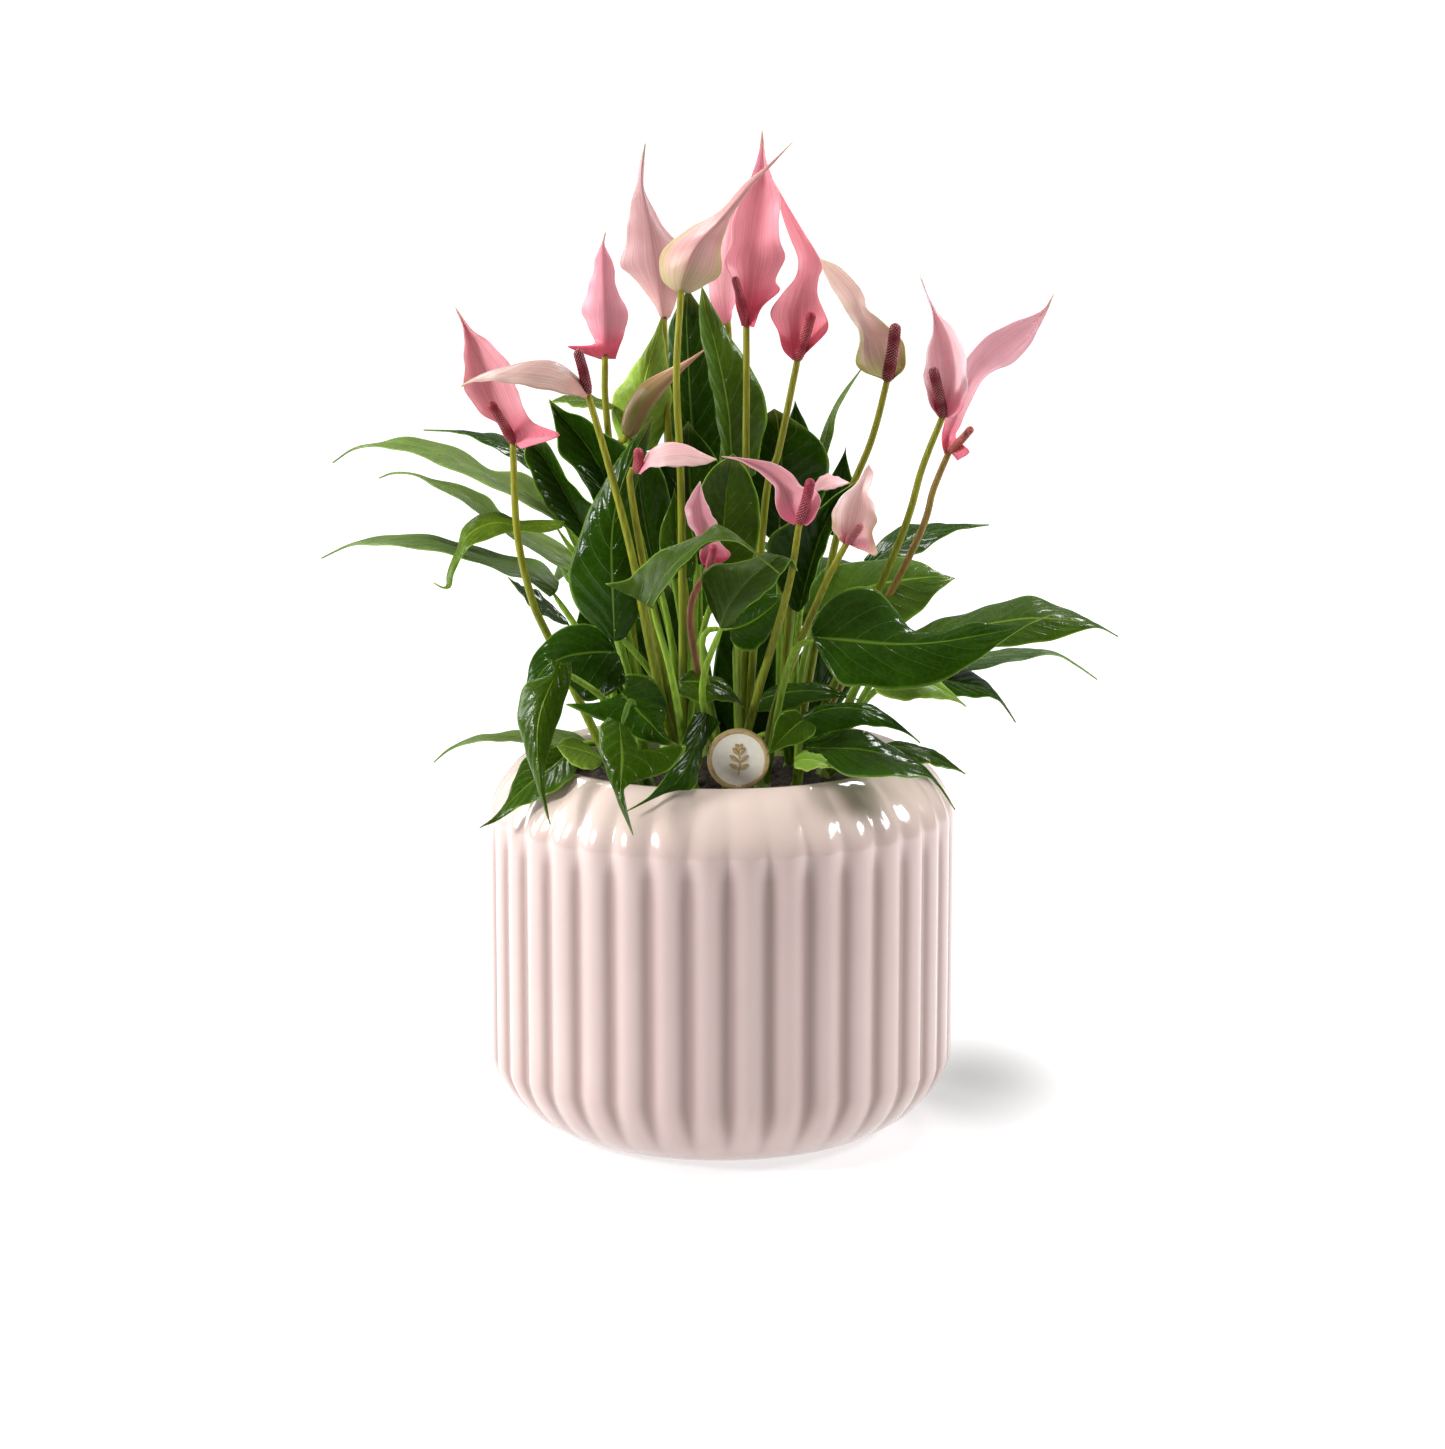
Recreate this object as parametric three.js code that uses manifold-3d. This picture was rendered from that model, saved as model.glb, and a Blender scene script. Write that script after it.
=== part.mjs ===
// Potted flamingo flower: a fluted glazed pot, its soil, leafy shoots with flower stalks, spathes and spadices.
// Millimetres, +Z up. The origin is the centre of the pot's flat underside.
import * as THREE from "three";
import { mergeVertices } from "three/addons/utils/BufferGeometryUtils.js";
import Module from "manifold-3d";

// Pot
const POT_RADIUS = 102;
const POT_FOOT_RADIUS = 66.6;
const POT_FOOT_HEIGHT = 33;
const POT_SHOULDER_START = 138.9;
const POT_HEIGHT = 165.1;
const POT_CREST_RADIUS = 80;
const POT_MOUTH_RADIUS = 73;
const POT_WALL = 8;
const POT_FLOOR = 10;
const FLUTES = 37;
const FLUTE_DEPTH = 2.5;
const FLUTE_STEPS = 3;
const FLUTE_TURN = (1.9 * Math.PI) / 180;
const FOOT_CURVE = 1.572;
const SHOULDER_CURVE = 1.517;

// Soil
const SOIL_EDGE = 151;
const SOIL_CENTRE = 157;
const SOIL_SIDES = 20;
const CLEARANCE = 0.3;

// Crowns, stems and blades
const CROWN_RADIUS = 5.2;
const CROWN_BOTTOM = 122;
const CROWN_TOP = 161;
const CROWN_SIDES = 6;
const STEM_SIDES = 4;
const PETIOLE_RADIUS = 1.5;
const STALK_RADIUS = 1.65;
const STALK_STEPS = 5;
const SPADIX_ROWS = 7;
const BLADE_THICKNESS = 0.8;
const BOWED_SHARE = 0.6;
const JOIN_TOLERANCE = 0.2;

// Tag
const TAG_RADIUS = 13.2;
const TAG_THICKNESS = 1.8;
const TAG_RIM = 1.6;

// Places are given as [across, height, behind]: across and height are read in the upright plane
// through the pot's axis from an eye in front of it, and behind is the depth past that plane.
const EYE_DISTANCE = 1800;
const EYE_HEIGHT = 527;

const COLOURS = {
  pot: "#ead7d3",
  soil: "#2b211b",
  leaf: "#2f6b32",
  spathe: "#e9a3ae",
  spadix: "#7c2035",
  tag: "#efe8d8",
};

// A crown is where one leafy shoot stands in the soil: name and [x, y].
const CROWNS = [
  ["A", [-31, -38]],
  ["B", [-43, -14]],
  ["C", [-15, -27]],
  ["D", [-12, -44]],
  ["E", [4, -36]],
  ["G", [18, -34]],
  ["H", [32, -46]],
  ["J", [45, -4]],
  ["K", [31, 10]],
  ["M", [-31, 8]],
  ["N", [-42, 28]],
  ["O", [-16, -8]],
  ["P", [-12, 14]],
  ["Q", [-8, 34]],
  ["R", [10, 2]],
  ["T", [26, 32]],
  ["U", [-24, 48]],
  ["V", [8, 52]],
];

// Leaves behind and inside: name, crown, outline, rows across a half, then base, middle and tip of the midrib,
// widest left and right, wave, and the places that the stem passes on its way down.
const LEAVES = [
  ["L5", "N", "long", 1, [-66, 222, 42], [-80, 231, 44], [-92, 242, 46],
    [-79, 235, 54], [-77, 225, 34], 1.0, []],
  ["L9", "Q", "long", 1, [-45, 316, 42], [-60, 319, 44], [-74, 318, 46],
    [-58, 322, 56], [-58, 316, 32], 1.0, []],
  ["L13", "T", "leaf", 1, [46, 262, 62], [50, 280, 63], [54, 299, 62],
    [42, 275, 64], [58, 276, 60], 1.0, []],
  ["L15", "T", "long", 1, [34, 288, 76], [33, 304, 75], [32, 319, 72],
    [27, 299, 78], [40, 298, 76], 1.0, []],
  ["L19", "E", "wide", 1, [4, 219, -40], [16, 224, -36], [28, 235, -30],
    [10, 233, -22], [16, 211, -48], 1.0, [[-8, 212, -42]]],
  ["L21", "O", "leaf", 1, [-17, 243, 0], [-19, 262, 0], [-20, 281, 0],
    [-27, 258, 0], [-11, 259, 0], 1.0, []],
  ["L22", "O", "wide", 1, [-28, 244, 5], [-34, 275, 4], [-36, 301, 2],
    [-46, 274, 3], [-22, 277, 6], 1.5, []],
  ["L23", "P", "wide", 1, [-10, 248, 24], [-13, 282, 24], [-14, 310, 24],
    [-30, 272, 22], [4, 275, 22], 1.5, []],
  ["L30", "J", "leaf", 1, [70, 197, -46], [90, 195, -48], [107, 185, -50],
    [84, 202, -37], [84, 188, -57], 1.0, [[60, 195, -16]]],
  ["L34", "H", "leaf", 2, [34, 179, -34], [60, 184, -34], [87, 169, -38],
    [54, 187, -22], [54, 174, -44], 1.5, []],
  ["L35", "J", "long", 1, [72, 168, -16], [90, 164, -20], [107, 155, -22],
    [86, 168, -10], [86, 160, -30], 0.8, []],
  ["L36", "K", "leaf", 1, [17, 188, -12], [38, 192, -8], [60, 188, -4],
    [34, 196, 4], [34, 185, -16], 1.0, []],
  ["L37", "H", "leaf", 1, [36, 179, -58], [29, 173, -62], [20, 163, -68],
    [25, 181, -58], [38, 170, -64], 0.8, []],
  ["L38", "H", "leaf", 1, [33, 161, -66], [42, 161, -68], [51, 157, -71],
    [40, 165, -62], [40, 157, -74], 0.8, []],
  ["L39", "E", "leaf", 1, [-17, 196, -38], [-2, 194, -40], [11, 184, -42],
    [-5, 200, -30], [-5, 187, -50], 1.0, []],
  ["L49", "U", "leaf", 2, [-30, 222, 60], [-50, 248, 96], [-76, 236, 134],
    [-68, 242, 80], [-28, 248, 100], 2.0, []],
  ["L50", "V", "leaf", 2, [4, 232, 68], [6, 258, 102], [10, 246, 146],
    [-22, 248, 90], [30, 248, 92], 2.0, []],
  ["L51", "V", "leaf", 2, [34, 222, 68], [54, 246, 98], [80, 234, 132],
    [30, 246, 104], [70, 238, 82], 2.0, []],
  ["L52", "U", "leaf", 1, [-24, 190, 70], [-30, 205, 102], [-42, 185, 138],
    [-54, 199, 90], [-8, 205, 98], 2.0, []],
  ["L53", "V", "leaf", 1, [22, 190, 74], [32, 205, 106], [44, 182, 140],
    [10, 205, 102], [54, 198, 92], 2.0, []],
  ["L54", "U", "wide", 1, [-18, 172, 58], [-22, 206, 60], [-24, 242, 62],
    [-40, 200, 58], [-4, 200, 58], 1.0, []],
  ["L55", "V", "wide", 1, [10, 172, 62], [14, 208, 62], [10, 248, 62],
    [-3, 202, 60], [30, 202, 60], 1.0, []],
  ["L56", "V", "wide", 1, [30, 170, 60], [46, 198, 62], [58, 230, 62],
    [32, 204, 60], [56, 192, 60], 1.0, []],
  ["L57", "U", "wide", 1, [-34, 178, 54], [-50, 204, 56], [-60, 234, 58],
    [-58, 200, 56], [-38, 208, 56], 1.0, []],
];

// Leaves in front, drawn by the rows under their name: name, crown, rows across a half, places of the stem.
const FRONT_LEAVES = [
  ["L1", "M", 2, [[-48, 225, 8]]],
  ["L2", "N", 1, []],
  ["L3", "M", 1, []],
  ["L4", "B", 1, []],
  ["L6", "N", 1, []],
  ["L7", "M", 2, []],
  ["L8", "P", 2, []],
  ["L10", "Q", 2, []],
  ["L11a", "Q", 2, []],
  ["L11b", "R", 2, []],
  ["L12", "T", 2, []],
  ["L14", "T", 1, []],
  ["L16", "C", 2, []],
  ["L17", "D", 2, [[-21, 197, -63]]],
  ["L18", "E", 2, [[-8, 190, -52]]],
  ["L20", "O", 2, []],
  ["L24", "K", 2, []],
  ["L25", "K", 2, []],
  ["L26", "G", 2, [[30, 205, -42]]],
  ["L27", "J", 2, [[66, 196, -6]]],
  ["L28", "J", 1, []],
  ["L29", "J", 1, [[60, 195, -14]]],
  ["L32", "T", 1, []],
  ["L33", "H", 2, []],
  ["L40", "D", 2, []],
  ["L41", "A", 2, [[-38, 186, -66]]],
  ["L42", "A", 2, []],
  ["L43", "A", 2, []],
  ["L44", "A", 2, []],
  ["L45", "B", 1, []],
  ["L46", "N", 1, []],
  ["L47", "B", 1, []],
];

// Flowers, drawn by the rows under F and their number: number, crown, top and radius of the spadix, and the
// places that the stalk passes on its way down from the spathe.
const FLOWERS = [
  ["01", "B", [-99, 318, -42], 2.1, [[-88, 262, -32], [-82, 233, -30], [-74, 214, -16]]],
  ["02", "C", [-61.5, 341, -56], 2.2, [[-48, 290, -52], [-38, 250, -50], [-29, 203, -42]]],
  ["03", "M", [-51, 352, 36], 2, [[-48, 301, 26]]],
  ["04", "Q", [-24, 374, 60], 1.8, [[-22, 300, 44]]],
  ["05", "O", [-6, 382, 10], 1.8, [[-19, 327, -9], [-17, 277, -11]]],
  ["06", "R", [6, 372, 4], 1.85, [[11, 312, 16]]],
  ["07", "R", [39, 357, 2], 2.3, [[25, 297, 12], [19, 272, 10]]],
  ["08", "K", [75, 352, 18], 2.7, [[65, 302, 32], [50, 259, 30]]],
  ["09", "K", [91, 333, -14], 2.4, [[87, 290, 2], [75, 252, 2]]],
  ["10", "K", [108, 307, 3], 1.8, [[92, 281, 18], [82, 252, 14]]],
  ["12", "C", [-35.6, 298.5, -55], 2.1, [[-38, 275, -50]]],
  ["13", "E", [39, 285, -72], 2.2, [[29, 236, -52], [16, 190, -40]]],
  ["14", "G", [60.5, 265, -60], 1.8, [[44, 236, -42], [24, 185, -36]]],
  ["15", "E", [-3, 256, -43], 1.8, [[-13, 220, -32]]],
  ["17", "R", [4, 370, 64], 1.4, [[4, 330, 48]]],
  ["18", "T", [38, 284, 12], 1.2, []],
];

// Rows across a blade, from its stem to its tip: left edge, midrib and right edge, and the tip alone.
const ROWS = {
  L1: [
    [[-64, 268, 8], [-65, 265, 5], [-66, 263, 2]],
    [[-72, 276, 18], [-74, 271.5, 6], [-76, 269.8, -4]],
    [[-84, 287.5, 26], [-86, 279.5, 7], [-87, 275.7, -8]],
    [[-98, 288.3, 28], [-98, 285, 8], [-98, 281.3, -10]],
    [[-108, 295.5, 30], [-110, 291, 8], [-110, 286.5, -10]],
    [[-119, 300, 28], [-121, 296, 8], [-121, 291.3, -8]],
    [[-133, 303.2, 22], [-133, 299, 8], [-133, 296.2, -4]],
    [[-147, 300.9, 14], [-147, 300, 8], [-147, 299, 3]],
    [[-158, 298.4, 9], [-158, 298.1, 8], [-158, 297.7, 7]],
    [[-167.3, 292, 8]],
  ],
  L2: [
    [[-62, 250, 40], [-63, 247, 34], [-64, 243.5, 28]],
    [[-72, 259, 50], [-75, 254, 34], [-76, 250.5, 24]],
    [[-85, 265, 54], [-86, 260.5, 34], [-88, 258, 22]],
    [[-95.5, 271, 54], [-97, 267, 35], [-98, 265.5, 22]],
    [[-101, 277.5, 54], [-105, 274, 35], [-106, 271.5, 22]],
    [[-109, 281.2, 52], [-113, 279, 36], [-114, 276.7, 25]],
    [[-121, 284.3, 47], [-123, 283, 37], [-123.5, 282, 30]],
    [[-132, 287.3, 42], [-132, 287, 38], [-132, 286.6, 35]],
    [[-141, 287.8, 39], [-141, 287.6, 38], [-141, 287.2, 37]],
    [[-147.5, 285.3, 38]],
  ],
  L3: [
    [[-67.5, 266.5, -4], [-68, 265.3, -6], [-68.5, 263.7, -8]],
    [[-77, 267.3, -3], [-77, 264.5, -8], [-77.5, 261.5, -12]],
    [[-86, 266.7, -2], [-87, 264.5, -10], [-88, 262.3, -15]],
    [[-95, 270.2, 0], [-96, 266, -12], [-97, 260, -20]],
    [[-104.5, 269.6, 0], [-104, 264, -13], [-104, 257.6, -21]],
    [[-111, 264, -4], [-109.5, 260, -15], [-108.5, 255.3, -21]],
    [[-113.2, 257, -9], [-112, 255, -17], [-111.6, 252, -21]],
    [[-116.3, 250, -16], [-115, 249, -20], [-114, 247, -22]],
    [[-118.6, 243, -20], [-117.3, 243, -22.5], [-115.9, 242.7, -24]],
    [[-119, 238.5, -22.5], [-118, 238, -23.5], [-117, 237.6, -24.5]],
    [[-121, 237.9, -23.5], [-120.8, 237.6, -24], [-120.6, 237.2, -24.5]],
    [[-124.5, 239.7, -24]],
  ],
  L4: [
    [[-70, 240, 8], [-71, 236, 2], [-74, 233.5, -2]],
    [[-77, 248.5, 20], [-80, 242, 3], [-84, 240.8, -4]],
    [[-88, 250.8, 26], [-90, 246.5, 4], [-92, 243.2, -8]],
    [[-99, 253.5, 30], [-101, 250, 5], [-102, 247.3, -9]],
    [[-111, 256.8, 30], [-112, 253.8, 6], [-112, 250.6, -9]],
    [[-123, 260, 28], [-124, 257.3, 7], [-124, 253.4, -7]],
    [[-136, 261.1, 24], [-136, 258.7, 8], [-136, 255.2, -3]],
    [[-149, 259.6, 18], [-149, 258, 8], [-149, 256.1, 2]],
    [[-160, 256.9, 11], [-160, 256.4, 8], [-160, 255.8, 6]],
    [[-173, 250.4, 8]],
  ],
  L6: [
    [[-72, 292, 64], [-74, 288, 60], [-76, 285, 56]],
    [[-84, 301, 74], [-86, 296, 61], [-88, 293, 52]],
    [[-95, 304.2, 78], [-97, 301, 62], [-98, 298.5, 52]],
    [[-105, 305, 74], [-106, 304, 63], [-107, 303, 56]],
    [[-115, 305.9, 68], [-115, 305.6, 64], [-115, 305.2, 60]],
    [[-128, 306.2, 64]],
  ],
  L7: [
    [[-57, 255, 2], [-54, 252, 2], [-51, 250, 2]],
    [[-66, 263.5, 0], [-58, 262, 3], [-50, 262, 1]],
    [[-73, 270, -2], [-64, 273, 4], [-54, 272, 0]],
    [[-78, 278, -3], [-70, 284, 4], [-62, 280, -2]],
    [[-82, 288, -2], [-76, 294, 4], [-68.5, 289, -2]],
    [[-84.5, 296, 0], [-80.5, 300, 3], [-74, 300, 0]],
    [[-82, 306, 2]],
  ],
  L8: [
    [[-46, 262, 18], [-41, 264, 17], [-36, 268, 18]],
    [[-54, 274, 14], [-46, 276, 19], [-34, 283, 14]],
    [[-61, 287, 12], [-52, 290, 20], [-38, 296, 13]],
    [[-69.5, 296.5, 13], [-58, 300, 21], [-49.5, 304.5, 14]],
    [[-70.8, 306, 16], [-65, 308.5, 21], [-60, 312.2, 17]],
    [[-72.3, 313, 19], [-70, 313.8, 21], [-67, 314.5, 19]],
    [[-73.8, 319.5, 20]],
  ],
  L10: [
    [[-42, 298, 44], [-36, 297, 42], [-28, 298, 44]],
    [[-46, 308, 46], [-36, 308, 40], [-23, 309, 46]],
    [[-46.5, 320, 46], [-34.5, 319, 39], [-21, 320, 45]],
    [[-41, 328, 44], [-32, 330, 38], [-22.5, 331, 43]],
    [[-35, 337, 41], [-29.5, 339.5, 37], [-23.5, 341, 40]],
    [[-29.5, 345.5, 38], [-27, 347, 36], [-24.7, 348, 38]],
    [[-25, 355.5, 35]],
  ],
  L11a: [
    [[-20, 283, 64], [-12, 283, 60], [0, 286, 64]],
    [[-24, 300, 66], [-12, 300, 60], [4, 300, 66]],
    [[-25, 320, 66], [-13, 320, 59], [3, 320, 66]],
    [[-23, 340, 65], [-14, 340, 58], [-2, 340, 64]],
    [[-21, 354, 62], [-14.5, 355, 57], [-6, 354, 61]],
    [[-14, 367, 56]],
  ],
  L11b: [
    [[-2, 284, 40], [6, 283, 38], [15, 287, 40]],
    [[0, 297, 42], [4.5, 298, 36], [18, 302, 42]],
    [[-2, 313, 42], [3.5, 314, 35], [20, 315, 42]],
    [[-5, 330, 41], [0.5, 331, 34.5], [15, 329.5, 41]],
    [[-8, 345, 39], [-3, 346, 34.5], [5, 345, 39]],
    [[-9.3, 356, 37], [-6.3, 356.5, 34.5], [-1.2, 355.5, 37]],
    [[-8, 368, 35]],
  ],
  L12: [
    [[18, 262, 49], [25, 258, 47], [33, 262, 47]],
    [[10, 276, 50], [26, 275, 45], [44, 276, 48]],
    [[9, 292, 50], [26, 293, 44], [46.8, 291, 48]],
    [[12, 304, 49], [25, 305, 45], [43.5, 300.5, 47]],
    [[17, 311, 48], [24, 311.5, 46], [34, 309, 47]],
    [[23, 315.5, 47]],
  ],
  L14: [
    [[41.5, 293, 62], [43, 293, 60], [45, 293, 58]],
    [[43, 303, 60], [45.5, 303, 58], [48.3, 304, 56]],
    [[47, 313, 59], [48.2, 313, 57], [49.7, 313, 55]],
    [[52, 322, 58], [52.8, 321.7, 56.5], [53.7, 321.3, 55]],
    [[60.3, 332.5, 55]],
  ],
  L16: [
    [[-51, 217.5, -45], [-46, 214, -46], [-41, 216, -45]],
    [[-61, 227, -42], [-46.3, 227, -46], [-35.5, 226, -43]],
    [[-66, 240, -40], [-46.8, 242, -46], [-31, 243, -41]],
    [[-63.5, 252.5, -39], [-47, 256, -45], [-32, 254, -40]],
    [[-58.5, 267, -38], [-46, 268, -44], [-35.5, 266, -39]],
    [[-52.5, 279.5, -37], [-43, 281, -43], [-37.5, 278, -39]],
    [[-45, 292, -37], [-38.5, 293, -41], [-34, 290, -38]],
    [[-37.5, 302.5, -37], [-33.8, 303, -39], [-31, 301, -37.5]],
    [[-29, 312, -38]],
  ],
  L17: [
    [[-50, 239.5, -60], [-32, 230, -67], [-30, 228.5, -68]],
    [[-40, 241.2, -58], [-29, 235, -69], [-26.5, 234.5, -76]],
    [[-35.5, 246, -58], [-25, 241.5, -70], [-21, 242, -84]],
    [[-27.5, 252.5, -59], [-18.5, 248.5, -72], [-15.5, 248.3, -88]],
    [[-17.5, 257.3, -60], [-11.5, 254.3, -74], [-9.5, 254.5, -88]],
    [[-8, 260.5, -62], [-4.5, 258.8, -76], [-3, 258.3, -86]],
    [[-1.8, 265.5, -64], [2, 261.3, -77], [5, 257.8, -84]],
    [[8, 259.3, -70], [9.5, 257.8, -77.5], [11, 255.5, -82]],
    [[17, 251.3, -74], [17.3, 250.8, -77], [17.5, 250.2, -79]],
    [[25.5, 243.7, -76]],
  ],
  L18: [
    [[-6, 232, -60], [0, 220, -62], [5, 222, -64]],
    [[-8.5, 242, -56], [4, 230, -64], [13, 230, -72]],
    [[-3, 247.5, -53], [12, 240, -66], [22, 237.5, -76]],
    [[10, 248.8, -54], [20, 246.5, -68], [27, 244.5, -76]],
    [[21, 252.5, -58], [27, 251, -70], [31, 249.5, -75]],
    [[33.3, 245, -72]],
  ],
  L20: [
    [[-6, 240, -15], [0, 237, -15], [8, 240, -16]],
    [[-9, 252, -16], [0.5, 252, -13], [15, 252, -17]],
    [[-9.5, 266, -16], [1.5, 266, -12], [17, 266, -17]],
    [[-9, 279, -16], [2.5, 279, -12], [15.5, 279, -17]],
    [[-4.5, 288.5, -15], [4, 288.5, -13], [11.5, 288, -16]],
    [[5.5, 296, -15]],
  ],
  L24: [
    [[30, 229, -12], [34, 227, -12], [38, 232, -16]],
    [[24, 240, -13], [37, 239, -10], [41, 243, -18]],
    [[20, 256, -14], [40, 250, -9], [44.5, 253, -18]],
    [[27, 264.5, -14], [43.5, 261, -8.5], [48, 262, -17]],
    [[40, 270.5, -12], [48, 270.5, -8.5], [52, 271, -15]],
    [[49, 277.5, -11], [52.5, 277.5, -9], [55, 277.5, -12]],
    [[60.5, 285, -10]],
  ],
  L25: [
    [[37, 228, 18], [38, 223, 14], [42, 219, 8]],
    [[40, 240, 30], [47, 230, 15], [54, 222, 4]],
    [[48, 247.3, 36], [58, 235.5, 17], [66, 221, 2]],
    [[62, 248.8, 40], [69, 239, 19], [77, 221, 0]],
    [[76, 250.6, 40], [81, 241, 20], [86, 226.5, 4]],
    [[86, 249, 36], [91, 242, 21], [93, 234.5, 10]],
    [[93.5, 243.8, 28], [97, 242.3, 22], [98.5, 239.3, 17]],
    [[101.5, 241.6, 22]],
  ],
  L26: [
    [[39.5, 220, -54], [40, 216, -55], [41.5, 212.5, -56]],
    [[45, 230, -46], [47, 215, -57], [46.5, 202.5, -64]],
    [[55, 237.3, -40], [55, 214.3, -59], [53, 194.5, -70]],
    [[66.5, 237, -38], [65, 213.2, -60], [64, 194, -73]],
    [[76, 228, -42], [76, 212.6, -60], [76, 192.5, -74]],
    [[84.5, 217.8, -48], [86, 212.8, -60], [88, 193.7, -72]],
    [[96, 218.3, -50], [97, 213.8, -59], [99, 197.6, -69]],
    [[110, 222, -50], [110, 216, -57], [110, 204.5, -65]],
    [[124, 221.1, -51], [123, 218.5, -55], [121.5, 213, -60]],
    [[134, 222.3, -52], [133.5, 222, -53], [133, 221, -55]],
    [[145.5, 226.3, -52]],
  ],
  L27: [
    [[84, 218, -2], [85, 212, -10], [88, 207, -18]],
    [[92, 222.5, 6], [97, 217, -11], [102, 208, -26]],
    [[105, 226, 10], [109, 220, -12], [115, 210.5, -30]],
    [[119, 230.2, 12], [122, 222.5, -13], [127, 212, -30]],
    [[133, 233.8, 10], [135, 224, -14], [139, 213.5, -28]],
    [[147, 229.5, 4], [148, 223.5, -15], [150, 216, -25]],
    [[158, 224.2, -5], [159, 222, -16], [160, 219.7, -22]],
    [[166, 219.9, -12], [166, 219.6, -17], [166.5, 219.2, -19]],
    [[172.7, 216, -18]],
  ],
  L28: [
    [[80, 208, 18], [81, 204.5, 14], [82, 201, 10]],
    [[92, 208, 26], [95, 205, 14], [97, 198.5, 4]],
    [[105, 206.5, 30], [108, 205.5, 14], [110, 201, 0]],
    [[118, 209.7, 30], [120, 207.5, 14], [122, 203.8, 0]],
    [[133, 210.7, 26], [134, 209, 14], [134, 206.3, 4]],
    [[146, 208.6, 19], [146, 208.2, 14], [146, 207.7, 9]],
    [[155, 203.6, 16], [155, 203.3, 14], [155, 202.9, 12]],
    [[164, 197, 14]],
  ],
  L29: [
    [[80, 205, -16], [82, 200, -22], [84, 195, -26]],
    [[92, 204, -10], [94, 197.5, -24], [97, 191, -36]],
    [[104, 202, -8], [105, 195, -26], [107, 189.3, -40]],
    [[113, 198.5, -12], [113.5, 193.5, -28], [115, 189.2, -38]],
    [[119.5, 191.3, -20], [119.8, 189.8, -29], [120.3, 188.3, -34]],
    [[124.3, 185.2, -27], [124.2, 184.9, -30], [124, 184.5, -32]],
    [[128.7, 178, -30]],
  ],
  L32: [
    [[62, 250, 64], [63, 246, 60], [66, 246, 54]],
    [[69, 257.5, 72], [72, 253.5, 61], [75, 250.5, 48]],
    [[77, 264, 78], [81, 258, 62], [84, 251.8, 44]],
    [[88, 265.5, 77], [90, 261.5, 62], [91, 256, 48]],
    [[99, 265.3, 71], [99.5, 263.8, 62], [100, 261.8, 54]],
    [[116, 265, 62]],
  ],
  L33: [
    [[36, 170, -46], [37, 167, -52], [38.5, 164.5, -58]],
    [[44, 172.3, -44], [46, 166.5, -56], [47, 159.3, -70]],
    [[55, 175.2, -46], [57, 166.3, -60], [57, 153.8, -82]],
    [[66, 172.7, -48], [68, 164.7, -63], [69, 154, -86]],
    [[76.5, 166, -52], [79, 160.8, -66], [80, 153.7, -84]],
    [[86.5, 160.3, -60], [88, 156.9, -69], [90, 153.4, -78]],
    [[95.5, 150.3, -69], [95.7, 149.9, -71], [95.5, 149.2, -73]],
    [[102.7, 139, -72]],
  ],
  L40: [
    [[-12, 182, -58], [-6, 182, -54], [0, 178, -56]],
    [[-16, 172, -66], [-10, 171, -63], [-6.8, 168, -60]],
    [[-19.5, 162, -76], [-13.5, 161, -73], [-9.2, 157, -70]],
    [[-24.5, 153.5, -84], [-19, 152, -82], [-12, 148.5, -84]],
    [[-31, 145.3, -88], [-27.5, 145.7, -86], [-23.5, 147, -84]],
    [[-41, 138.5, -90]],
  ],
  L41: [
    [[-49, 180.3, -80], [-44, 178, -84], [-40, 175.5, -86]],
    [[-52.5, 176, -84], [-43.5, 170, -90], [-32, 163.5, -90]],
    [[-53, 168, -88], [-43, 162.5, -95], [-15.5, 167.7, -86]],
    [[-51, 159, -93], [-43.3, 156, -99], [-21.5, 157.5, -92]],
    [[-48.5, 152.5, -97], [-43.5, 150.5, -101], [-33, 153.2, -97]],
    [[-46.5, 147, -100], [-43.7, 146, -103], [-41.8, 150, -101]],
    [[-44, 140, -104], [-42.5, 140, -106], [-41.2, 140, -105]],
    [[-38.3, 127.5, -110]],
  ],
  L42: [
    [[-60, 184, -66], [-43, 191, -62], [-42, 199, -52]],
    [[-67.5, 186, -68], [-39, 186.5, -66], [-33, 199, -50]],
    [[-55, 180, -70], [-35, 182, -69], [-25.5, 192.5, -54]],
    [[-45, 176, -72], [-31, 178, -72], [-23.5, 184, -60]],
    [[-36.5, 171, -75], [-27, 173.5, -75], [-25.3, 178, -66]],
    [[-27, 168.2, -77], [-23.5, 170.3, -77], [-23.5, 171.5, -73]],
    [[-18.8, 167.8, -79]],
  ],
  L43: [
    [[-52, 219.5, -28], [-45, 209, -30], [-41, 196, -36]],
    [[-60, 221.8, -26], [-54, 209, -34], [-49, 190, -44]],
    [[-70, 219, -28], [-63, 208, -37], [-58, 187.5, -50]],
    [[-78.5, 211.5, -32], [-70, 206, -41], [-64, 192, -52]],
    [[-83.5, 202, -38], [-76.5, 202, -45], [-71, 199, -52]],
    [[-84.5, 192.5, -44], [-82, 193, -49], [-80, 194, -52]],
    [[-83.5, 184, -49], [-82.3, 184, -51], [-81.2, 184, -52]],
    [[-75.8, 171.3, -54]],
  ],
  L44: [
    [[-76.5, 207, -56], [-69.5, 204.5, -58], [-65, 205, -54]],
    [[-72.5, 200.5, -60], [-71.5, 199.5, -61], [-64.8, 200, -57]],
    [[-84.5, 195, -58], [-75, 192, -65], [-67, 190.5, -61]],
    [[-88.5, 184, -61], [-78.5, 182, -69], [-69.8, 181.5, -65]],
    [[-87, 172, -66], [-80, 171.5, -73], [-73.3, 171, -70]],
    [[-83.8, 160.5, -72], [-79.7, 160.5, -77], [-76.3, 160, -75]],
    [[-80.3, 149, -78], [-78.7, 149.5, -81], [-77, 149, -80]],
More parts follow.
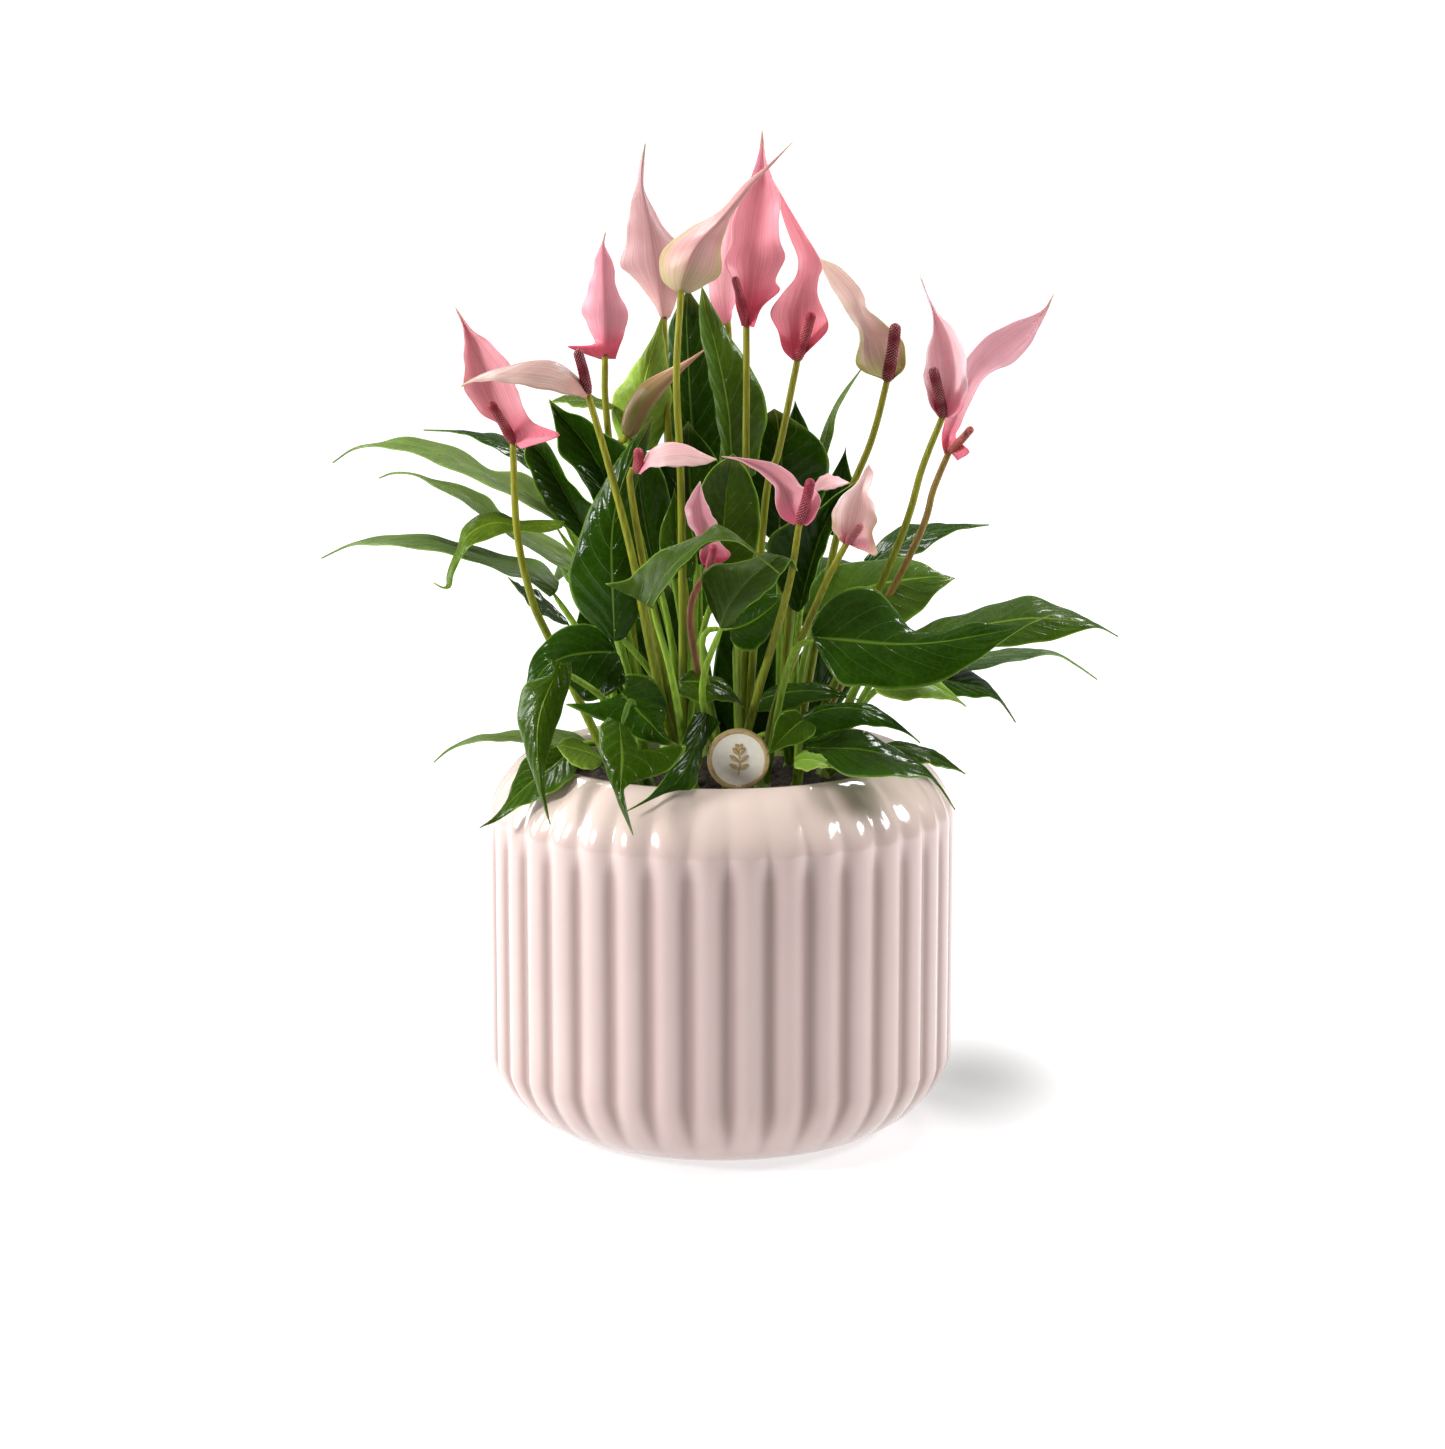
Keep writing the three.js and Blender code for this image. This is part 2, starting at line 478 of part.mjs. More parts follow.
    [[-77.5, 140.5, -81.5], [-76.8, 140.5, -83], [-76, 140.5, -82.5]],
    [[-74.7, 132.5, -84]],
  ],
  L45: [
    [[-72, 167.5, -34], [-66, 165, -36], [-62, 160, -42]],
    [[-79, 165, -36], [-73, 158.5, -44], [-65, 153.5, -58]],
    [[-86.5, 161, -40], [-80, 153.5, -50], [-72, 148, -64]],
    [[-90.7, 151.5, -46], [-86, 148.5, -52], [-79.5, 144, -62]],
    [[-94.3, 142, -52], [-92.5, 142.3, -54], [-88.5, 140, -60]],
    [[-99.5, 135.3, -55], [-99, 135.5, -56], [-98, 134, -57]],
    [[-105.7, 130.8, -56]],
  ],
  L46: [
    [[-57, 169, 24], [-58, 167, 20], [-60, 165.5, 16]],
    [[-67, 174.5, 30], [-70, 170.5, 20], [-72, 167.5, 10]],
    [[-80, 175, 32], [-83, 171.5, 20], [-84, 168.8, 9]],
    [[-94, 173.8, 30], [-96, 171.7, 20], [-97, 169.8, 12]],
    [[-107, 171.9, 25], [-108, 170.7, 20], [-108, 169.1, 15]],
    [[-118, 166.8, 21.5], [-118, 166.5, 20], [-117.5, 166, 18.5]],
    [[-125.5, 160.2, 20]],
  ],
  L47: [
    [[-53, 163.5, -50], [-52, 162, -52], [-51.5, 160, -52]],
    [[-58, 168, -46], [-57, 164.5, -50], [-56, 157, -55]],
    [[-64.5, 171.3, -46], [-64, 166.5, -50], [-63.5, 158.5, -55]],
    [[-69, 170.3, -48], [-68.5, 167.5, -50], [-68.5, 163, -53]],
    [[-71.5, 167.5, -50]],
  ],
  F01: [
    [[-91, 301, -27], [-89.5, 301, -26], [-86, 298, -30]],
    [[-93, 304, -28], [-90, 304, -26], [-69, 304, -38]],
    [[-96, 309, -29], [-92, 309, -25.5], [-81, 309.5, -33]],
    [[-104, 314.5, -31], [-95.5, 316, -25], [-85, 317, -32]],
    [[-110, 324, -31], [-99.5, 325, -24], [-88, 325, -31]],
    [[-110, 335, -29], [-103, 334, -23], [-91, 335, -30]],
    [[-110, 345, -26], [-107, 343.5, -22], [-99, 344, -26]],
    [[-110.5, 351, -23], [-109.5, 350, -21.5], [-106.5, 349.5, -23]],
    [[-113.5, 359, -20]],
  ],
  F02: [
    [[-57.5, 321, -46], [-57, 321.5, -52], [-58, 320, -56]],
    [[-62, 327, -42], [-62, 329, -53], [-65, 321.5, -64]],
    [[-72, 333, -40], [-71, 335, -54], [-75, 323.5, -68]],
    [[-82, 333.5, -42], [-81, 335.5, -56], [-85, 325.5, -69]],
    [[-92, 332, -46], [-91, 333.5, -57], [-95, 327, -67]],
    [[-101, 330, -51], [-100, 331, -58], [-103, 327.3, -63]],
    [[-107, 327.8, -55], [-106.5, 328, -58], [-107.5, 326.6, -60]],
    [[-111.5, 325, -58]],
  ],
  F03: [
    [[-52, 337, 26], [-49.7, 337, 24], [-45, 336.8, 26]],
    [[-66, 342.3, 20], [-49.6, 341, 24], [-43.6, 341.5, 26]],
    [[-54, 343.5, 27], [-49.6, 344, 24], [-42, 346, 28]],
    [[-57.5, 352, 31], [-49.8, 352, 23.5], [-40, 353, 31]],
    [[-59.3, 358, 31], [-49.9, 358, 23], [-40.8, 360, 31]],
    [[-56.8, 366.5, 29], [-50, 366, 23], [-44.6, 366.5, 29]],
    [[-54.5, 374, 27], [-50.2, 374, 23], [-45.3, 374, 27]],
    [[-53.5, 380, 25], [-50.2, 380, 22.5], [-46.9, 380, 25]],
    [[-50.9, 386, 22.5], [-50.2, 386, 22], [-49.7, 386, 22.5]],
    [[-49, 391.5, 21]],
  ],
  F04: [
    [[-25.5, 354, 46], [-24.3, 353, 45], [-21.5, 355, 46]],
    [[-30, 363, 50], [-25.6, 362, 45], [-19, 362, 50]],
    [[-39, 373, 54], [-27, 372, 45], [-16, 371, 54]],
    [[-43, 378, 55], [-28.2, 380, 45], [-15, 380, 55]],
    [[-40.3, 387, 53], [-29.5, 388, 45.5], [-18.5, 386, 53]],
    [[-39.5, 396, 51], [-31, 397, 46], [-25.3, 395, 51]],
    [[-38, 404, 50], [-32.6, 405, 47], [-30, 403, 50]],
    [[-35.6, 412, 49.5], [-33.6, 412, 48], [-32.9, 410, 49.5]],
    [[-34.3, 420, 50], [-33.4, 420, 49], [-32.6, 420, 50]],
    [[-32, 429, 50]],
  ],
  F05: [
    [[-20, 366, -5], [-17, 365.5, -6], [-13, 365, -5]],
    [[-24.5, 370.5, 1], [-16.5, 370, -9], [-7, 368, -1]],
    [[-26.5, 376, 4], [-14.5, 376, -12], [-1.2, 372, 2]],
    [[-25, 382, 6], [-12, 382, -13], [0.3, 378, 3]],
    [[-20, 388, 6], [-8.5, 387.5, -13], [0.3, 385, 2]],
    [[-12.5, 393.5, 4], [-4.5, 391.5, -12], [1.5, 391, -2]],
    [[-5, 396.5, 0], [0, 396.5, -10], [4.5, 397.5, -6]],
    [[3, 403.5, -4], [5.5, 403, -9], [8.3, 403.5, -8]],
    [[11, 412.3, -7], [12.5, 411.5, -9], [14, 411.5, -9]],
    [[19.5, 419, -9], [20, 418.5, -9.5], [20.8, 418.2, -9.6]],
    [[30.5, 429, -10]],
  ],
  F06: [
    [[9, 351, 16], [11, 351, 18], [14, 350.5, 14]],
    [[7.5, 357, 13], [11.8, 356, 18], [17.5, 359, 14]],
    [[6.5, 362, 13], [12.6, 361, 18.5], [25.5, 366, 8]],
    [[4.5, 372, 13], [13.8, 370, 19.5], [23.3, 371, 14]],
    [[1.8, 379, 14], [15, 379, 20.5], [27.8, 380, 15]],
    [[4.5, 387, 16], [16.2, 388, 21], [25.2, 387, 16]],
    [[5, 396, 17], [17.1, 397, 21.5], [25, 397, 17]],
    [[8.5, 405, 18], [17.8, 406, 22], [25, 406.5, 18]],
    [[12.5, 414, 19], [18.1, 415, 22], [21.8, 414.5, 19.5]],
    [[16, 424, 21.5], [18.2, 423, 22.5], [18.9, 423, 21.5]],
    [[17.5, 434.5, 24]],
  ],
  F07: [
    [[31, 336.5, 10], [33, 336.5, 12], [36, 339, 9]],
    [[26.5, 341.5, 8], [33.4, 342, 13], [41.5, 343.7, 7]],
    [[24.3, 349, 8], [33.8, 349, 15], [45.8, 350, 7]],
    [[21.5, 357, 12], [34.3, 357, 18], [44.6, 357, 11]],
    [[26, 364.5, 18], [35.5, 365, 22], [41.3, 365, 18]],
    [[32, 372, 24], [37, 372.5, 26], [42, 371.5, 24]],
    [[33, 379, 28], [37.5, 379, 31], [43.6, 376.5, 28]],
    [[30, 388, 32], [35, 387, 35], [40, 384, 33]],
    [[26.8, 396, 36], [30.3, 396, 38], [34, 393.5, 37]],
    [[24, 406, 40], [25.3, 406, 41], [26.8, 405.5, 41]],
    [[19.5, 418, 46]],
  ],
  F08: [
    [[68, 329.2, 28], [71.5, 327.5, 30], [74, 328, 28]],
    [[62.5, 330.5, 27], [70, 330.5, 33], [78, 332, 27]],
    [[58.6, 334.5, 27], [68.5, 335, 36], [79.5, 336.5, 27]],
    [[58.2, 339.5, 29], [66.8, 340.5, 38], [79, 341.5, 28]],
    [[60, 345, 32], [65, 346, 40], [76, 347, 31]],
    [[59, 349, 36], [62.8, 351, 42], [70, 352.5, 36]],
    [[55.5, 354.5, 42], [60, 357.5, 45], [63, 358, 42]],
    [[50.8, 362, 46], [56.5, 364.5, 48], [61.3, 364, 46]],
    [[46.8, 368.5, 49], [51.5, 370.5, 51], [56.5, 371, 49]],
    [[44, 374, 52], [46.5, 375.5, 53], [50, 376.8, 52]],
    [[42.5, 380, 55]],
  ],
  F09: [
    [[93.5, 312, -2], [95.5, 312, 0], [99, 311, -3]],
    [[91, 316, -5], [96.2, 316.5, 1], [104, 315.5, -6]],
    [[88.6, 321.5, -7], [96.8, 322, 2], [105.5, 321.5, -8]],
    [[87.3, 329, -7], [97, 329.5, 3], [105.7, 329, -8]],
    [[88, 337, -6], [95.8, 338, 3.5], [105, 337.5, -7]],
    [[90, 346, -4], [93.7, 346, 3.5], [102.3, 346, -5]],
    [[91, 353, -1], [91.9, 353, 3.5], [97, 352.8, -1.5]],
    [[90, 358.5, 2], [90.5, 358.5, 3.5], [92.3, 358, 2]],
    [[87.8, 365, 3.5], [88, 365, 4], [88.4, 365, 3.6]],
    [[85.3, 372.5, 5]],
  ],
  F10: [
    [[96.5, 296, 20], [98.5, 297, 22], [102, 293, 16]],
    [[95.5, 300, 20], [98.3, 300, 22], [107.5, 297, 12]],
    [[95.3, 305, 21], [98.5, 305, 23], [101.2, 303, 20]],
    [[97, 312, 23], [100.5, 312, 26], [103.5, 309, 23]],
    [[99.5, 320, 26], [103.5, 320, 29], [106.5, 316, 26]],
    [[102.5, 329, 28], [107.5, 328, 31], [111.5, 326.5, 28]],
    [[106, 338, 30], [113, 335, 33], [118, 332, 30]],
    [[114, 346.3, 31], [120.5, 342, 34], [126, 335.5, 31]],
    [[123.5, 352, 32], [128.5, 348.3, 34.5], [132.3, 342.5, 32]],
    [[132, 355, 33], [134.5, 353.5, 34], [136.3, 350, 33]],
    [[138.5, 358.5, 34], [139, 358, 34.5], [139.6, 356.8, 34]],
    [[142.7, 365, 35]],
  ],
  F12: [
    [[-37.5, 288, -50], [-36, 287.5, -52], [-34.5, 287, -55]],
    [[-34, 291, -46], [-33.2, 291, -53], [-32, 289.5, -60]],
    [[-30.5, 296.5, -44], [-29.5, 297, -54], [-27, 290.3, -64]],
    [[-24, 299.3, -44], [-22.5, 300.2, -55], [-20, 290.4, -66]],
    [[-15.5, 298.6, -47], [-14.5, 299.2, -56], [-12.5, 290.6, -64]],
    [[-8.5, 295.5, -51], [-8, 296, -57], [-7, 291.2, -61]],
    [[-1.8, 293.3, -58]],
  ],
  F13: [
    [[31.5, 265, -63], [34, 265.5, -62], [37, 264.5, -64]],
    [[27, 268, -64], [32.3, 269, -60], [41, 268.5, -66]],
    [[23.7, 273, -63], [30.5, 273.5, -58], [43, 275, -67]],
    [[24, 279, -61], [28.8, 278.5, -56.5], [40.5, 280.3, -64]],
    [[22.5, 282.5, -60], [26.5, 283, -56], [34.5, 282, -60]],
    [[18.5, 286.5, -58], [22.5, 287.3, -55.5], [30, 288, -58]],
    [[13, 290.2, -57], [16.5, 290.8, -55], [21, 292.2, -57]],
    [[7.5, 293.2, -56], [9, 293.3, -55], [11, 293.8, -56]],
    [[0.5, 294.8, -54]],
  ],
  F14: [
    [[53, 257, -48], [54.5, 257, -46], [60, 254.5, -52]],
    [[51, 259, -50], [56, 259.5, -45], [67.5, 251.5, -54]],
    [[48.7, 263, -50], [57.5, 264, -43], [65.8, 260.5, -50]],
    [[48.1, 268, -50], [58.7, 269, -42.5], [67.4, 267, -50]],
    [[50, 274.5, -48], [59.7, 275, -42], [66.5, 273, -48]],
    [[54.5, 279.5, -45], [60.6, 280, -42], [63.8, 279, -45]],
    [[59, 283.5, -43], [62, 284.5, -41.5], [65.3, 284, -43]],
    [[61.5, 288, -42], [63.5, 288, -41.5], [66, 287.5, -42]],
    [[63.8, 291.5, -42]],
  ],
  F15: [
    [[-8, 248, -31], [-5, 247, -30], [-1, 247.5, -32]],
    [[-9, 251, -32], [-5.3, 251, -30], [4.2, 252, -34]],
    [[-8.5, 255, -32], [-6, 256, -29.5], [-0.5, 258, -33]],
    [[-10.5, 260, -33], [-7, 262, -29], [-1, 264, -33]],
    [[-14, 266, -34], [-8.3, 269, -28.5], [-3.5, 269, -33]],
    [[-15.3, 271.5, -33], [-9, 274, -28.5], [-6, 274, -32]],
    [[-13, 277.5, -31], [-9.5, 279, -29], [-7.8, 279, -30]],
    [[-8.8, 284, -30]],
  ],
  F17: [
    [[0, 350.5, 50], [3, 352, 50], [4.5, 354, 50]],
    [[-3, 358, 52], [2.5, 358, 50], [5, 358, 52]],
    [[-5, 366, 55], [2, 366, 50], [8, 366, 55]],
    [[-6, 375, 56], [2, 376, 50], [10, 376, 56]],
    [[-4, 385, 55], [3, 386, 51], [10, 386, 55]],
    [[0, 394, 54], [4.5, 395, 52], [9, 395, 54]],
    [[4, 402, 54], [6, 402, 53], [8, 402, 54]],
    [[8.5, 410, 55]],
  ],
  F18: [
    [[38, 279, 24], [38, 278, 22], [38.5, 277, 20]],
    [[41, 283.5, 26], [42, 281, 22], [42.5, 279.8, 18]],
    [[45, 287, 27], [46.5, 283.5, 20.5], [47, 280.3, 16]],
    [[50, 286, 23], [51, 284, 17], [51, 281.5, 13]],
    [[55.8, 283.2, 11]],
  ],
};

// The rolled bud: name, crown, base, middle and tip, greatest radius, stem.
const BUD = ["16", "P", [-40.5, 304, 8], [-30, 322, 7], [-7.3, 340.5, 3], 5.4, [[-42, 285, 22]]];

// The tag: centre of its disc, as seen.
const TAG_CENTRE = [7.7, 161.6, -63];

// Half outlines as [place on midrib, edge along, edge out], from the notch at the stem to near the tip.
const OUTLINES = {
  leaf: [
    [0.0, -0.07, 0.3],
    [0.06, -0.07, 0.74],
    [0.2, 0.15, 1.0],
    [0.43, 0.46, 0.82],
    [0.66, 0.7, 0.42],
    [0.86, 0.89, 0.11],
  ],
  wide: [
    [0.0, -0.05, 0.32],
    [0.06, -0.03, 0.76],
    [0.24, 0.22, 1.0],
    [0.46, 0.48, 0.92],
    [0.68, 0.7, 0.6],
    [0.87, 0.89, 0.2],
  ],
  round: [
    [0.0, -0.05, 0.34],
    [0.08, 0.0, 0.8],
    [0.28, 0.28, 1.0],
    [0.5, 0.52, 0.96],
    [0.72, 0.75, 0.76],
    [0.9, 0.93, 0.4],
  ],
  long: [
    [0.0, 0.0, 0.3],
    [0.1, 0.08, 0.74],
    [0.28, 0.27, 1.0],
    [0.5, 0.52, 0.84],
    [0.7, 0.72, 0.48],
    [0.87, 0.89, 0.16],
  ],
  tail: [
    [0.0, -0.06, 0.34],
    [0.06, -0.05, 0.78],
    [0.2, 0.16, 1.0],
    [0.4, 0.42, 0.68],
    [0.62, 0.64, 0.3],
    [0.84, 0.86, 0.1],
  ],
  sheath: [
    [0.0, -0.03, 0.28],
    [0.05, -0.02, 0.68],
    [0.15, 0.12, 0.95],
    [0.3, 0.3, 1.0],
    [0.5, 0.52, 0.74],
    [0.7, 0.73, 0.32],
    [0.87, 0.89, 0.1],
  ],
  full: [
    [0.0, -0.03, 0.28],
    [0.05, -0.02, 0.64],
    [0.15, 0.12, 0.9],
    [0.3, 0.3, 1.0],
    [0.5, 0.52, 0.86],
    [0.7, 0.72, 0.5],
    [0.87, 0.89, 0.16],
  ],
  hooked: [
    [0.0, -0.03, 0.3],
    [0.05, 0.0, 0.72],
    [0.13, 0.12, 0.98],
    [0.28, 0.28, 1.0],
    [0.44, 0.45, 0.52],
    [0.66, 0.67, 0.24],
    [0.86, 0.87, 0.1],
  ],
};

const wasm = await Module();
wasm.setup();

function seen(place) {
  const scale = 1 + place[2] / EYE_DISTANCE;
  return new THREE.Vector3(place[0] * scale, place[2], EYE_HEIGHT + (place[1] - EYE_HEIGHT) * scale);
}

function geometryOf(points, faces) {
  const flat = new Float32Array(points.length * 3);
  points.forEach((p, i) => p.toArray(flat, i * 3));
  const geometry = new THREE.BufferGeometry();
  geometry.setAttribute("position", new THREE.BufferAttribute(flat, 3));
  geometry.setIndex(faces.flat());
  return geometry;
}

function solid(geometry) {
  const bare = geometry.clone();
  bare.deleteAttribute("normal");
  bare.deleteAttribute("uv");
  const merged = mergeVertices(bare, 1e-4);
  const made = new wasm.Manifold(
    new wasm.Mesh({
      numProp: 3,
      vertProperties: merged.attributes.position.array,
      triVerts: new Uint32Array(merged.index.array),
    }),
  );
  return made;
}

function geometryFrom(made) {
  const mesh = made.getMesh();
  const geometry = new THREE.BufferGeometry();
  geometry.setAttribute("position", new THREE.BufferAttribute(new Float32Array(mesh.vertProperties), 3));
  geometry.setIndex(new THREE.BufferAttribute(new Uint32Array(mesh.triVerts), 1));
  return geometry;
}

function largest(made) {
  const pieces = made.decompose();
  pieces.sort((one, other) => other.volume() - one.volume());
  return pieces[0];
}

// A round tube of changing radius through the given points, closed by flat ends.
function tube(path, radii, sides, steps) {
  const curve = new THREE.CatmullRomCurve3(path, false, "centripetal");
  const points = [];
  const faces = [];
  const start = curve.getTangentAt(0);
  let across = new THREE.Vector3(0, 1, 0);
  if (Math.abs(start.y) > 0.9) across.set(1, 0, 0);
  for (let i = 0; i <= steps; i++) {
    const t = i / steps;
    const tangent = curve.getTangentAt(t);
    const centre = curve.getPointAt(t);
    across = across.clone().addScaledVector(tangent, -across.dot(tangent)).normalize();
    const other = tangent.clone().cross(across);
    const radius = radii(t);
    for (let k = 0; k < sides; k++) {
      const angle = (k / sides) * 2 * Math.PI;
      const swell = typeof radius === "number" ? radius : radius[k % radius.length];
      const point = centre.clone();
      point.addScaledVector(across, Math.cos(angle) * swell);
      point.addScaledVector(other, Math.sin(angle) * swell);
      points.push(point);
    }
  }
  for (let i = 0; i < steps; i++) {
    for (let k = 0; k < sides; k++) {
      const a = i * sides + k;
      const b = i * sides + ((k + 1) % sides);
      faces.push([a, b, b + sides], [a, b + sides, a + sides]);
    }
  }
  const last = steps * sides;
  for (let k = 1; k < sides - 1; k++) {
    faces.push([0, k + 1, k], [last, last + k, last + k + 1]);
  }
  return geometryOf(points, faces);
}

// A thin blade spanned by its midrib and its two widest places, with equal triangles on both faces.
function blade(base, middle, tip, left, right, outline, columns, wave, thickness, grow) {
  const start = seen(base);
  const end = seen(tip);
  const control = seen(middle).multiplyScalar(2).addScaledVector(start, -0.5).addScaledVector(end, -0.5);
  const rib = new THREE.QuadraticBezierCurve3(start, control, end);
  const widest = rib.getPoint(0.3);
  const sides = [seen(left).sub(widest), seen(right).sub(widest)];
  const length = start.distanceTo(end);
  const onRib = (t) => {
    const inside = Math.min(Math.max(t, 0), 1);
    return rib.getPoint(inside).addScaledVector(rib.getTangent(inside), (t - inside) * length);
  };
  const facing = (t) => {
    const tangent = rib.getTangent(Math.min(Math.max(t, 0), 1));
    return tangent.cross(sides[0].clone().sub(sides[1])).normalize();
  };
  const place = (row, v) => {
    const side = sides[v < 0 ? 0 : 1];
    const out = Math.abs(v);
    const along = row[0] + (row[1] - row[0]) * out;
    const reach = row[2] * out;
    const point = onRib(along).addScaledVector(side, reach);
    const ripple = Math.sin(along * 12 + (v < 0 ? 0.6 : 2.4)) * wave * reach * reach;
    const arch = 0.05 * side.length() * Math.sin(Math.PI * Math.min(out, 1)) * row[2];
    return point.addScaledVector(facing(along), ripple + arch);
  };
  const width = columns * 2 + 1;
  const sheet = [];
  for (const row of outline) {
    for (let j = 0; j < width; j++) sheet.push(place(row, (j - columns) / columns));
  }
  sheet.push(end);
  return shell(sheet, outline.length, columns, thickness, grow, rib.getPoint(0.4));
}

// The solid between two faces of a sheet of rows and its tip, with equal triangles on both faces.
function shell(sheet, count, columns, thickness, grow, centre) {
  const width = columns * 2 + 1;
  const apex = sheet.length - 1;
  const triangles = [];
  for (let i = 0; i < count - 1; i++) {
    for (let j = 0; j < width - 1; j++) {
      const a = i * width + j;
      const c = a + width;
      if (j < columns) triangles.push([a, c + 1, a + 1], [a, c, c + 1]);
      else triangles.push([a, c, a + 1], [a + 1, c, c + 1]);
    }
  }
  const lastRow = (count - 1) * width;
  for (let j = 0; j < width - 1; j++) triangles.push([lastRow + j, apex, lastRow + j + 1]);
  const normals = sheet.map(() => new THREE.Vector3());
  for (const [a, b, c] of triangles) {
    const normal = sheet[b].clone().sub(sheet[a]).cross(sheet[c].clone().sub(sheet[a]));
    normals[a].add(normal);
    normals[b].add(normal);
    normals[c].add(normal);
  }
  normals.forEach((normal) => normal.normalize());
  if (grow) {
    sheet.forEach((point) => point.addScaledVector(point.clone().sub(centre).normalize(), grow));
  }
  const points = [];
  sheet.forEach((point, i) => points.push(point.clone().addScaledVector(normals[i], thickness / 2)));
  sheet.forEach((point, i) => points.push(point.clone().addScaledVector(normals[i], -thickness / 2)));
  const under = sheet.length;
  const faces = [];
  for (const [a, b, c] of triangles) faces.push([a, b, c], [under + a, under + c, under + b]);
  const edge = [];
  for (let j = 0; j < width; j++) edge.push(j);
  for (let i = 1; i < count; i++) edge.push(i * width + width - 1);
  edge.push(apex);
  for (let i = count - 1; i > 0; i--) edge.push(i * width);
  for (let k = 0; k < edge.length; k++) {
    const a = edge[k];
    const b = edge[(k + 1) % edge.length];
    faces.push([a, b, under + b], [a, under + b, under + a]);
  }
  return geometryOf(points, faces);
}

// A thin blade drawn by rows of left edge, midrib and right edge, half keeled and half bowed between them.
function drawn(rows, columns, thickness, grow) {
  const sheet = [];
  const full = rows.slice(0, -1).map((row) => row.map(seen));
  for (const [left, rib, right] of full) {
    for (let j = -columns; j <= columns; j++) {
      const v = j / columns;
      const keeled = rib.clone().lerp(v < 0 ? left : right, Math.abs(v));
      const bowed = rib.clone().addScaledVector(right.clone().sub(left), v / 2);
      bowed.addScaledVector(left.clone().add(right).multiplyScalar(0.5).sub(rib), v * v);
      sheet.push(keeled.lerp(bowed, BOWED_SHARE));
    }
  }
  sheet.push(seen(rows[rows.length - 1][0]));
  const centre = full[Math.floor(full.length * 0.4)][1];
  return shell(sheet, full.length, columns, thickness, grow, centre);
}

function outward(geometry) {
  const made = solid(geometry);
  if (made.volume() >= 0) return made;
  const index = geometry.index.array;
  const turned = [];
  for (let i = 0; i < index.length; i += 3) turned.push(index[i], index[i + 2], index[i + 1]);
  geometry.setIndex(turned);
  return solid(geometry);
}

function crownFoot(name) {
  const at = CROWNS.find((crown) => crown[0] === name)[1];
  return new THREE.Vector3(at[0], at[1], 0);
}

function crown(name, margin) {
  const foot = crownFoot(name);
  const low = foot.clone().setZ(CROWN_BOTTOM - margin);
  const high = foot.clone().setZ(CROWN_TOP + margin);
  const radius = (t) => CROWN_RADIUS * (1 - 0.25 * t) + margin;
  return solid(tube([low, high], radius, CROWN_SIDES, 1));
}

// A stem from its crown through the given places, listed from the top down, to its top.
function stemPath(name, top, places) {
  const foot = crownFoot(name);
  const path = [foot.clone().setZ(CROWN_TOP - 9)];
  const fixed = places.map(seen).reverse();
  if (fixed.length === 0) {
    const rise = foot.clone().lerp(top, 0.4);
    rise.z = CROWN_TOP + (top.z - CROWN_TOP) * 0.6;
    fixed.push(rise);
  }
  path.push(...fixed, top);
  return path;
}

function stem(path, radius, steps) {
  const taper = (t) => radius * (1.25 - 0.4 * t);
  return solid(tube(path, taper, STEM_SIDES, steps));
}

function potProfile() {
  const rows = [[POT_FOOT_RADIUS, 0, 0]];
  for (const degrees of [35, 62, 90]) {
    const t = (degrees * Math.PI) / 180;
    const out = Math.sin(t) ** (2 / FOOT_CURVE);
    const up = 1 - Math.cos(t) ** (2 / FOOT_CURVE);
    rows.push([POT_FOOT_RADIUS + (POT_RADIUS - POT_FOOT_RADIUS) * out, POT_FOOT_HEIGHT * up, out * out]);
  }
  for (const degrees of [0, 32, 60, 90]) {
    const t = (degrees * Math.PI) / 180;
    const out = Math.cos(t) ** (2 / SHOULDER_CURVE);
    const up = Math.sin(t) ** (2 / SHOULDER_CURVE);
    const radius = POT_CREST_RADIUS + (POT_RADIUS - POT_CREST_RADIUS) * out;
    const height = POT_SHOULDER_START + (POT_HEIGHT - POT_SHOULDER_START) * up;
    rows.push([radius, height, Math.max(out, 0) ** 0.8]);
  }
  return rows;
}

function cavityProfile(gap) {
  const wide = POT_RADIUS - FLUTE_DEPTH - POT_WALL;
  return [
    [POT_MOUTH_RADIUS - gap, POT_HEIGHT - 4.5],
    [POT_MOUTH_RADIUS - gap, SOIL_EDGE],
    [wide - gap, POT_SHOULDER_START - 12],
    [wide - gap, POT_FOOT_HEIGHT + 4],
    [wide - gap - 16, POT_FLOOR + gap],
  ];
}

function ring(points, radius, height, count, shape) {
  const first = points.length;
  for (let k = 0; k < count; k++) {
    const angle = (k / count) * 2 * Math.PI;
    const r = shape ? shape(angle, radius) : radius;
    points.push(new THREE.Vector3(Math.sin(angle) * r, -Math.cos(angle) * r, height));
  }
  return first;
}

function band(faces, low, high, count) {
  for (let k = 0; k < count; k++) {
    const next = (k + 1) % count;
    faces.push([low + k, low + next, high + next], [low + k, high + next, high + k]);
  }
}

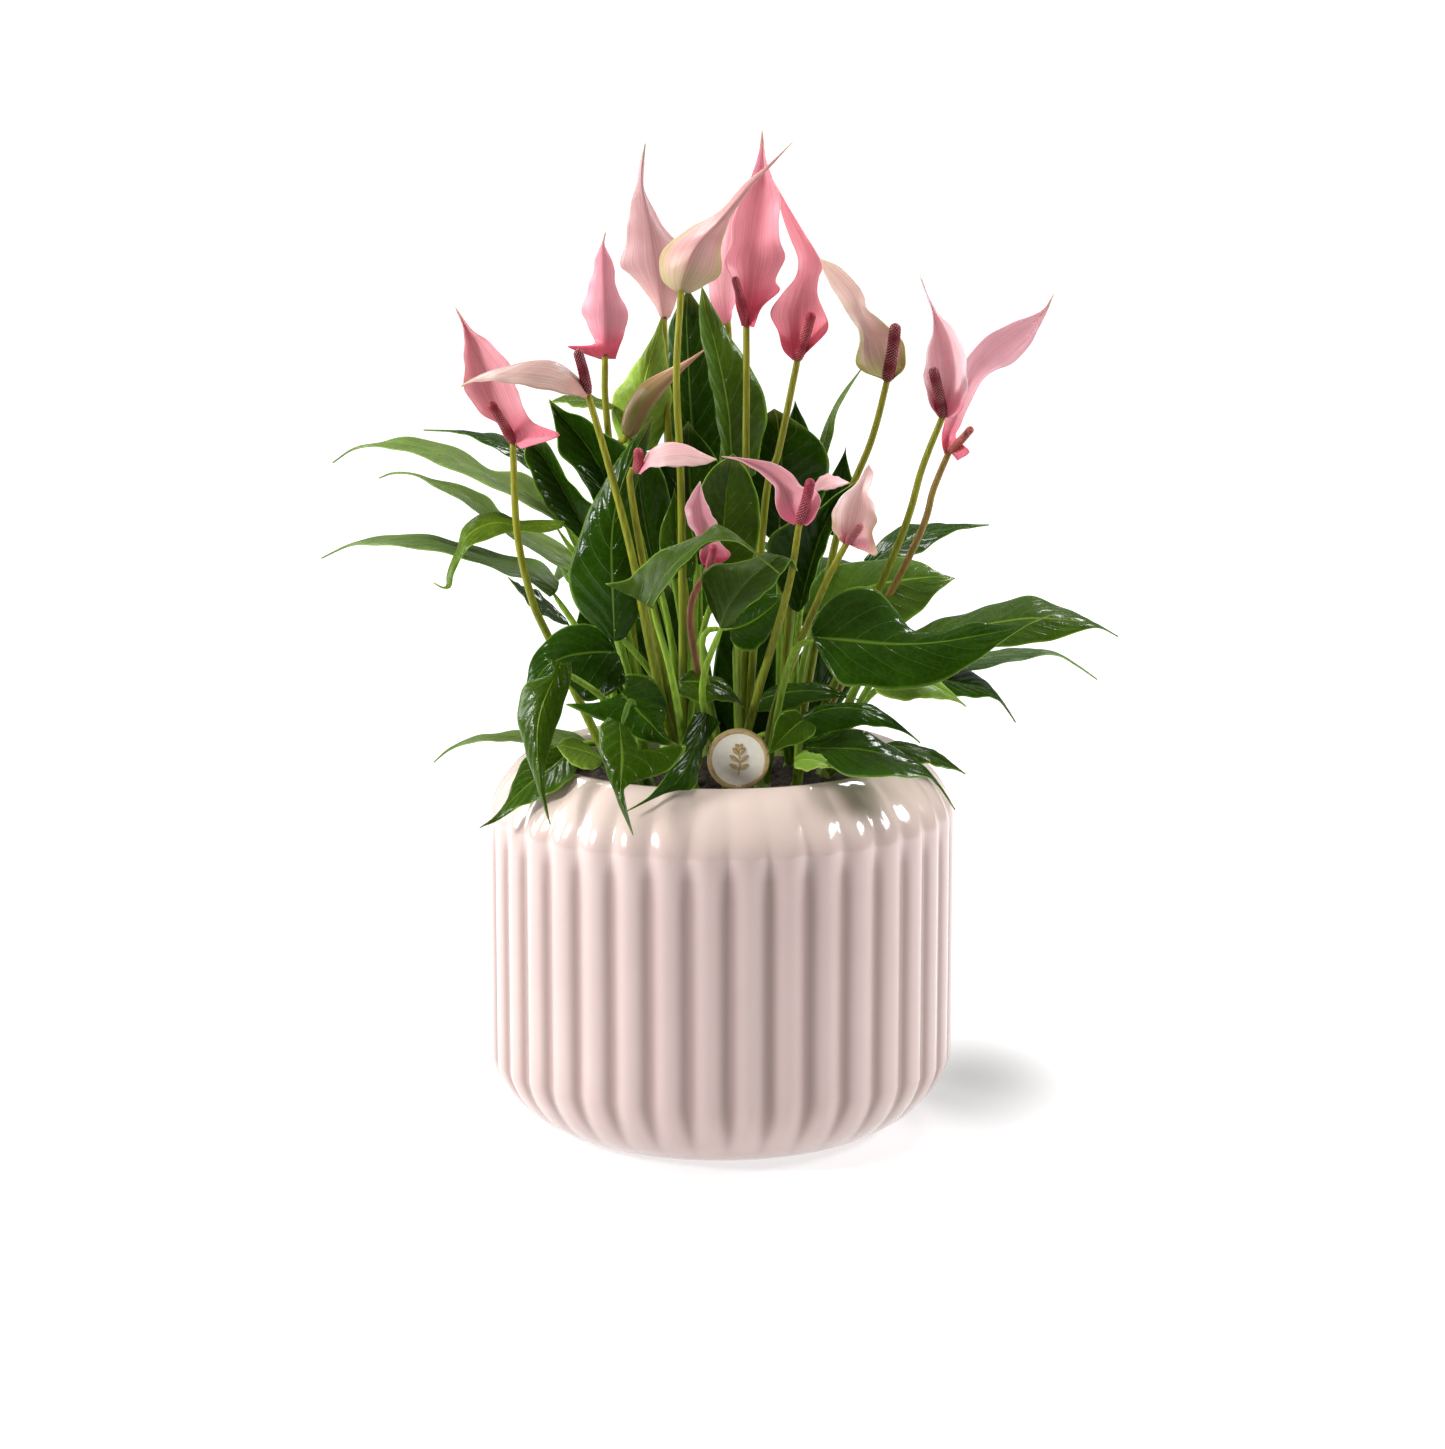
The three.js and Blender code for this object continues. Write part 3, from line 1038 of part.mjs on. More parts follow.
function pot() {
  const points = [];
  const faces = [];
  const round = FLUTES * FLUTE_STEPS;
  const rings = potProfile().map(([radius, height, fluted]) =>
    ring(points, radius, height, round, (angle, r) => {
      const swell = Math.abs(Math.sin((angle * FLUTES) / 2));
      return r - FLUTE_DEPTH * fluted * (1 - swell);
    }),
  );
  for (let i = 0; i < rings.length - 1; i++) band(faces, rings[i], rings[i + 1], round);
  const inner = cavityProfile(0).map(([radius, height]) => ring(points, radius, height, FLUTES));
  const crest = rings[rings.length - 1];
  for (let k = 0; k < FLUTES; k++) {
    const here = inner[0] + k;
    const next = inner[0] + ((k + 1) % FLUTES);
    const at = (i) => crest + ((k * FLUTE_STEPS + i) % round);
    faces.push([at(0), at(1), here], [at(1), at(2), here], [at(2), next, here], [at(2), at(3), next]);
  }
  for (let i = 0; i < inner.length - 1; i++) band(faces, inner[i], inner[i + 1], FLUTES);
  points.push(new THREE.Vector3(0, 0, 0), new THREE.Vector3(0, 0, POT_FLOOR));
  const foot = points.length - 2;
  const floor = points.length - 1;
  for (let k = 0; k < round; k++) faces.push([foot, rings[0] + ((k + 1) % round), rings[0] + k]);
  const last = inner[inner.length - 1];
  for (let k = 0; k < FLUTES; k++) faces.push([floor, last + k, last + ((k + 1) % FLUTES)]);
  return outward(geometryOf(points, faces).rotateZ(FLUTE_TURN));
}

function soil() {
  const points = [];
  const faces = [];
  const wall = cavityProfile(CLEARANCE + 0.1).slice(1).reverse();
  const top = [
    [POT_MOUTH_RADIUS * 0.72, SOIL_EDGE + 3],
    [POT_MOUTH_RADIUS * 0.36, SOIL_CENTRE - 1],
  ];
  const rings = [...wall, ...top].map(([radius, height]) => ring(points, radius, height, SOIL_SIDES));
  for (let i = 0; i < rings.length - 1; i++) band(faces, rings[i], rings[i + 1], SOIL_SIDES);
  points.push(new THREE.Vector3(0, 0, POT_FLOOR + CLEARANCE + 0.1), new THREE.Vector3(0, 0, SOIL_CENTRE));
  const low = points.length - 2;
  const high = points.length - 1;
  const last = rings[rings.length - 1];
  for (let k = 0; k < SOIL_SIDES; k++) {
    const next = (k + 1) % SOIL_SIDES;
    faces.push([low, rings[0] + next, rings[0] + k], [high, last + k, last + next]);
  }
  return outward(geometryOf(points, faces));
}

function tagGeometry(margin) {
  const centre = seen(TAG_CENTRE);
  const disc = new THREE.LatheGeometry(
    [
      new THREE.Vector2(0, -TAG_THICKNESS / 2 - margin),
      new THREE.Vector2(TAG_RADIUS + margin, -TAG_THICKNESS / 2 - margin),
      new THREE.Vector2(TAG_RADIUS + margin, TAG_THICKNESS / 2 + margin),
      new THREE.Vector2(TAG_RADIUS - TAG_RIM, TAG_THICKNESS / 2 + margin),
      new THREE.Vector2(TAG_RADIUS - TAG_RIM - 0.4, TAG_THICKNESS / 2 + margin - 0.4),
      new THREE.Vector2(0, TAG_THICKNESS / 2 + margin - 0.4),
    ],
    20,
  );
  disc.rotateX(Math.PI);
  disc.translate(centre.x, centre.y, centre.z);
  return disc;
}

function tag(margin) {
  const centre = seen(TAG_CENTRE);
  const height = centre.z - 120 + 2 * margin;
  const pick = new THREE.BoxGeometry(3.2 + 2 * margin, 1.2 + 2 * margin, height);
  pick.translate(centre.x, centre.y, 120 - margin + height / 2);
  return outward(tagGeometry(margin)).add(solid(pick));
}

// A spadix with rows of florets raised on it.
function spadix(base, top, radius, rows) {
  const start = seen(base);
  const end = seen(top);
  const sway = start.clone().lerp(end, 0.5);
  sway.x += 0.4;
  const swell = (t) => radius * Math.min(1, 0.8 + 1.2 * t) * Math.sqrt(Math.max(0.12, 1 - t ** 4));
  const relief = (t) => {
    const odd = Math.round(t * rows) % 2;
    const size = swell(t);
    return odd ? [size * 1.1, size * 0.92] : [size * 0.92, size * 1.1];
  };
  return solid(tube([start, sway, end], relief, 6, rows));
}

function material(name, roughness) {
  return new THREE.MeshStandardMaterial({ color: COLOURS[name], roughness, metalness: 0 });
}

function named(name, made, look) {
  const mesh = new THREE.Mesh(geometryFrom(made), look);
  mesh.geometry.computeVertexNormals();
  mesh.name = name;
  return mesh;
}

const plant = new THREE.Group();
const looks = {
  pot: material("pot", 0.2),
  soil: material("soil", 0.95),
  leaf: material("leaf", 0.4),
  spathe: material("spathe", 0.35),
  spadix: material("spadix", 0.6),
  tag: material("tag", 0.5),
};

const shoots = new Map(CROWNS.map(([name]) => [name, crown(name, 0)]));

function addLeaf(home, leaf, join, places) {
  const stalk = stem(stemPath(home, join, places), PETIOLE_RADIUS, places.length > 0 ? 4 : 3);
  shoots.set(home, shoots.get(home).add(stalk).add(leaf));
}

for (const [, home, form, columns, base, middle, tip, left, right, wave, places] of LEAVES) {
  const shape = [base, middle, tip, left, right, OUTLINES[form], columns, wave];
  const leaf = outward(blade(...shape, BLADE_THICKNESS, 0));
  addLeaf(home, leaf, seen(base).lerp(seen(middle), 0.1), places);
}

for (const [name, home, columns, places] of FRONT_LEAVES) {
  const rows = ROWS[name];
  const leaf = outward(drawn(rows, columns, BLADE_THICKNESS, 0));
  addLeaf(home, leaf, seen(rows[0][1]).lerp(seen(rows[1][1]), 0.4), places);
}

for (const [number, home, crest, radius, places] of FLOWERS) {
  const rows = ROWS["F" + number];
  const sheath = outward(drawn(rows, 2, BLADE_THICKNESS, 0));
  const clear = outward(drawn(rows, 2, BLADE_THICKNESS + 2 * CLEARANCE, CLEARANCE));
  const path = stemPath(home, seen(rows[0][1]), places);
  const stalk = largest(stem(path, STALK_RADIUS, STALK_STEPS).subtract(clear));
  const wide = stem(path, STALK_RADIUS + CLEARANCE * 1.2, STALK_STEPS);
  const spike = spadix(rows[0][1], crest, radius, SPADIX_ROWS);
  shoots.set(home, shoots.get(home).add(stalk));
  plant.add(named("spathe_" + number, sheath, looks.spathe));
  plant.add(named("spadix_" + number, largest(spike.subtract(clear).subtract(wide)), looks.spadix));
}

const [budNumber, budHome, budBase, budMiddle, budTip, budRadius, budPlaces] = BUD;
const budSwell = (t) => 0.7 + budRadius * Math.sin(Math.PI * Math.min(1, 0.12 + 0.86 * t)) ** 0.9;
const bud = solid(tube([budBase, budMiddle, budTip].map(seen), budSwell, 8, 7));
const budPath = stemPath(budHome, seen(budBase), budPlaces);
const budClear = solid(tube([budBase, budMiddle, budTip].map(seen), (t) => budSwell(t) + CLEARANCE, 8, 7));
const budStalk = largest(stem(budPath, STALK_RADIUS, STALK_STEPS).subtract(budClear));
const budWide = stem(budPath, STALK_RADIUS + CLEARANCE, STALK_STEPS);
shoots.set(budHome, shoots.get(budHome).add(budStalk));
plant.add(named("spathe_" + budNumber, largest(bud.subtract(budWide)), looks.spathe));

let ground = soil().subtract(tag(CLEARANCE));
for (const [name] of CROWNS) ground = ground.subtract(crown(name, CLEARANCE));

plant.add(named("pot", pot(), looks.pot));
plant.add(named("soil", ground, looks.soil));
plant.add(named("tag", tag(0), looks.tag));
for (const [name, made] of shoots) {
  plant.add(named("shoot_" + name, made.asOriginal().simplify(JOIN_TOLERANCE), looks.leaf));
}

export default plant;
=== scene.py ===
# Potted flamingo flower: fine pieces, materials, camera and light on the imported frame.
# Places are worked in millimetres and turned into metres when a mesh is made.
import math

import bpy
import numpy as np
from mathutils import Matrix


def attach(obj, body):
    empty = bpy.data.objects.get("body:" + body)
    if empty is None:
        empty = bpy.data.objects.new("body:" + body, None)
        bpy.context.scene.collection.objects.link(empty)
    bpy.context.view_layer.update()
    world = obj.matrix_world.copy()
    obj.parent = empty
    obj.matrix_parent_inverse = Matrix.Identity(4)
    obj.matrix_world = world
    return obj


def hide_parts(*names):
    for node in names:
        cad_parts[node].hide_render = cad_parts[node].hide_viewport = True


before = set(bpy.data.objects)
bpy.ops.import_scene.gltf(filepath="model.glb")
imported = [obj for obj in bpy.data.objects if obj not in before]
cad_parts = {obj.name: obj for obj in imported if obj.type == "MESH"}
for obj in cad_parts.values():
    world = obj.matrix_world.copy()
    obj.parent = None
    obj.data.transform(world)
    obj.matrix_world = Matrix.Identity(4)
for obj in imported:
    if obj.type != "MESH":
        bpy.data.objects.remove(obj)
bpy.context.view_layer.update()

MM_PER_M = 1000

# Pot
POT_RADIUS = 102
POT_FOOT_RADIUS = 66.6
POT_FOOT_HEIGHT = 33
POT_SHOULDER_START = 138.9
POT_HEIGHT = 165.1
POT_CREST_RADIUS = 80
POT_MOUTH_RADIUS = 73
POT_WALL = 8
POT_FLOOR = 10
FLUTES = 37
FLUTE_DEPTH = 2.5
FLUTE_TURN = math.radians(1.9)
FOOT_CURVE = 1.572
SHOULDER_CURVE = 1.517
LIP_HEIGHT = 4.5
CAVITY_SLOPE = 16
FOOT_ROWS = 22
WALL_ROWS = 12
SHOULDER_ROWS = 26
FLUTE_SAMPLES = 12
FLUTE_ROUNDING = 0.012
# The darker glaze in the flutes, deepened by painted shade, fades between these heights.
GROOVE_SHADE_FADE = (124, 143)

# Soil
SOIL_EDGE = 151
SOIL_CENTRE = 157
SOIL_GRID = (90, 220)

# Crowns, stems and blades
CROWN_RADIUS = 5.2
CROWN_BOTTOM = 122
CROWN_TOP = 161
STEM_START_DEPTH = 9
PETIOLE_RADIUS = 1.5
STALK_RADIUS = 1.65
LEAF_THICKNESS = 0.7
SHEATH_THICKNESS = 0.7
BOWED_SHARE = 0.6
STALK_SINK = 0.8
CURVE_SAMPLES = 400
EDGE_EASE = 0.9
EDGE_THINNING = 0.55
KEEL_ROUNDING = 0.006
SHEET_LEAST_WIDTH = 0.24
BLADE_LEAST_REACH = 0.012
BLADE_WIDEST_AT = 0.3
BLADE_ARCH = 0.05
RIPPLES_ALONG = 12
RIPPLE_PHASES = (0.6, 2.4)
RUFFLES_ALONG = 31
VEINS_ALONG = 9
VEIN_SLANT = 0.3
GROOVE_DEPTH = 0.7
GROOVE_WIDTH = 1.6
# A blade's relief grows from none to full between these half widths.
FULL_RELIEF = (1.0, 9.0)
# Leaves shorter than this get fewer rows and columns.
SMALL_LEAF = 45
SMALL_LEAF_GRID = (34, 19)
LARGE_LEAF_GRID = (56, 27)
LEAF_FRILL = 0.35
LEAF_QUILT = 0.5
SHEATH_GRID = (60, 31)
SHEATH_FRILL = 0.4
SHEATH_QUILT = 0.25
SHEATH_RELIEF = 0.4
FIRST_FRONT_SEED = 40

# Spadices and bud
SPADIX_SIDES = 40
SPADIX_STEP = 0.36
SPADIX_LIFT = 0.7
SPADIX_SWAY = 0.4
FLORETS_AROUND = 10
FLORET_PITCH = 1.5
BUD_SIDES = 40
BUD_STEPS = 60
BUD_SWELL = [[0, 0.06, 0.2, 0.42, 0.6, 0.8, 1], [0.4, 0.75, 1, 0.95, 0.58, 0.2, 0]]

# Tag
TAG_RADIUS = 13.2
TAG_THICKNESS = 1.8
TAG_RIM = 1.6
TAG_SIDES = 96
PICK_BOTTOM = 120
# The sprig's pairs of leaves: height, reach and lean.
SPRIG_LEAVES = ((-4.2, 4.6, 0.5), (-1.2, 5.0, 0.65), (1.9, 4.2, 0.85), (4.2, 3.0, 1.05))

# Places are given as [across, height, behind]: across and height are read in the upright plane
# through the pot's axis from an eye in front of it, and behind is the depth past that plane.
EYE_DISTANCE = 1800
EYE_HEIGHT = 527
EYE_ASIDE = 0.8
EYE_PITCH = 0.192
LENS = 104.42

# Soft lamps: name, place and size in metres, power in watts
LAMPS = [
    ["key_left", (-1.35, -0.6, 0.82), 0.3, 0.3, 20],
    ["side_right", (1.36, -0.05, 0.9), 0.6, 0.3, 17],
    ["back_right", (0.6, 1.0, 1.4), 0.4, 0.3, 10],
    ["back_left", (-0.7, 1.1, 1.5), 0.5, 0.5, 12],
    ["side_left", (-1.6, 0.35, 0.7), 0.8, 0.7, 20],
    ["overhead", (-0.2, -0.1, 2.1), 1.3, 1.1, 26],
]
LAMP_TARGET = (0, 0, 0.22)
LAMPS_WITHOUT_SHINE = ["overhead"]

# The surroundings are dimmer in front of the object than beside, behind and above it.
WORLD_HORIZON = 0.2
WORLD_OVERHEAD = 0.3
WORLD_FRONT = 0.04

# The floor glows like a light table, but less in a soft patch behind the pot's right side, which is a painted
# shadow.
FLOOR_GLOW = 0.67
FLOOR_GLOW_FAR = 1.03
FLOOR_GLOW_FRONT = 0.04
FLOOR_GLOW_IN_SHADOW_PATCH = 0.05
SHADOW_PATCH_MIDDLE = (0.116, 0.073)
SHADOW_PATCH_REACH = (0.047, 0.085)
FLOOR_HALF = 40.0

# A crown is where one leafy shoot stands in the soil: name and [x, y].
CROWNS = [
  ["A", [-31, -38]],
  ["B", [-43, -14]],
  ["C", [-15, -27]],
  ["D", [-12, -44]],
  ["E", [4, -36]],
  ["G", [18, -34]],
  ["H", [32, -46]],
  ["J", [45, -4]],
  ["K", [31, 10]],
  ["M", [-31, 8]],
  ["N", [-42, 28]],
  ["O", [-16, -8]],
  ["P", [-12, 14]],
  ["Q", [-8, 34]],
  ["R", [10, 2]],
  ["T", [26, 32]],
  ["U", [-24, 48]],
  ["V", [8, 52]],
]

# Leaves behind and inside: name, crown, outline, then base, middle and tip of the midrib, widest left
# and right, wave, and the places that the stem passes on its way down.
LEAVES = [
  ["L5", "N", "long", [-66, 222, 42], [-80, 231, 44], [-92, 242, 46],
    [-79, 235, 54], [-77, 225, 34], 1.0, []],
  ["L9", "Q", "long", [-45, 316, 42], [-60, 319, 44], [-74, 318, 46],
    [-58, 322, 56], [-58, 316, 32], 1.0, []],
  ["L13", "T", "leaf", [46, 262, 62], [50, 280, 63], [54, 299, 62],
    [42, 275, 64], [58, 276, 60], 1.0, []],
  ["L15", "T", "long", [34, 288, 76], [33, 304, 75], [32, 319, 72],
    [27, 299, 78], [40, 298, 76], 1.0, []],
  ["L19", "E", "wide", [4, 219, -40], [16, 224, -36], [28, 235, -30],
    [10, 233, -22], [16, 211, -48], 1.0, [[-8, 212, -42]]],
  ["L21", "O", "leaf", [-17, 243, 0], [-19, 262, 0], [-20, 281, 0],
    [-27, 258, 0], [-11, 259, 0], 1.0, []],
  ["L22", "O", "wide", [-28, 244, 5], [-34, 275, 4], [-36, 301, 2],
    [-46, 274, 3], [-22, 277, 6], 1.5, []],
  ["L23", "P", "wide", [-10, 248, 24], [-13, 282, 24], [-14, 310, 24],
    [-30, 272, 22], [4, 275, 22], 1.5, []],
  ["L30", "J", "leaf", [70, 197, -46], [90, 195, -48], [107, 185, -50],
    [84, 202, -37], [84, 188, -57], 1.0, [[60, 195, -16]]],
  ["L34", "H", "leaf", [34, 179, -34], [60, 184, -34], [87, 169, -38],
    [54, 187, -22], [54, 174, -44], 1.5, []],
  ["L35", "J", "long", [72, 168, -16], [90, 164, -20], [107, 155, -22],
    [86, 168, -10], [86, 160, -30], 0.8, []],
  ["L36", "K", "leaf", [17, 188, -12], [38, 192, -8], [60, 188, -4],
    [34, 196, 4], [34, 185, -16], 1.0, []],
  ["L37", "H", "leaf", [36, 179, -58], [29, 173, -62], [20, 163, -68],
    [25, 181, -58], [38, 170, -64], 0.8, []],
  ["L38", "H", "leaf", [33, 161, -66], [42, 161, -68], [51, 157, -71],
    [40, 165, -62], [40, 157, -74], 0.8, []],
  ["L39", "E", "leaf", [-17, 196, -38], [-2, 194, -40], [11, 184, -42],
    [-5, 200, -30], [-5, 187, -50], 1.0, []],
  ["L49", "U", "leaf", [-30, 222, 60], [-50, 248, 96], [-76, 236, 134],
    [-68, 242, 80], [-28, 248, 100], 2.0, []],
  ["L50", "V", "leaf", [4, 232, 68], [6, 258, 102], [10, 246, 146],
    [-22, 248, 90], [30, 248, 92], 2.0, []],
  ["L51", "V", "leaf", [34, 222, 68], [54, 246, 98], [80, 234, 132],
    [30, 246, 104], [70, 238, 82], 2.0, []],
  ["L52", "U", "leaf", [-24, 190, 70], [-30, 205, 102], [-42, 185, 138],
    [-54, 199, 90], [-8, 205, 98], 2.0, []],
  ["L53", "V", "leaf", [22, 190, 74], [32, 205, 106], [44, 182, 140],
    [10, 205, 102], [54, 198, 92], 2.0, []],
  ["L54", "U", "wide", [-18, 172, 58], [-22, 206, 60], [-24, 242, 62],
    [-40, 200, 58], [-4, 200, 58], 1.0, []],
  ["L55", "V", "wide", [10, 172, 62], [14, 208, 62], [10, 248, 62],
    [-3, 202, 60], [30, 202, 60], 1.0, []],
  ["L56", "V", "wide", [30, 170, 60], [46, 198, 62], [58, 230, 62],
    [32, 204, 60], [56, 192, 60], 1.0, []],
  ["L57", "U", "wide", [-34, 178, 54], [-50, 204, 56], [-60, 234, 58],
    [-58, 200, 56], [-38, 208, 56], 1.0, []],
]

# Leaves in front, drawn by the rows under their name: name, crown, places of the stem.
FRONT_LEAVES = [
  ["L1", "M", [[-48, 225, 8]]],
  ["L2", "N", []],
  ["L3", "M", []],
  ["L4", "B", []],
  ["L6", "N", []],
  ["L7", "M", []],
  ["L8", "P", []],
  ["L10", "Q", []],
  ["L11a", "Q", []],
  ["L11b", "R", []],
  ["L12", "T", []],
  ["L14", "T", []],
  ["L16", "C", []],
  ["L17", "D", [[-21, 197, -63]]],
  ["L18", "E", [[-8, 190, -52]]],
  ["L20", "O", []],
  ["L24", "K", []],
  ["L25", "K", []],
  ["L26", "G", [[30, 205, -42]]],
  ["L27", "J", [[66, 196, -6]]],
  ["L28", "J", []],
  ["L29", "J", [[60, 195, -14]]],
  ["L32", "T", []],
  ["L33", "H", []],
  ["L40", "D", []],
  ["L41", "A", [[-38, 186, -66]]],
  ["L42", "A", []],
  ["L43", "A", []],
  ["L44", "A", []],
  ["L45", "B", []],
  ["L46", "N", []],
  ["L47", "B", []],
]

# Flowers, drawn by the rows under F and their number: number, crown, top and radius of the spadix, and the
# places that the stalk passes on its way down from the spathe.
FLOWERS = [
  ["01", "B", [-99, 318, -42], 2.1, [[-88, 262, -32], [-82, 233, -30], [-74, 214, -16]]],
  ["02", "C", [-61.5, 341, -56], 2.2, [[-48, 290, -52], [-38, 250, -50], [-29, 203, -42]]],
  ["03", "M", [-51, 352, 36], 2, [[-48, 301, 26]]],
  ["04", "Q", [-24, 374, 60], 1.8, [[-22, 300, 44]]],
  ["05", "O", [-6, 382, 10], 1.8, [[-19, 327, -9], [-17, 277, -11]]],
  ["06", "R", [6, 372, 4], 1.85, [[11, 312, 16]]],
  ["07", "R", [39, 357, 2], 2.3, [[25, 297, 12], [19, 272, 10]]],
  ["08", "K", [75, 352, 18], 2.7, [[65, 302, 32], [50, 259, 30]]],
  ["09", "K", [91, 333, -14], 2.4, [[87, 290, 2], [75, 252, 2]]],
  ["10", "K", [108, 307, 3], 1.8, [[92, 281, 18], [82, 252, 14]]],
  ["12", "C", [-35.6, 298.5, -55], 2.1, [[-38, 275, -50]]],
  ["13", "E", [39, 285, -72], 2.2, [[29, 236, -52], [16, 190, -40]]],
  ["14", "G", [60.5, 265, -60], 1.8, [[44, 236, -42], [24, 185, -36]]],
  ["15", "E", [-3, 256, -43], 1.8, [[-13, 220, -32]]],
  ["17", "R", [4, 370, 64], 1.4, [[4, 330, 48]]],
  ["18", "T", [38, 284, 12], 1.2, []],
]

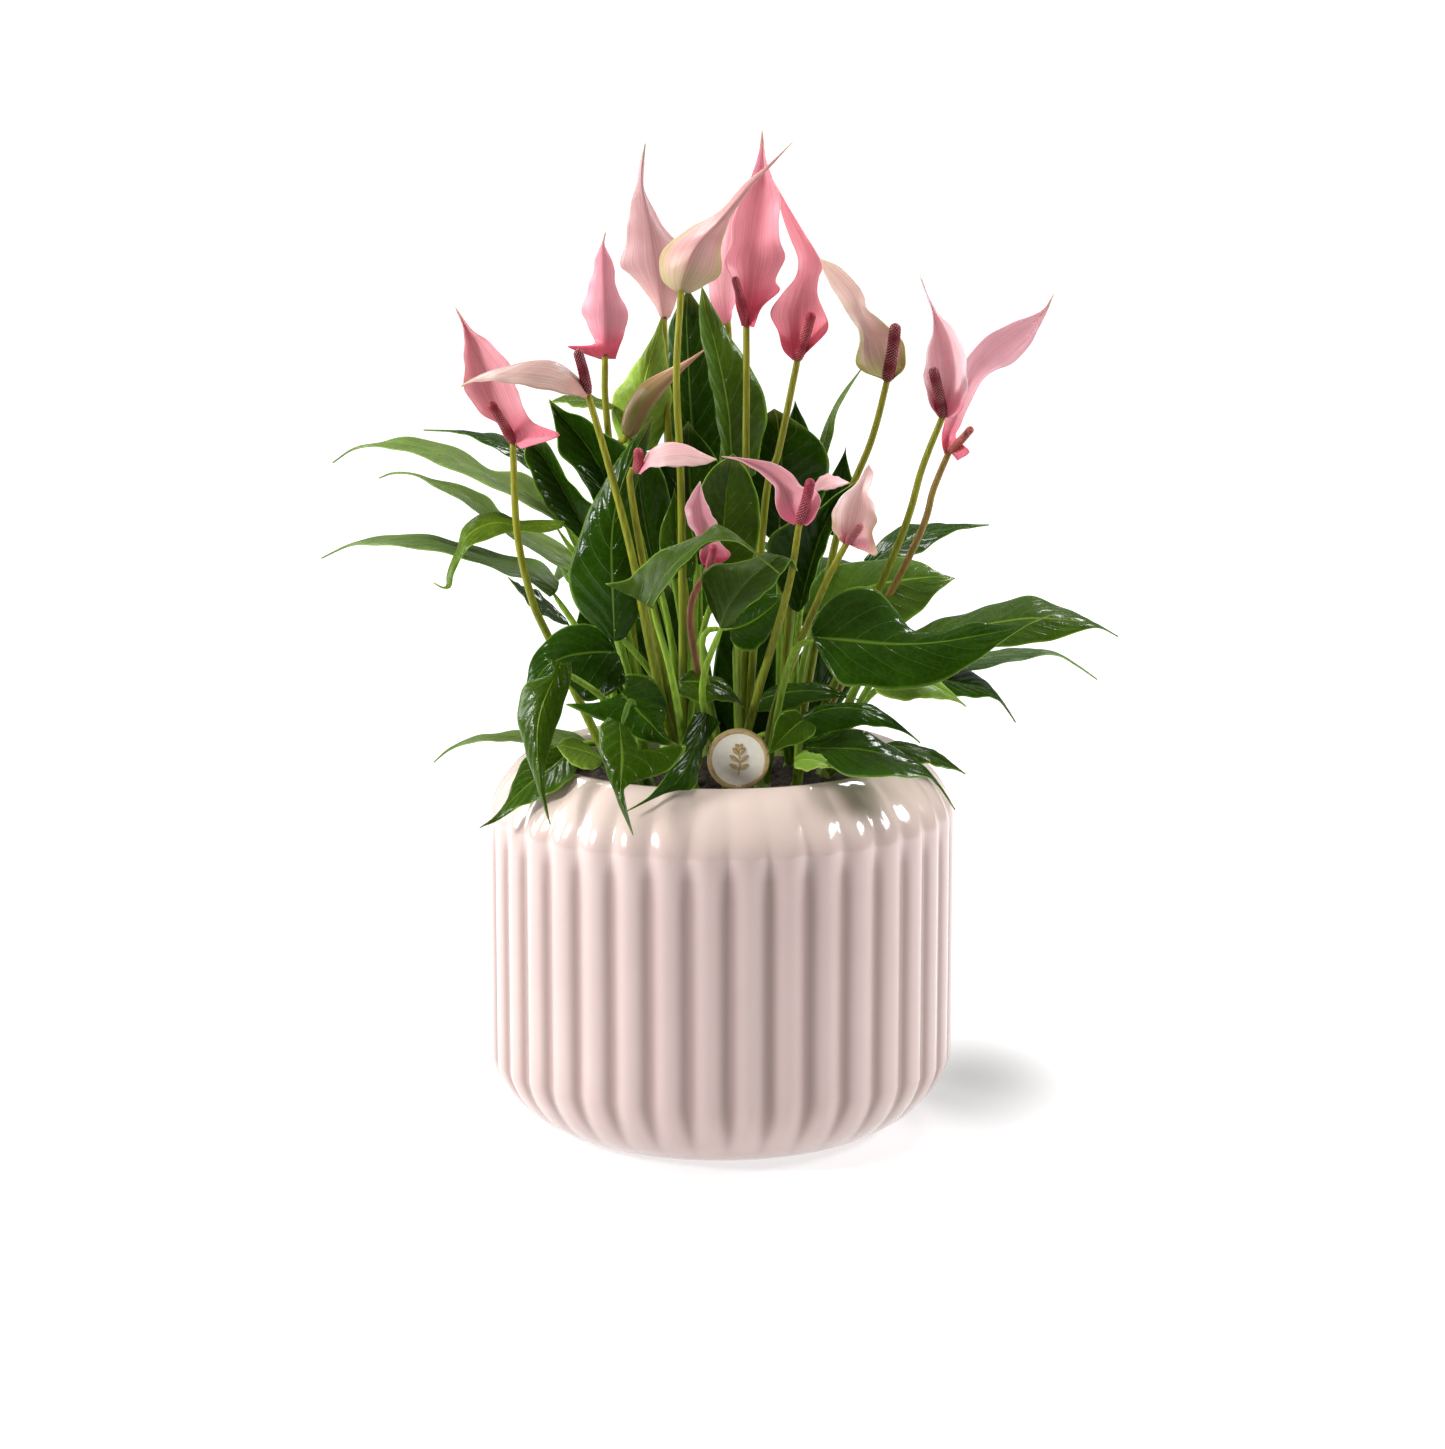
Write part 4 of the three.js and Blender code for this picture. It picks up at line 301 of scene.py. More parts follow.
# Rows across a blade, from its stem to its tip: left edge, midrib and right edge, and the tip alone.
ROWS = {
  "L1": [
    [[-64, 268, 8], [-65, 265, 5], [-66, 263, 2]],
    [[-72, 276, 18], [-74, 271.5, 6], [-76, 269.8, -4]],
    [[-84, 287.5, 26], [-86, 279.5, 7], [-87, 275.7, -8]],
    [[-98, 288.3, 28], [-98, 285, 8], [-98, 281.3, -10]],
    [[-108, 295.5, 30], [-110, 291, 8], [-110, 286.5, -10]],
    [[-119, 300, 28], [-121, 296, 8], [-121, 291.3, -8]],
    [[-133, 303.2, 22], [-133, 299, 8], [-133, 296.2, -4]],
    [[-147, 300.9, 14], [-147, 300, 8], [-147, 299, 3]],
    [[-158, 298.4, 9], [-158, 298.1, 8], [-158, 297.7, 7]],
    [[-167.3, 292, 8]],
  ],
  "L2": [
    [[-62, 250, 40], [-63, 247, 34], [-64, 243.5, 28]],
    [[-72, 259, 50], [-75, 254, 34], [-76, 250.5, 24]],
    [[-85, 265, 54], [-86, 260.5, 34], [-88, 258, 22]],
    [[-95.5, 271, 54], [-97, 267, 35], [-98, 265.5, 22]],
    [[-101, 277.5, 54], [-105, 274, 35], [-106, 271.5, 22]],
    [[-109, 281.2, 52], [-113, 279, 36], [-114, 276.7, 25]],
    [[-121, 284.3, 47], [-123, 283, 37], [-123.5, 282, 30]],
    [[-132, 287.3, 42], [-132, 287, 38], [-132, 286.6, 35]],
    [[-141, 287.8, 39], [-141, 287.6, 38], [-141, 287.2, 37]],
    [[-147.5, 285.3, 38]],
  ],
  "L3": [
    [[-67.5, 266.5, -4], [-68, 265.3, -6], [-68.5, 263.7, -8]],
    [[-77, 267.3, -3], [-77, 264.5, -8], [-77.5, 261.5, -12]],
    [[-86, 266.7, -2], [-87, 264.5, -10], [-88, 262.3, -15]],
    [[-95, 270.2, 0], [-96, 266, -12], [-97, 260, -20]],
    [[-104.5, 269.6, 0], [-104, 264, -13], [-104, 257.6, -21]],
    [[-111, 264, -4], [-109.5, 260, -15], [-108.5, 255.3, -21]],
    [[-113.2, 257, -9], [-112, 255, -17], [-111.6, 252, -21]],
    [[-116.3, 250, -16], [-115, 249, -20], [-114, 247, -22]],
    [[-118.6, 243, -20], [-117.3, 243, -22.5], [-115.9, 242.7, -24]],
    [[-119, 238.5, -22.5], [-118, 238, -23.5], [-117, 237.6, -24.5]],
    [[-121, 237.9, -23.5], [-120.8, 237.6, -24], [-120.6, 237.2, -24.5]],
    [[-124.5, 239.7, -24]],
  ],
  "L4": [
    [[-70, 240, 8], [-71, 236, 2], [-74, 233.5, -2]],
    [[-77, 248.5, 20], [-80, 242, 3], [-84, 240.8, -4]],
    [[-88, 250.8, 26], [-90, 246.5, 4], [-92, 243.2, -8]],
    [[-99, 253.5, 30], [-101, 250, 5], [-102, 247.3, -9]],
    [[-111, 256.8, 30], [-112, 253.8, 6], [-112, 250.6, -9]],
    [[-123, 260, 28], [-124, 257.3, 7], [-124, 253.4, -7]],
    [[-136, 261.1, 24], [-136, 258.7, 8], [-136, 255.2, -3]],
    [[-149, 259.6, 18], [-149, 258, 8], [-149, 256.1, 2]],
    [[-160, 256.9, 11], [-160, 256.4, 8], [-160, 255.8, 6]],
    [[-173, 250.4, 8]],
  ],
  "L6": [
    [[-72, 292, 64], [-74, 288, 60], [-76, 285, 56]],
    [[-84, 301, 74], [-86, 296, 61], [-88, 293, 52]],
    [[-95, 304.2, 78], [-97, 301, 62], [-98, 298.5, 52]],
    [[-105, 305, 74], [-106, 304, 63], [-107, 303, 56]],
    [[-115, 305.9, 68], [-115, 305.6, 64], [-115, 305.2, 60]],
    [[-128, 306.2, 64]],
  ],
  "L7": [
    [[-57, 255, 2], [-54, 252, 2], [-51, 250, 2]],
    [[-66, 263.5, 0], [-58, 262, 3], [-50, 262, 1]],
    [[-73, 270, -2], [-64, 273, 4], [-54, 272, 0]],
    [[-78, 278, -3], [-70, 284, 4], [-62, 280, -2]],
    [[-82, 288, -2], [-76, 294, 4], [-68.5, 289, -2]],
    [[-84.5, 296, 0], [-80.5, 300, 3], [-74, 300, 0]],
    [[-82, 306, 2]],
  ],
  "L8": [
    [[-46, 262, 18], [-41, 264, 17], [-36, 268, 18]],
    [[-54, 274, 14], [-46, 276, 19], [-34, 283, 14]],
    [[-61, 287, 12], [-52, 290, 20], [-38, 296, 13]],
    [[-69.5, 296.5, 13], [-58, 300, 21], [-49.5, 304.5, 14]],
    [[-70.8, 306, 16], [-65, 308.5, 21], [-60, 312.2, 17]],
    [[-72.3, 313, 19], [-70, 313.8, 21], [-67, 314.5, 19]],
    [[-73.8, 319.5, 20]],
  ],
  "L10": [
    [[-42, 298, 44], [-36, 297, 42], [-28, 298, 44]],
    [[-46, 308, 46], [-36, 308, 40], [-23, 309, 46]],
    [[-46.5, 320, 46], [-34.5, 319, 39], [-21, 320, 45]],
    [[-41, 328, 44], [-32, 330, 38], [-22.5, 331, 43]],
    [[-35, 337, 41], [-29.5, 339.5, 37], [-23.5, 341, 40]],
    [[-29.5, 345.5, 38], [-27, 347, 36], [-24.7, 348, 38]],
    [[-25, 355.5, 35]],
  ],
  "L11a": [
    [[-20, 283, 64], [-12, 283, 60], [0, 286, 64]],
    [[-24, 300, 66], [-12, 300, 60], [4, 300, 66]],
    [[-25, 320, 66], [-13, 320, 59], [3, 320, 66]],
    [[-23, 340, 65], [-14, 340, 58], [-2, 340, 64]],
    [[-21, 354, 62], [-14.5, 355, 57], [-6, 354, 61]],
    [[-14, 367, 56]],
  ],
  "L11b": [
    [[-2, 284, 40], [6, 283, 38], [15, 287, 40]],
    [[0, 297, 42], [4.5, 298, 36], [18, 302, 42]],
    [[-2, 313, 42], [3.5, 314, 35], [20, 315, 42]],
    [[-5, 330, 41], [0.5, 331, 34.5], [15, 329.5, 41]],
    [[-8, 345, 39], [-3, 346, 34.5], [5, 345, 39]],
    [[-9.3, 356, 37], [-6.3, 356.5, 34.5], [-1.2, 355.5, 37]],
    [[-8, 368, 35]],
  ],
  "L12": [
    [[18, 262, 49], [25, 258, 47], [33, 262, 47]],
    [[10, 276, 50], [26, 275, 45], [44, 276, 48]],
    [[9, 292, 50], [26, 293, 44], [46.8, 291, 48]],
    [[12, 304, 49], [25, 305, 45], [43.5, 300.5, 47]],
    [[17, 311, 48], [24, 311.5, 46], [34, 309, 47]],
    [[23, 315.5, 47]],
  ],
  "L14": [
    [[41.5, 293, 62], [43, 293, 60], [45, 293, 58]],
    [[43, 303, 60], [45.5, 303, 58], [48.3, 304, 56]],
    [[47, 313, 59], [48.2, 313, 57], [49.7, 313, 55]],
    [[52, 322, 58], [52.8, 321.7, 56.5], [53.7, 321.3, 55]],
    [[60.3, 332.5, 55]],
  ],
  "L16": [
    [[-51, 217.5, -45], [-46, 214, -46], [-41, 216, -45]],
    [[-61, 227, -42], [-46.3, 227, -46], [-35.5, 226, -43]],
    [[-66, 240, -40], [-46.8, 242, -46], [-31, 243, -41]],
    [[-63.5, 252.5, -39], [-47, 256, -45], [-32, 254, -40]],
    [[-58.5, 267, -38], [-46, 268, -44], [-35.5, 266, -39]],
    [[-52.5, 279.5, -37], [-43, 281, -43], [-37.5, 278, -39]],
    [[-45, 292, -37], [-38.5, 293, -41], [-34, 290, -38]],
    [[-37.5, 302.5, -37], [-33.8, 303, -39], [-31, 301, -37.5]],
    [[-29, 312, -38]],
  ],
  "L17": [
    [[-50, 239.5, -60], [-32, 230, -67], [-30, 228.5, -68]],
    [[-40, 241.2, -58], [-29, 235, -69], [-26.5, 234.5, -76]],
    [[-35.5, 246, -58], [-25, 241.5, -70], [-21, 242, -84]],
    [[-27.5, 252.5, -59], [-18.5, 248.5, -72], [-15.5, 248.3, -88]],
    [[-17.5, 257.3, -60], [-11.5, 254.3, -74], [-9.5, 254.5, -88]],
    [[-8, 260.5, -62], [-4.5, 258.8, -76], [-3, 258.3, -86]],
    [[-1.8, 265.5, -64], [2, 261.3, -77], [5, 257.8, -84]],
    [[8, 259.3, -70], [9.5, 257.8, -77.5], [11, 255.5, -82]],
    [[17, 251.3, -74], [17.3, 250.8, -77], [17.5, 250.2, -79]],
    [[25.5, 243.7, -76]],
  ],
  "L18": [
    [[-6, 232, -60], [0, 220, -62], [5, 222, -64]],
    [[-8.5, 242, -56], [4, 230, -64], [13, 230, -72]],
    [[-3, 247.5, -53], [12, 240, -66], [22, 237.5, -76]],
    [[10, 248.8, -54], [20, 246.5, -68], [27, 244.5, -76]],
    [[21, 252.5, -58], [27, 251, -70], [31, 249.5, -75]],
    [[33.3, 245, -72]],
  ],
  "L20": [
    [[-6, 240, -15], [0, 237, -15], [8, 240, -16]],
    [[-9, 252, -16], [0.5, 252, -13], [15, 252, -17]],
    [[-9.5, 266, -16], [1.5, 266, -12], [17, 266, -17]],
    [[-9, 279, -16], [2.5, 279, -12], [15.5, 279, -17]],
    [[-4.5, 288.5, -15], [4, 288.5, -13], [11.5, 288, -16]],
    [[5.5, 296, -15]],
  ],
  "L24": [
    [[30, 229, -12], [34, 227, -12], [38, 232, -16]],
    [[24, 240, -13], [37, 239, -10], [41, 243, -18]],
    [[20, 256, -14], [40, 250, -9], [44.5, 253, -18]],
    [[27, 264.5, -14], [43.5, 261, -8.5], [48, 262, -17]],
    [[40, 270.5, -12], [48, 270.5, -8.5], [52, 271, -15]],
    [[49, 277.5, -11], [52.5, 277.5, -9], [55, 277.5, -12]],
    [[60.5, 285, -10]],
  ],
  "L25": [
    [[37, 228, 18], [38, 223, 14], [42, 219, 8]],
    [[40, 240, 30], [47, 230, 15], [54, 222, 4]],
    [[48, 247.3, 36], [58, 235.5, 17], [66, 221, 2]],
    [[62, 248.8, 40], [69, 239, 19], [77, 221, 0]],
    [[76, 250.6, 40], [81, 241, 20], [86, 226.5, 4]],
    [[86, 249, 36], [91, 242, 21], [93, 234.5, 10]],
    [[93.5, 243.8, 28], [97, 242.3, 22], [98.5, 239.3, 17]],
    [[101.5, 241.6, 22]],
  ],
  "L26": [
    [[39.5, 220, -54], [40, 216, -55], [41.5, 212.5, -56]],
    [[45, 230, -46], [47, 215, -57], [46.5, 202.5, -64]],
    [[55, 237.3, -40], [55, 214.3, -59], [53, 194.5, -70]],
    [[66.5, 237, -38], [65, 213.2, -60], [64, 194, -73]],
    [[76, 228, -42], [76, 212.6, -60], [76, 192.5, -74]],
    [[84.5, 217.8, -48], [86, 212.8, -60], [88, 193.7, -72]],
    [[96, 218.3, -50], [97, 213.8, -59], [99, 197.6, -69]],
    [[110, 222, -50], [110, 216, -57], [110, 204.5, -65]],
    [[124, 221.1, -51], [123, 218.5, -55], [121.5, 213, -60]],
    [[134, 222.3, -52], [133.5, 222, -53], [133, 221, -55]],
    [[145.5, 226.3, -52]],
  ],
  "L27": [
    [[84, 218, -2], [85, 212, -10], [88, 207, -18]],
    [[92, 222.5, 6], [97, 217, -11], [102, 208, -26]],
    [[105, 226, 10], [109, 220, -12], [115, 210.5, -30]],
    [[119, 230.2, 12], [122, 222.5, -13], [127, 212, -30]],
    [[133, 233.8, 10], [135, 224, -14], [139, 213.5, -28]],
    [[147, 229.5, 4], [148, 223.5, -15], [150, 216, -25]],
    [[158, 224.2, -5], [159, 222, -16], [160, 219.7, -22]],
    [[166, 219.9, -12], [166, 219.6, -17], [166.5, 219.2, -19]],
    [[172.7, 216, -18]],
  ],
  "L28": [
    [[80, 208, 18], [81, 204.5, 14], [82, 201, 10]],
    [[92, 208, 26], [95, 205, 14], [97, 198.5, 4]],
    [[105, 206.5, 30], [108, 205.5, 14], [110, 201, 0]],
    [[118, 209.7, 30], [120, 207.5, 14], [122, 203.8, 0]],
    [[133, 210.7, 26], [134, 209, 14], [134, 206.3, 4]],
    [[146, 208.6, 19], [146, 208.2, 14], [146, 207.7, 9]],
    [[155, 203.6, 16], [155, 203.3, 14], [155, 202.9, 12]],
    [[164, 197, 14]],
  ],
  "L29": [
    [[80, 205, -16], [82, 200, -22], [84, 195, -26]],
    [[92, 204, -10], [94, 197.5, -24], [97, 191, -36]],
    [[104, 202, -8], [105, 195, -26], [107, 189.3, -40]],
    [[113, 198.5, -12], [113.5, 193.5, -28], [115, 189.2, -38]],
    [[119.5, 191.3, -20], [119.8, 189.8, -29], [120.3, 188.3, -34]],
    [[124.3, 185.2, -27], [124.2, 184.9, -30], [124, 184.5, -32]],
    [[128.7, 178, -30]],
  ],
  "L32": [
    [[62, 250, 64], [63, 246, 60], [66, 246, 54]],
    [[69, 257.5, 72], [72, 253.5, 61], [75, 250.5, 48]],
    [[77, 264, 78], [81, 258, 62], [84, 251.8, 44]],
    [[88, 265.5, 77], [90, 261.5, 62], [91, 256, 48]],
    [[99, 265.3, 71], [99.5, 263.8, 62], [100, 261.8, 54]],
    [[116, 265, 62]],
  ],
  "L33": [
    [[36, 170, -46], [37, 167, -52], [38.5, 164.5, -58]],
    [[44, 172.3, -44], [46, 166.5, -56], [47, 159.3, -70]],
    [[55, 175.2, -46], [57, 166.3, -60], [57, 153.8, -82]],
    [[66, 172.7, -48], [68, 164.7, -63], [69, 154, -86]],
    [[76.5, 166, -52], [79, 160.8, -66], [80, 153.7, -84]],
    [[86.5, 160.3, -60], [88, 156.9, -69], [90, 153.4, -78]],
    [[95.5, 150.3, -69], [95.7, 149.9, -71], [95.5, 149.2, -73]],
    [[102.7, 139, -72]],
  ],
  "L40": [
    [[-12, 182, -58], [-6, 182, -54], [0, 178, -56]],
    [[-16, 172, -66], [-10, 171, -63], [-6.8, 168, -60]],
    [[-19.5, 162, -76], [-13.5, 161, -73], [-9.2, 157, -70]],
    [[-24.5, 153.5, -84], [-19, 152, -82], [-12, 148.5, -84]],
    [[-31, 145.3, -88], [-27.5, 145.7, -86], [-23.5, 147, -84]],
    [[-41, 138.5, -90]],
  ],
  "L41": [
    [[-49, 180.3, -80], [-44, 178, -84], [-40, 175.5, -86]],
    [[-52.5, 176, -84], [-43.5, 170, -90], [-32, 163.5, -90]],
    [[-53, 168, -88], [-43, 162.5, -95], [-15.5, 167.7, -86]],
    [[-51, 159, -93], [-43.3, 156, -99], [-21.5, 157.5, -92]],
    [[-48.5, 152.5, -97], [-43.5, 150.5, -101], [-33, 153.2, -97]],
    [[-46.5, 147, -100], [-43.7, 146, -103], [-41.8, 150, -101]],
    [[-44, 140, -104], [-42.5, 140, -106], [-41.2, 140, -105]],
    [[-38.3, 127.5, -110]],
  ],
  "L42": [
    [[-60, 184, -66], [-43, 191, -62], [-42, 199, -52]],
    [[-67.5, 186, -68], [-39, 186.5, -66], [-33, 199, -50]],
    [[-55, 180, -70], [-35, 182, -69], [-25.5, 192.5, -54]],
    [[-45, 176, -72], [-31, 178, -72], [-23.5, 184, -60]],
    [[-36.5, 171, -75], [-27, 173.5, -75], [-25.3, 178, -66]],
    [[-27, 168.2, -77], [-23.5, 170.3, -77], [-23.5, 171.5, -73]],
    [[-18.8, 167.8, -79]],
  ],
  "L43": [
    [[-52, 219.5, -28], [-45, 209, -30], [-41, 196, -36]],
    [[-60, 221.8, -26], [-54, 209, -34], [-49, 190, -44]],
    [[-70, 219, -28], [-63, 208, -37], [-58, 187.5, -50]],
    [[-78.5, 211.5, -32], [-70, 206, -41], [-64, 192, -52]],
    [[-83.5, 202, -38], [-76.5, 202, -45], [-71, 199, -52]],
    [[-84.5, 192.5, -44], [-82, 193, -49], [-80, 194, -52]],
    [[-83.5, 184, -49], [-82.3, 184, -51], [-81.2, 184, -52]],
    [[-75.8, 171.3, -54]],
  ],
  "L44": [
    [[-76.5, 207, -56], [-69.5, 204.5, -58], [-65, 205, -54]],
    [[-72.5, 200.5, -60], [-71.5, 199.5, -61], [-64.8, 200, -57]],
    [[-84.5, 195, -58], [-75, 192, -65], [-67, 190.5, -61]],
    [[-88.5, 184, -61], [-78.5, 182, -69], [-69.8, 181.5, -65]],
    [[-87, 172, -66], [-80, 171.5, -73], [-73.3, 171, -70]],
    [[-83.8, 160.5, -72], [-79.7, 160.5, -77], [-76.3, 160, -75]],
    [[-80.3, 149, -78], [-78.7, 149.5, -81], [-77, 149, -80]],
    [[-77.5, 140.5, -81.5], [-76.8, 140.5, -83], [-76, 140.5, -82.5]],
    [[-74.7, 132.5, -84]],
  ],
  "L45": [
    [[-72, 167.5, -34], [-66, 165, -36], [-62, 160, -42]],
    [[-79, 165, -36], [-73, 158.5, -44], [-65, 153.5, -58]],
    [[-86.5, 161, -40], [-80, 153.5, -50], [-72, 148, -64]],
    [[-90.7, 151.5, -46], [-86, 148.5, -52], [-79.5, 144, -62]],
    [[-94.3, 142, -52], [-92.5, 142.3, -54], [-88.5, 140, -60]],
    [[-99.5, 135.3, -55], [-99, 135.5, -56], [-98, 134, -57]],
    [[-105.7, 130.8, -56]],
  ],
  "L46": [
    [[-57, 169, 24], [-58, 167, 20], [-60, 165.5, 16]],
    [[-67, 174.5, 30], [-70, 170.5, 20], [-72, 167.5, 10]],
    [[-80, 175, 32], [-83, 171.5, 20], [-84, 168.8, 9]],
    [[-94, 173.8, 30], [-96, 171.7, 20], [-97, 169.8, 12]],
    [[-107, 171.9, 25], [-108, 170.7, 20], [-108, 169.1, 15]],
    [[-118, 166.8, 21.5], [-118, 166.5, 20], [-117.5, 166, 18.5]],
    [[-125.5, 160.2, 20]],
  ],
  "L47": [
    [[-53, 163.5, -50], [-52, 162, -52], [-51.5, 160, -52]],
    [[-58, 168, -46], [-57, 164.5, -50], [-56, 157, -55]],
    [[-64.5, 171.3, -46], [-64, 166.5, -50], [-63.5, 158.5, -55]],
    [[-69, 170.3, -48], [-68.5, 167.5, -50], [-68.5, 163, -53]],
    [[-71.5, 167.5, -50]],
  ],
  "F01": [
    [[-91, 301, -27], [-89.5, 301, -26], [-86, 298, -30]],
    [[-93, 304, -28], [-90, 304, -26], [-69, 304, -38]],
    [[-96, 309, -29], [-92, 309, -25.5], [-81, 309.5, -33]],
    [[-104, 314.5, -31], [-95.5, 316, -25], [-85, 317, -32]],
    [[-110, 324, -31], [-99.5, 325, -24], [-88, 325, -31]],
    [[-110, 335, -29], [-103, 334, -23], [-91, 335, -30]],
    [[-110, 345, -26], [-107, 343.5, -22], [-99, 344, -26]],
    [[-110.5, 351, -23], [-109.5, 350, -21.5], [-106.5, 349.5, -23]],
    [[-113.5, 359, -20]],
  ],
  "F02": [
    [[-57.5, 321, -46], [-57, 321.5, -52], [-58, 320, -56]],
    [[-62, 327, -42], [-62, 329, -53], [-65, 321.5, -64]],
    [[-72, 333, -40], [-71, 335, -54], [-75, 323.5, -68]],
    [[-82, 333.5, -42], [-81, 335.5, -56], [-85, 325.5, -69]],
    [[-92, 332, -46], [-91, 333.5, -57], [-95, 327, -67]],
    [[-101, 330, -51], [-100, 331, -58], [-103, 327.3, -63]],
    [[-107, 327.8, -55], [-106.5, 328, -58], [-107.5, 326.6, -60]],
    [[-111.5, 325, -58]],
  ],
  "F03": [
    [[-52, 337, 26], [-49.7, 337, 24], [-45, 336.8, 26]],
    [[-66, 342.3, 20], [-49.6, 341, 24], [-43.6, 341.5, 26]],
    [[-54, 343.5, 27], [-49.6, 344, 24], [-42, 346, 28]],
    [[-57.5, 352, 31], [-49.8, 352, 23.5], [-40, 353, 31]],
    [[-59.3, 358, 31], [-49.9, 358, 23], [-40.8, 360, 31]],
    [[-56.8, 366.5, 29], [-50, 366, 23], [-44.6, 366.5, 29]],
    [[-54.5, 374, 27], [-50.2, 374, 23], [-45.3, 374, 27]],
    [[-53.5, 380, 25], [-50.2, 380, 22.5], [-46.9, 380, 25]],
    [[-50.9, 386, 22.5], [-50.2, 386, 22], [-49.7, 386, 22.5]],
    [[-49, 391.5, 21]],
  ],
  "F04": [
    [[-25.5, 354, 46], [-24.3, 353, 45], [-21.5, 355, 46]],
    [[-30, 363, 50], [-25.6, 362, 45], [-19, 362, 50]],
    [[-39, 373, 54], [-27, 372, 45], [-16, 371, 54]],
    [[-43, 378, 55], [-28.2, 380, 45], [-15, 380, 55]],
    [[-40.3, 387, 53], [-29.5, 388, 45.5], [-18.5, 386, 53]],
    [[-39.5, 396, 51], [-31, 397, 46], [-25.3, 395, 51]],
    [[-38, 404, 50], [-32.6, 405, 47], [-30, 403, 50]],
    [[-35.6, 412, 49.5], [-33.6, 412, 48], [-32.9, 410, 49.5]],
    [[-34.3, 420, 50], [-33.4, 420, 49], [-32.6, 420, 50]],
    [[-32, 429, 50]],
  ],
  "F05": [
    [[-20, 366, -5], [-17, 365.5, -6], [-13, 365, -5]],
    [[-24.5, 370.5, 1], [-16.5, 370, -9], [-7, 368, -1]],
    [[-26.5, 376, 4], [-14.5, 376, -12], [-1.2, 372, 2]],
    [[-25, 382, 6], [-12, 382, -13], [0.3, 378, 3]],
    [[-20, 388, 6], [-8.5, 387.5, -13], [0.3, 385, 2]],
    [[-12.5, 393.5, 4], [-4.5, 391.5, -12], [1.5, 391, -2]],
    [[-5, 396.5, 0], [0, 396.5, -10], [4.5, 397.5, -6]],
    [[3, 403.5, -4], [5.5, 403, -9], [8.3, 403.5, -8]],
    [[11, 412.3, -7], [12.5, 411.5, -9], [14, 411.5, -9]],
    [[19.5, 419, -9], [20, 418.5, -9.5], [20.8, 418.2, -9.6]],
    [[30.5, 429, -10]],
  ],
  "F06": [
    [[9, 351, 16], [11, 351, 18], [14, 350.5, 14]],
    [[7.5, 357, 13], [11.8, 356, 18], [17.5, 359, 14]],
    [[6.5, 362, 13], [12.6, 361, 18.5], [25.5, 366, 8]],
    [[4.5, 372, 13], [13.8, 370, 19.5], [23.3, 371, 14]],
    [[1.8, 379, 14], [15, 379, 20.5], [27.8, 380, 15]],
    [[4.5, 387, 16], [16.2, 388, 21], [25.2, 387, 16]],
    [[5, 396, 17], [17.1, 397, 21.5], [25, 397, 17]],
    [[8.5, 405, 18], [17.8, 406, 22], [25, 406.5, 18]],
    [[12.5, 414, 19], [18.1, 415, 22], [21.8, 414.5, 19.5]],
    [[16, 424, 21.5], [18.2, 423, 22.5], [18.9, 423, 21.5]],
    [[17.5, 434.5, 24]],
  ],
  "F07": [
    [[31, 336.5, 10], [33, 336.5, 12], [36, 339, 9]],
    [[26.5, 341.5, 8], [33.4, 342, 13], [41.5, 343.7, 7]],
    [[24.3, 349, 8], [33.8, 349, 15], [45.8, 350, 7]],
    [[21.5, 357, 12], [34.3, 357, 18], [44.6, 357, 11]],
    [[26, 364.5, 18], [35.5, 365, 22], [41.3, 365, 18]],
    [[32, 372, 24], [37, 372.5, 26], [42, 371.5, 24]],
    [[33, 379, 28], [37.5, 379, 31], [43.6, 376.5, 28]],
    [[30, 388, 32], [35, 387, 35], [40, 384, 33]],
    [[26.8, 396, 36], [30.3, 396, 38], [34, 393.5, 37]],
    [[24, 406, 40], [25.3, 406, 41], [26.8, 405.5, 41]],
    [[19.5, 418, 46]],
  ],
  "F08": [
    [[68, 329.2, 28], [71.5, 327.5, 30], [74, 328, 28]],
    [[62.5, 330.5, 27], [70, 330.5, 33], [78, 332, 27]],
    [[58.6, 334.5, 27], [68.5, 335, 36], [79.5, 336.5, 27]],
    [[58.2, 339.5, 29], [66.8, 340.5, 38], [79, 341.5, 28]],
    [[60, 345, 32], [65, 346, 40], [76, 347, 31]],
    [[59, 349, 36], [62.8, 351, 42], [70, 352.5, 36]],
    [[55.5, 354.5, 42], [60, 357.5, 45], [63, 358, 42]],
    [[50.8, 362, 46], [56.5, 364.5, 48], [61.3, 364, 46]],
    [[46.8, 368.5, 49], [51.5, 370.5, 51], [56.5, 371, 49]],
    [[44, 374, 52], [46.5, 375.5, 53], [50, 376.8, 52]],
    [[42.5, 380, 55]],
  ],
  "F09": [
    [[93.5, 312, -2], [95.5, 312, 0], [99, 311, -3]],
    [[91, 316, -5], [96.2, 316.5, 1], [104, 315.5, -6]],
    [[88.6, 321.5, -7], [96.8, 322, 2], [105.5, 321.5, -8]],
    [[87.3, 329, -7], [97, 329.5, 3], [105.7, 329, -8]],
    [[88, 337, -6], [95.8, 338, 3.5], [105, 337.5, -7]],
    [[90, 346, -4], [93.7, 346, 3.5], [102.3, 346, -5]],
    [[91, 353, -1], [91.9, 353, 3.5], [97, 352.8, -1.5]],
    [[90, 358.5, 2], [90.5, 358.5, 3.5], [92.3, 358, 2]],
    [[87.8, 365, 3.5], [88, 365, 4], [88.4, 365, 3.6]],
    [[85.3, 372.5, 5]],
  ],
  "F10": [
    [[96.5, 296, 20], [98.5, 297, 22], [102, 293, 16]],
    [[95.5, 300, 20], [98.3, 300, 22], [107.5, 297, 12]],
    [[95.3, 305, 21], [98.5, 305, 23], [101.2, 303, 20]],
    [[97, 312, 23], [100.5, 312, 26], [103.5, 309, 23]],
    [[99.5, 320, 26], [103.5, 320, 29], [106.5, 316, 26]],
    [[102.5, 329, 28], [107.5, 328, 31], [111.5, 326.5, 28]],
    [[106, 338, 30], [113, 335, 33], [118, 332, 30]],
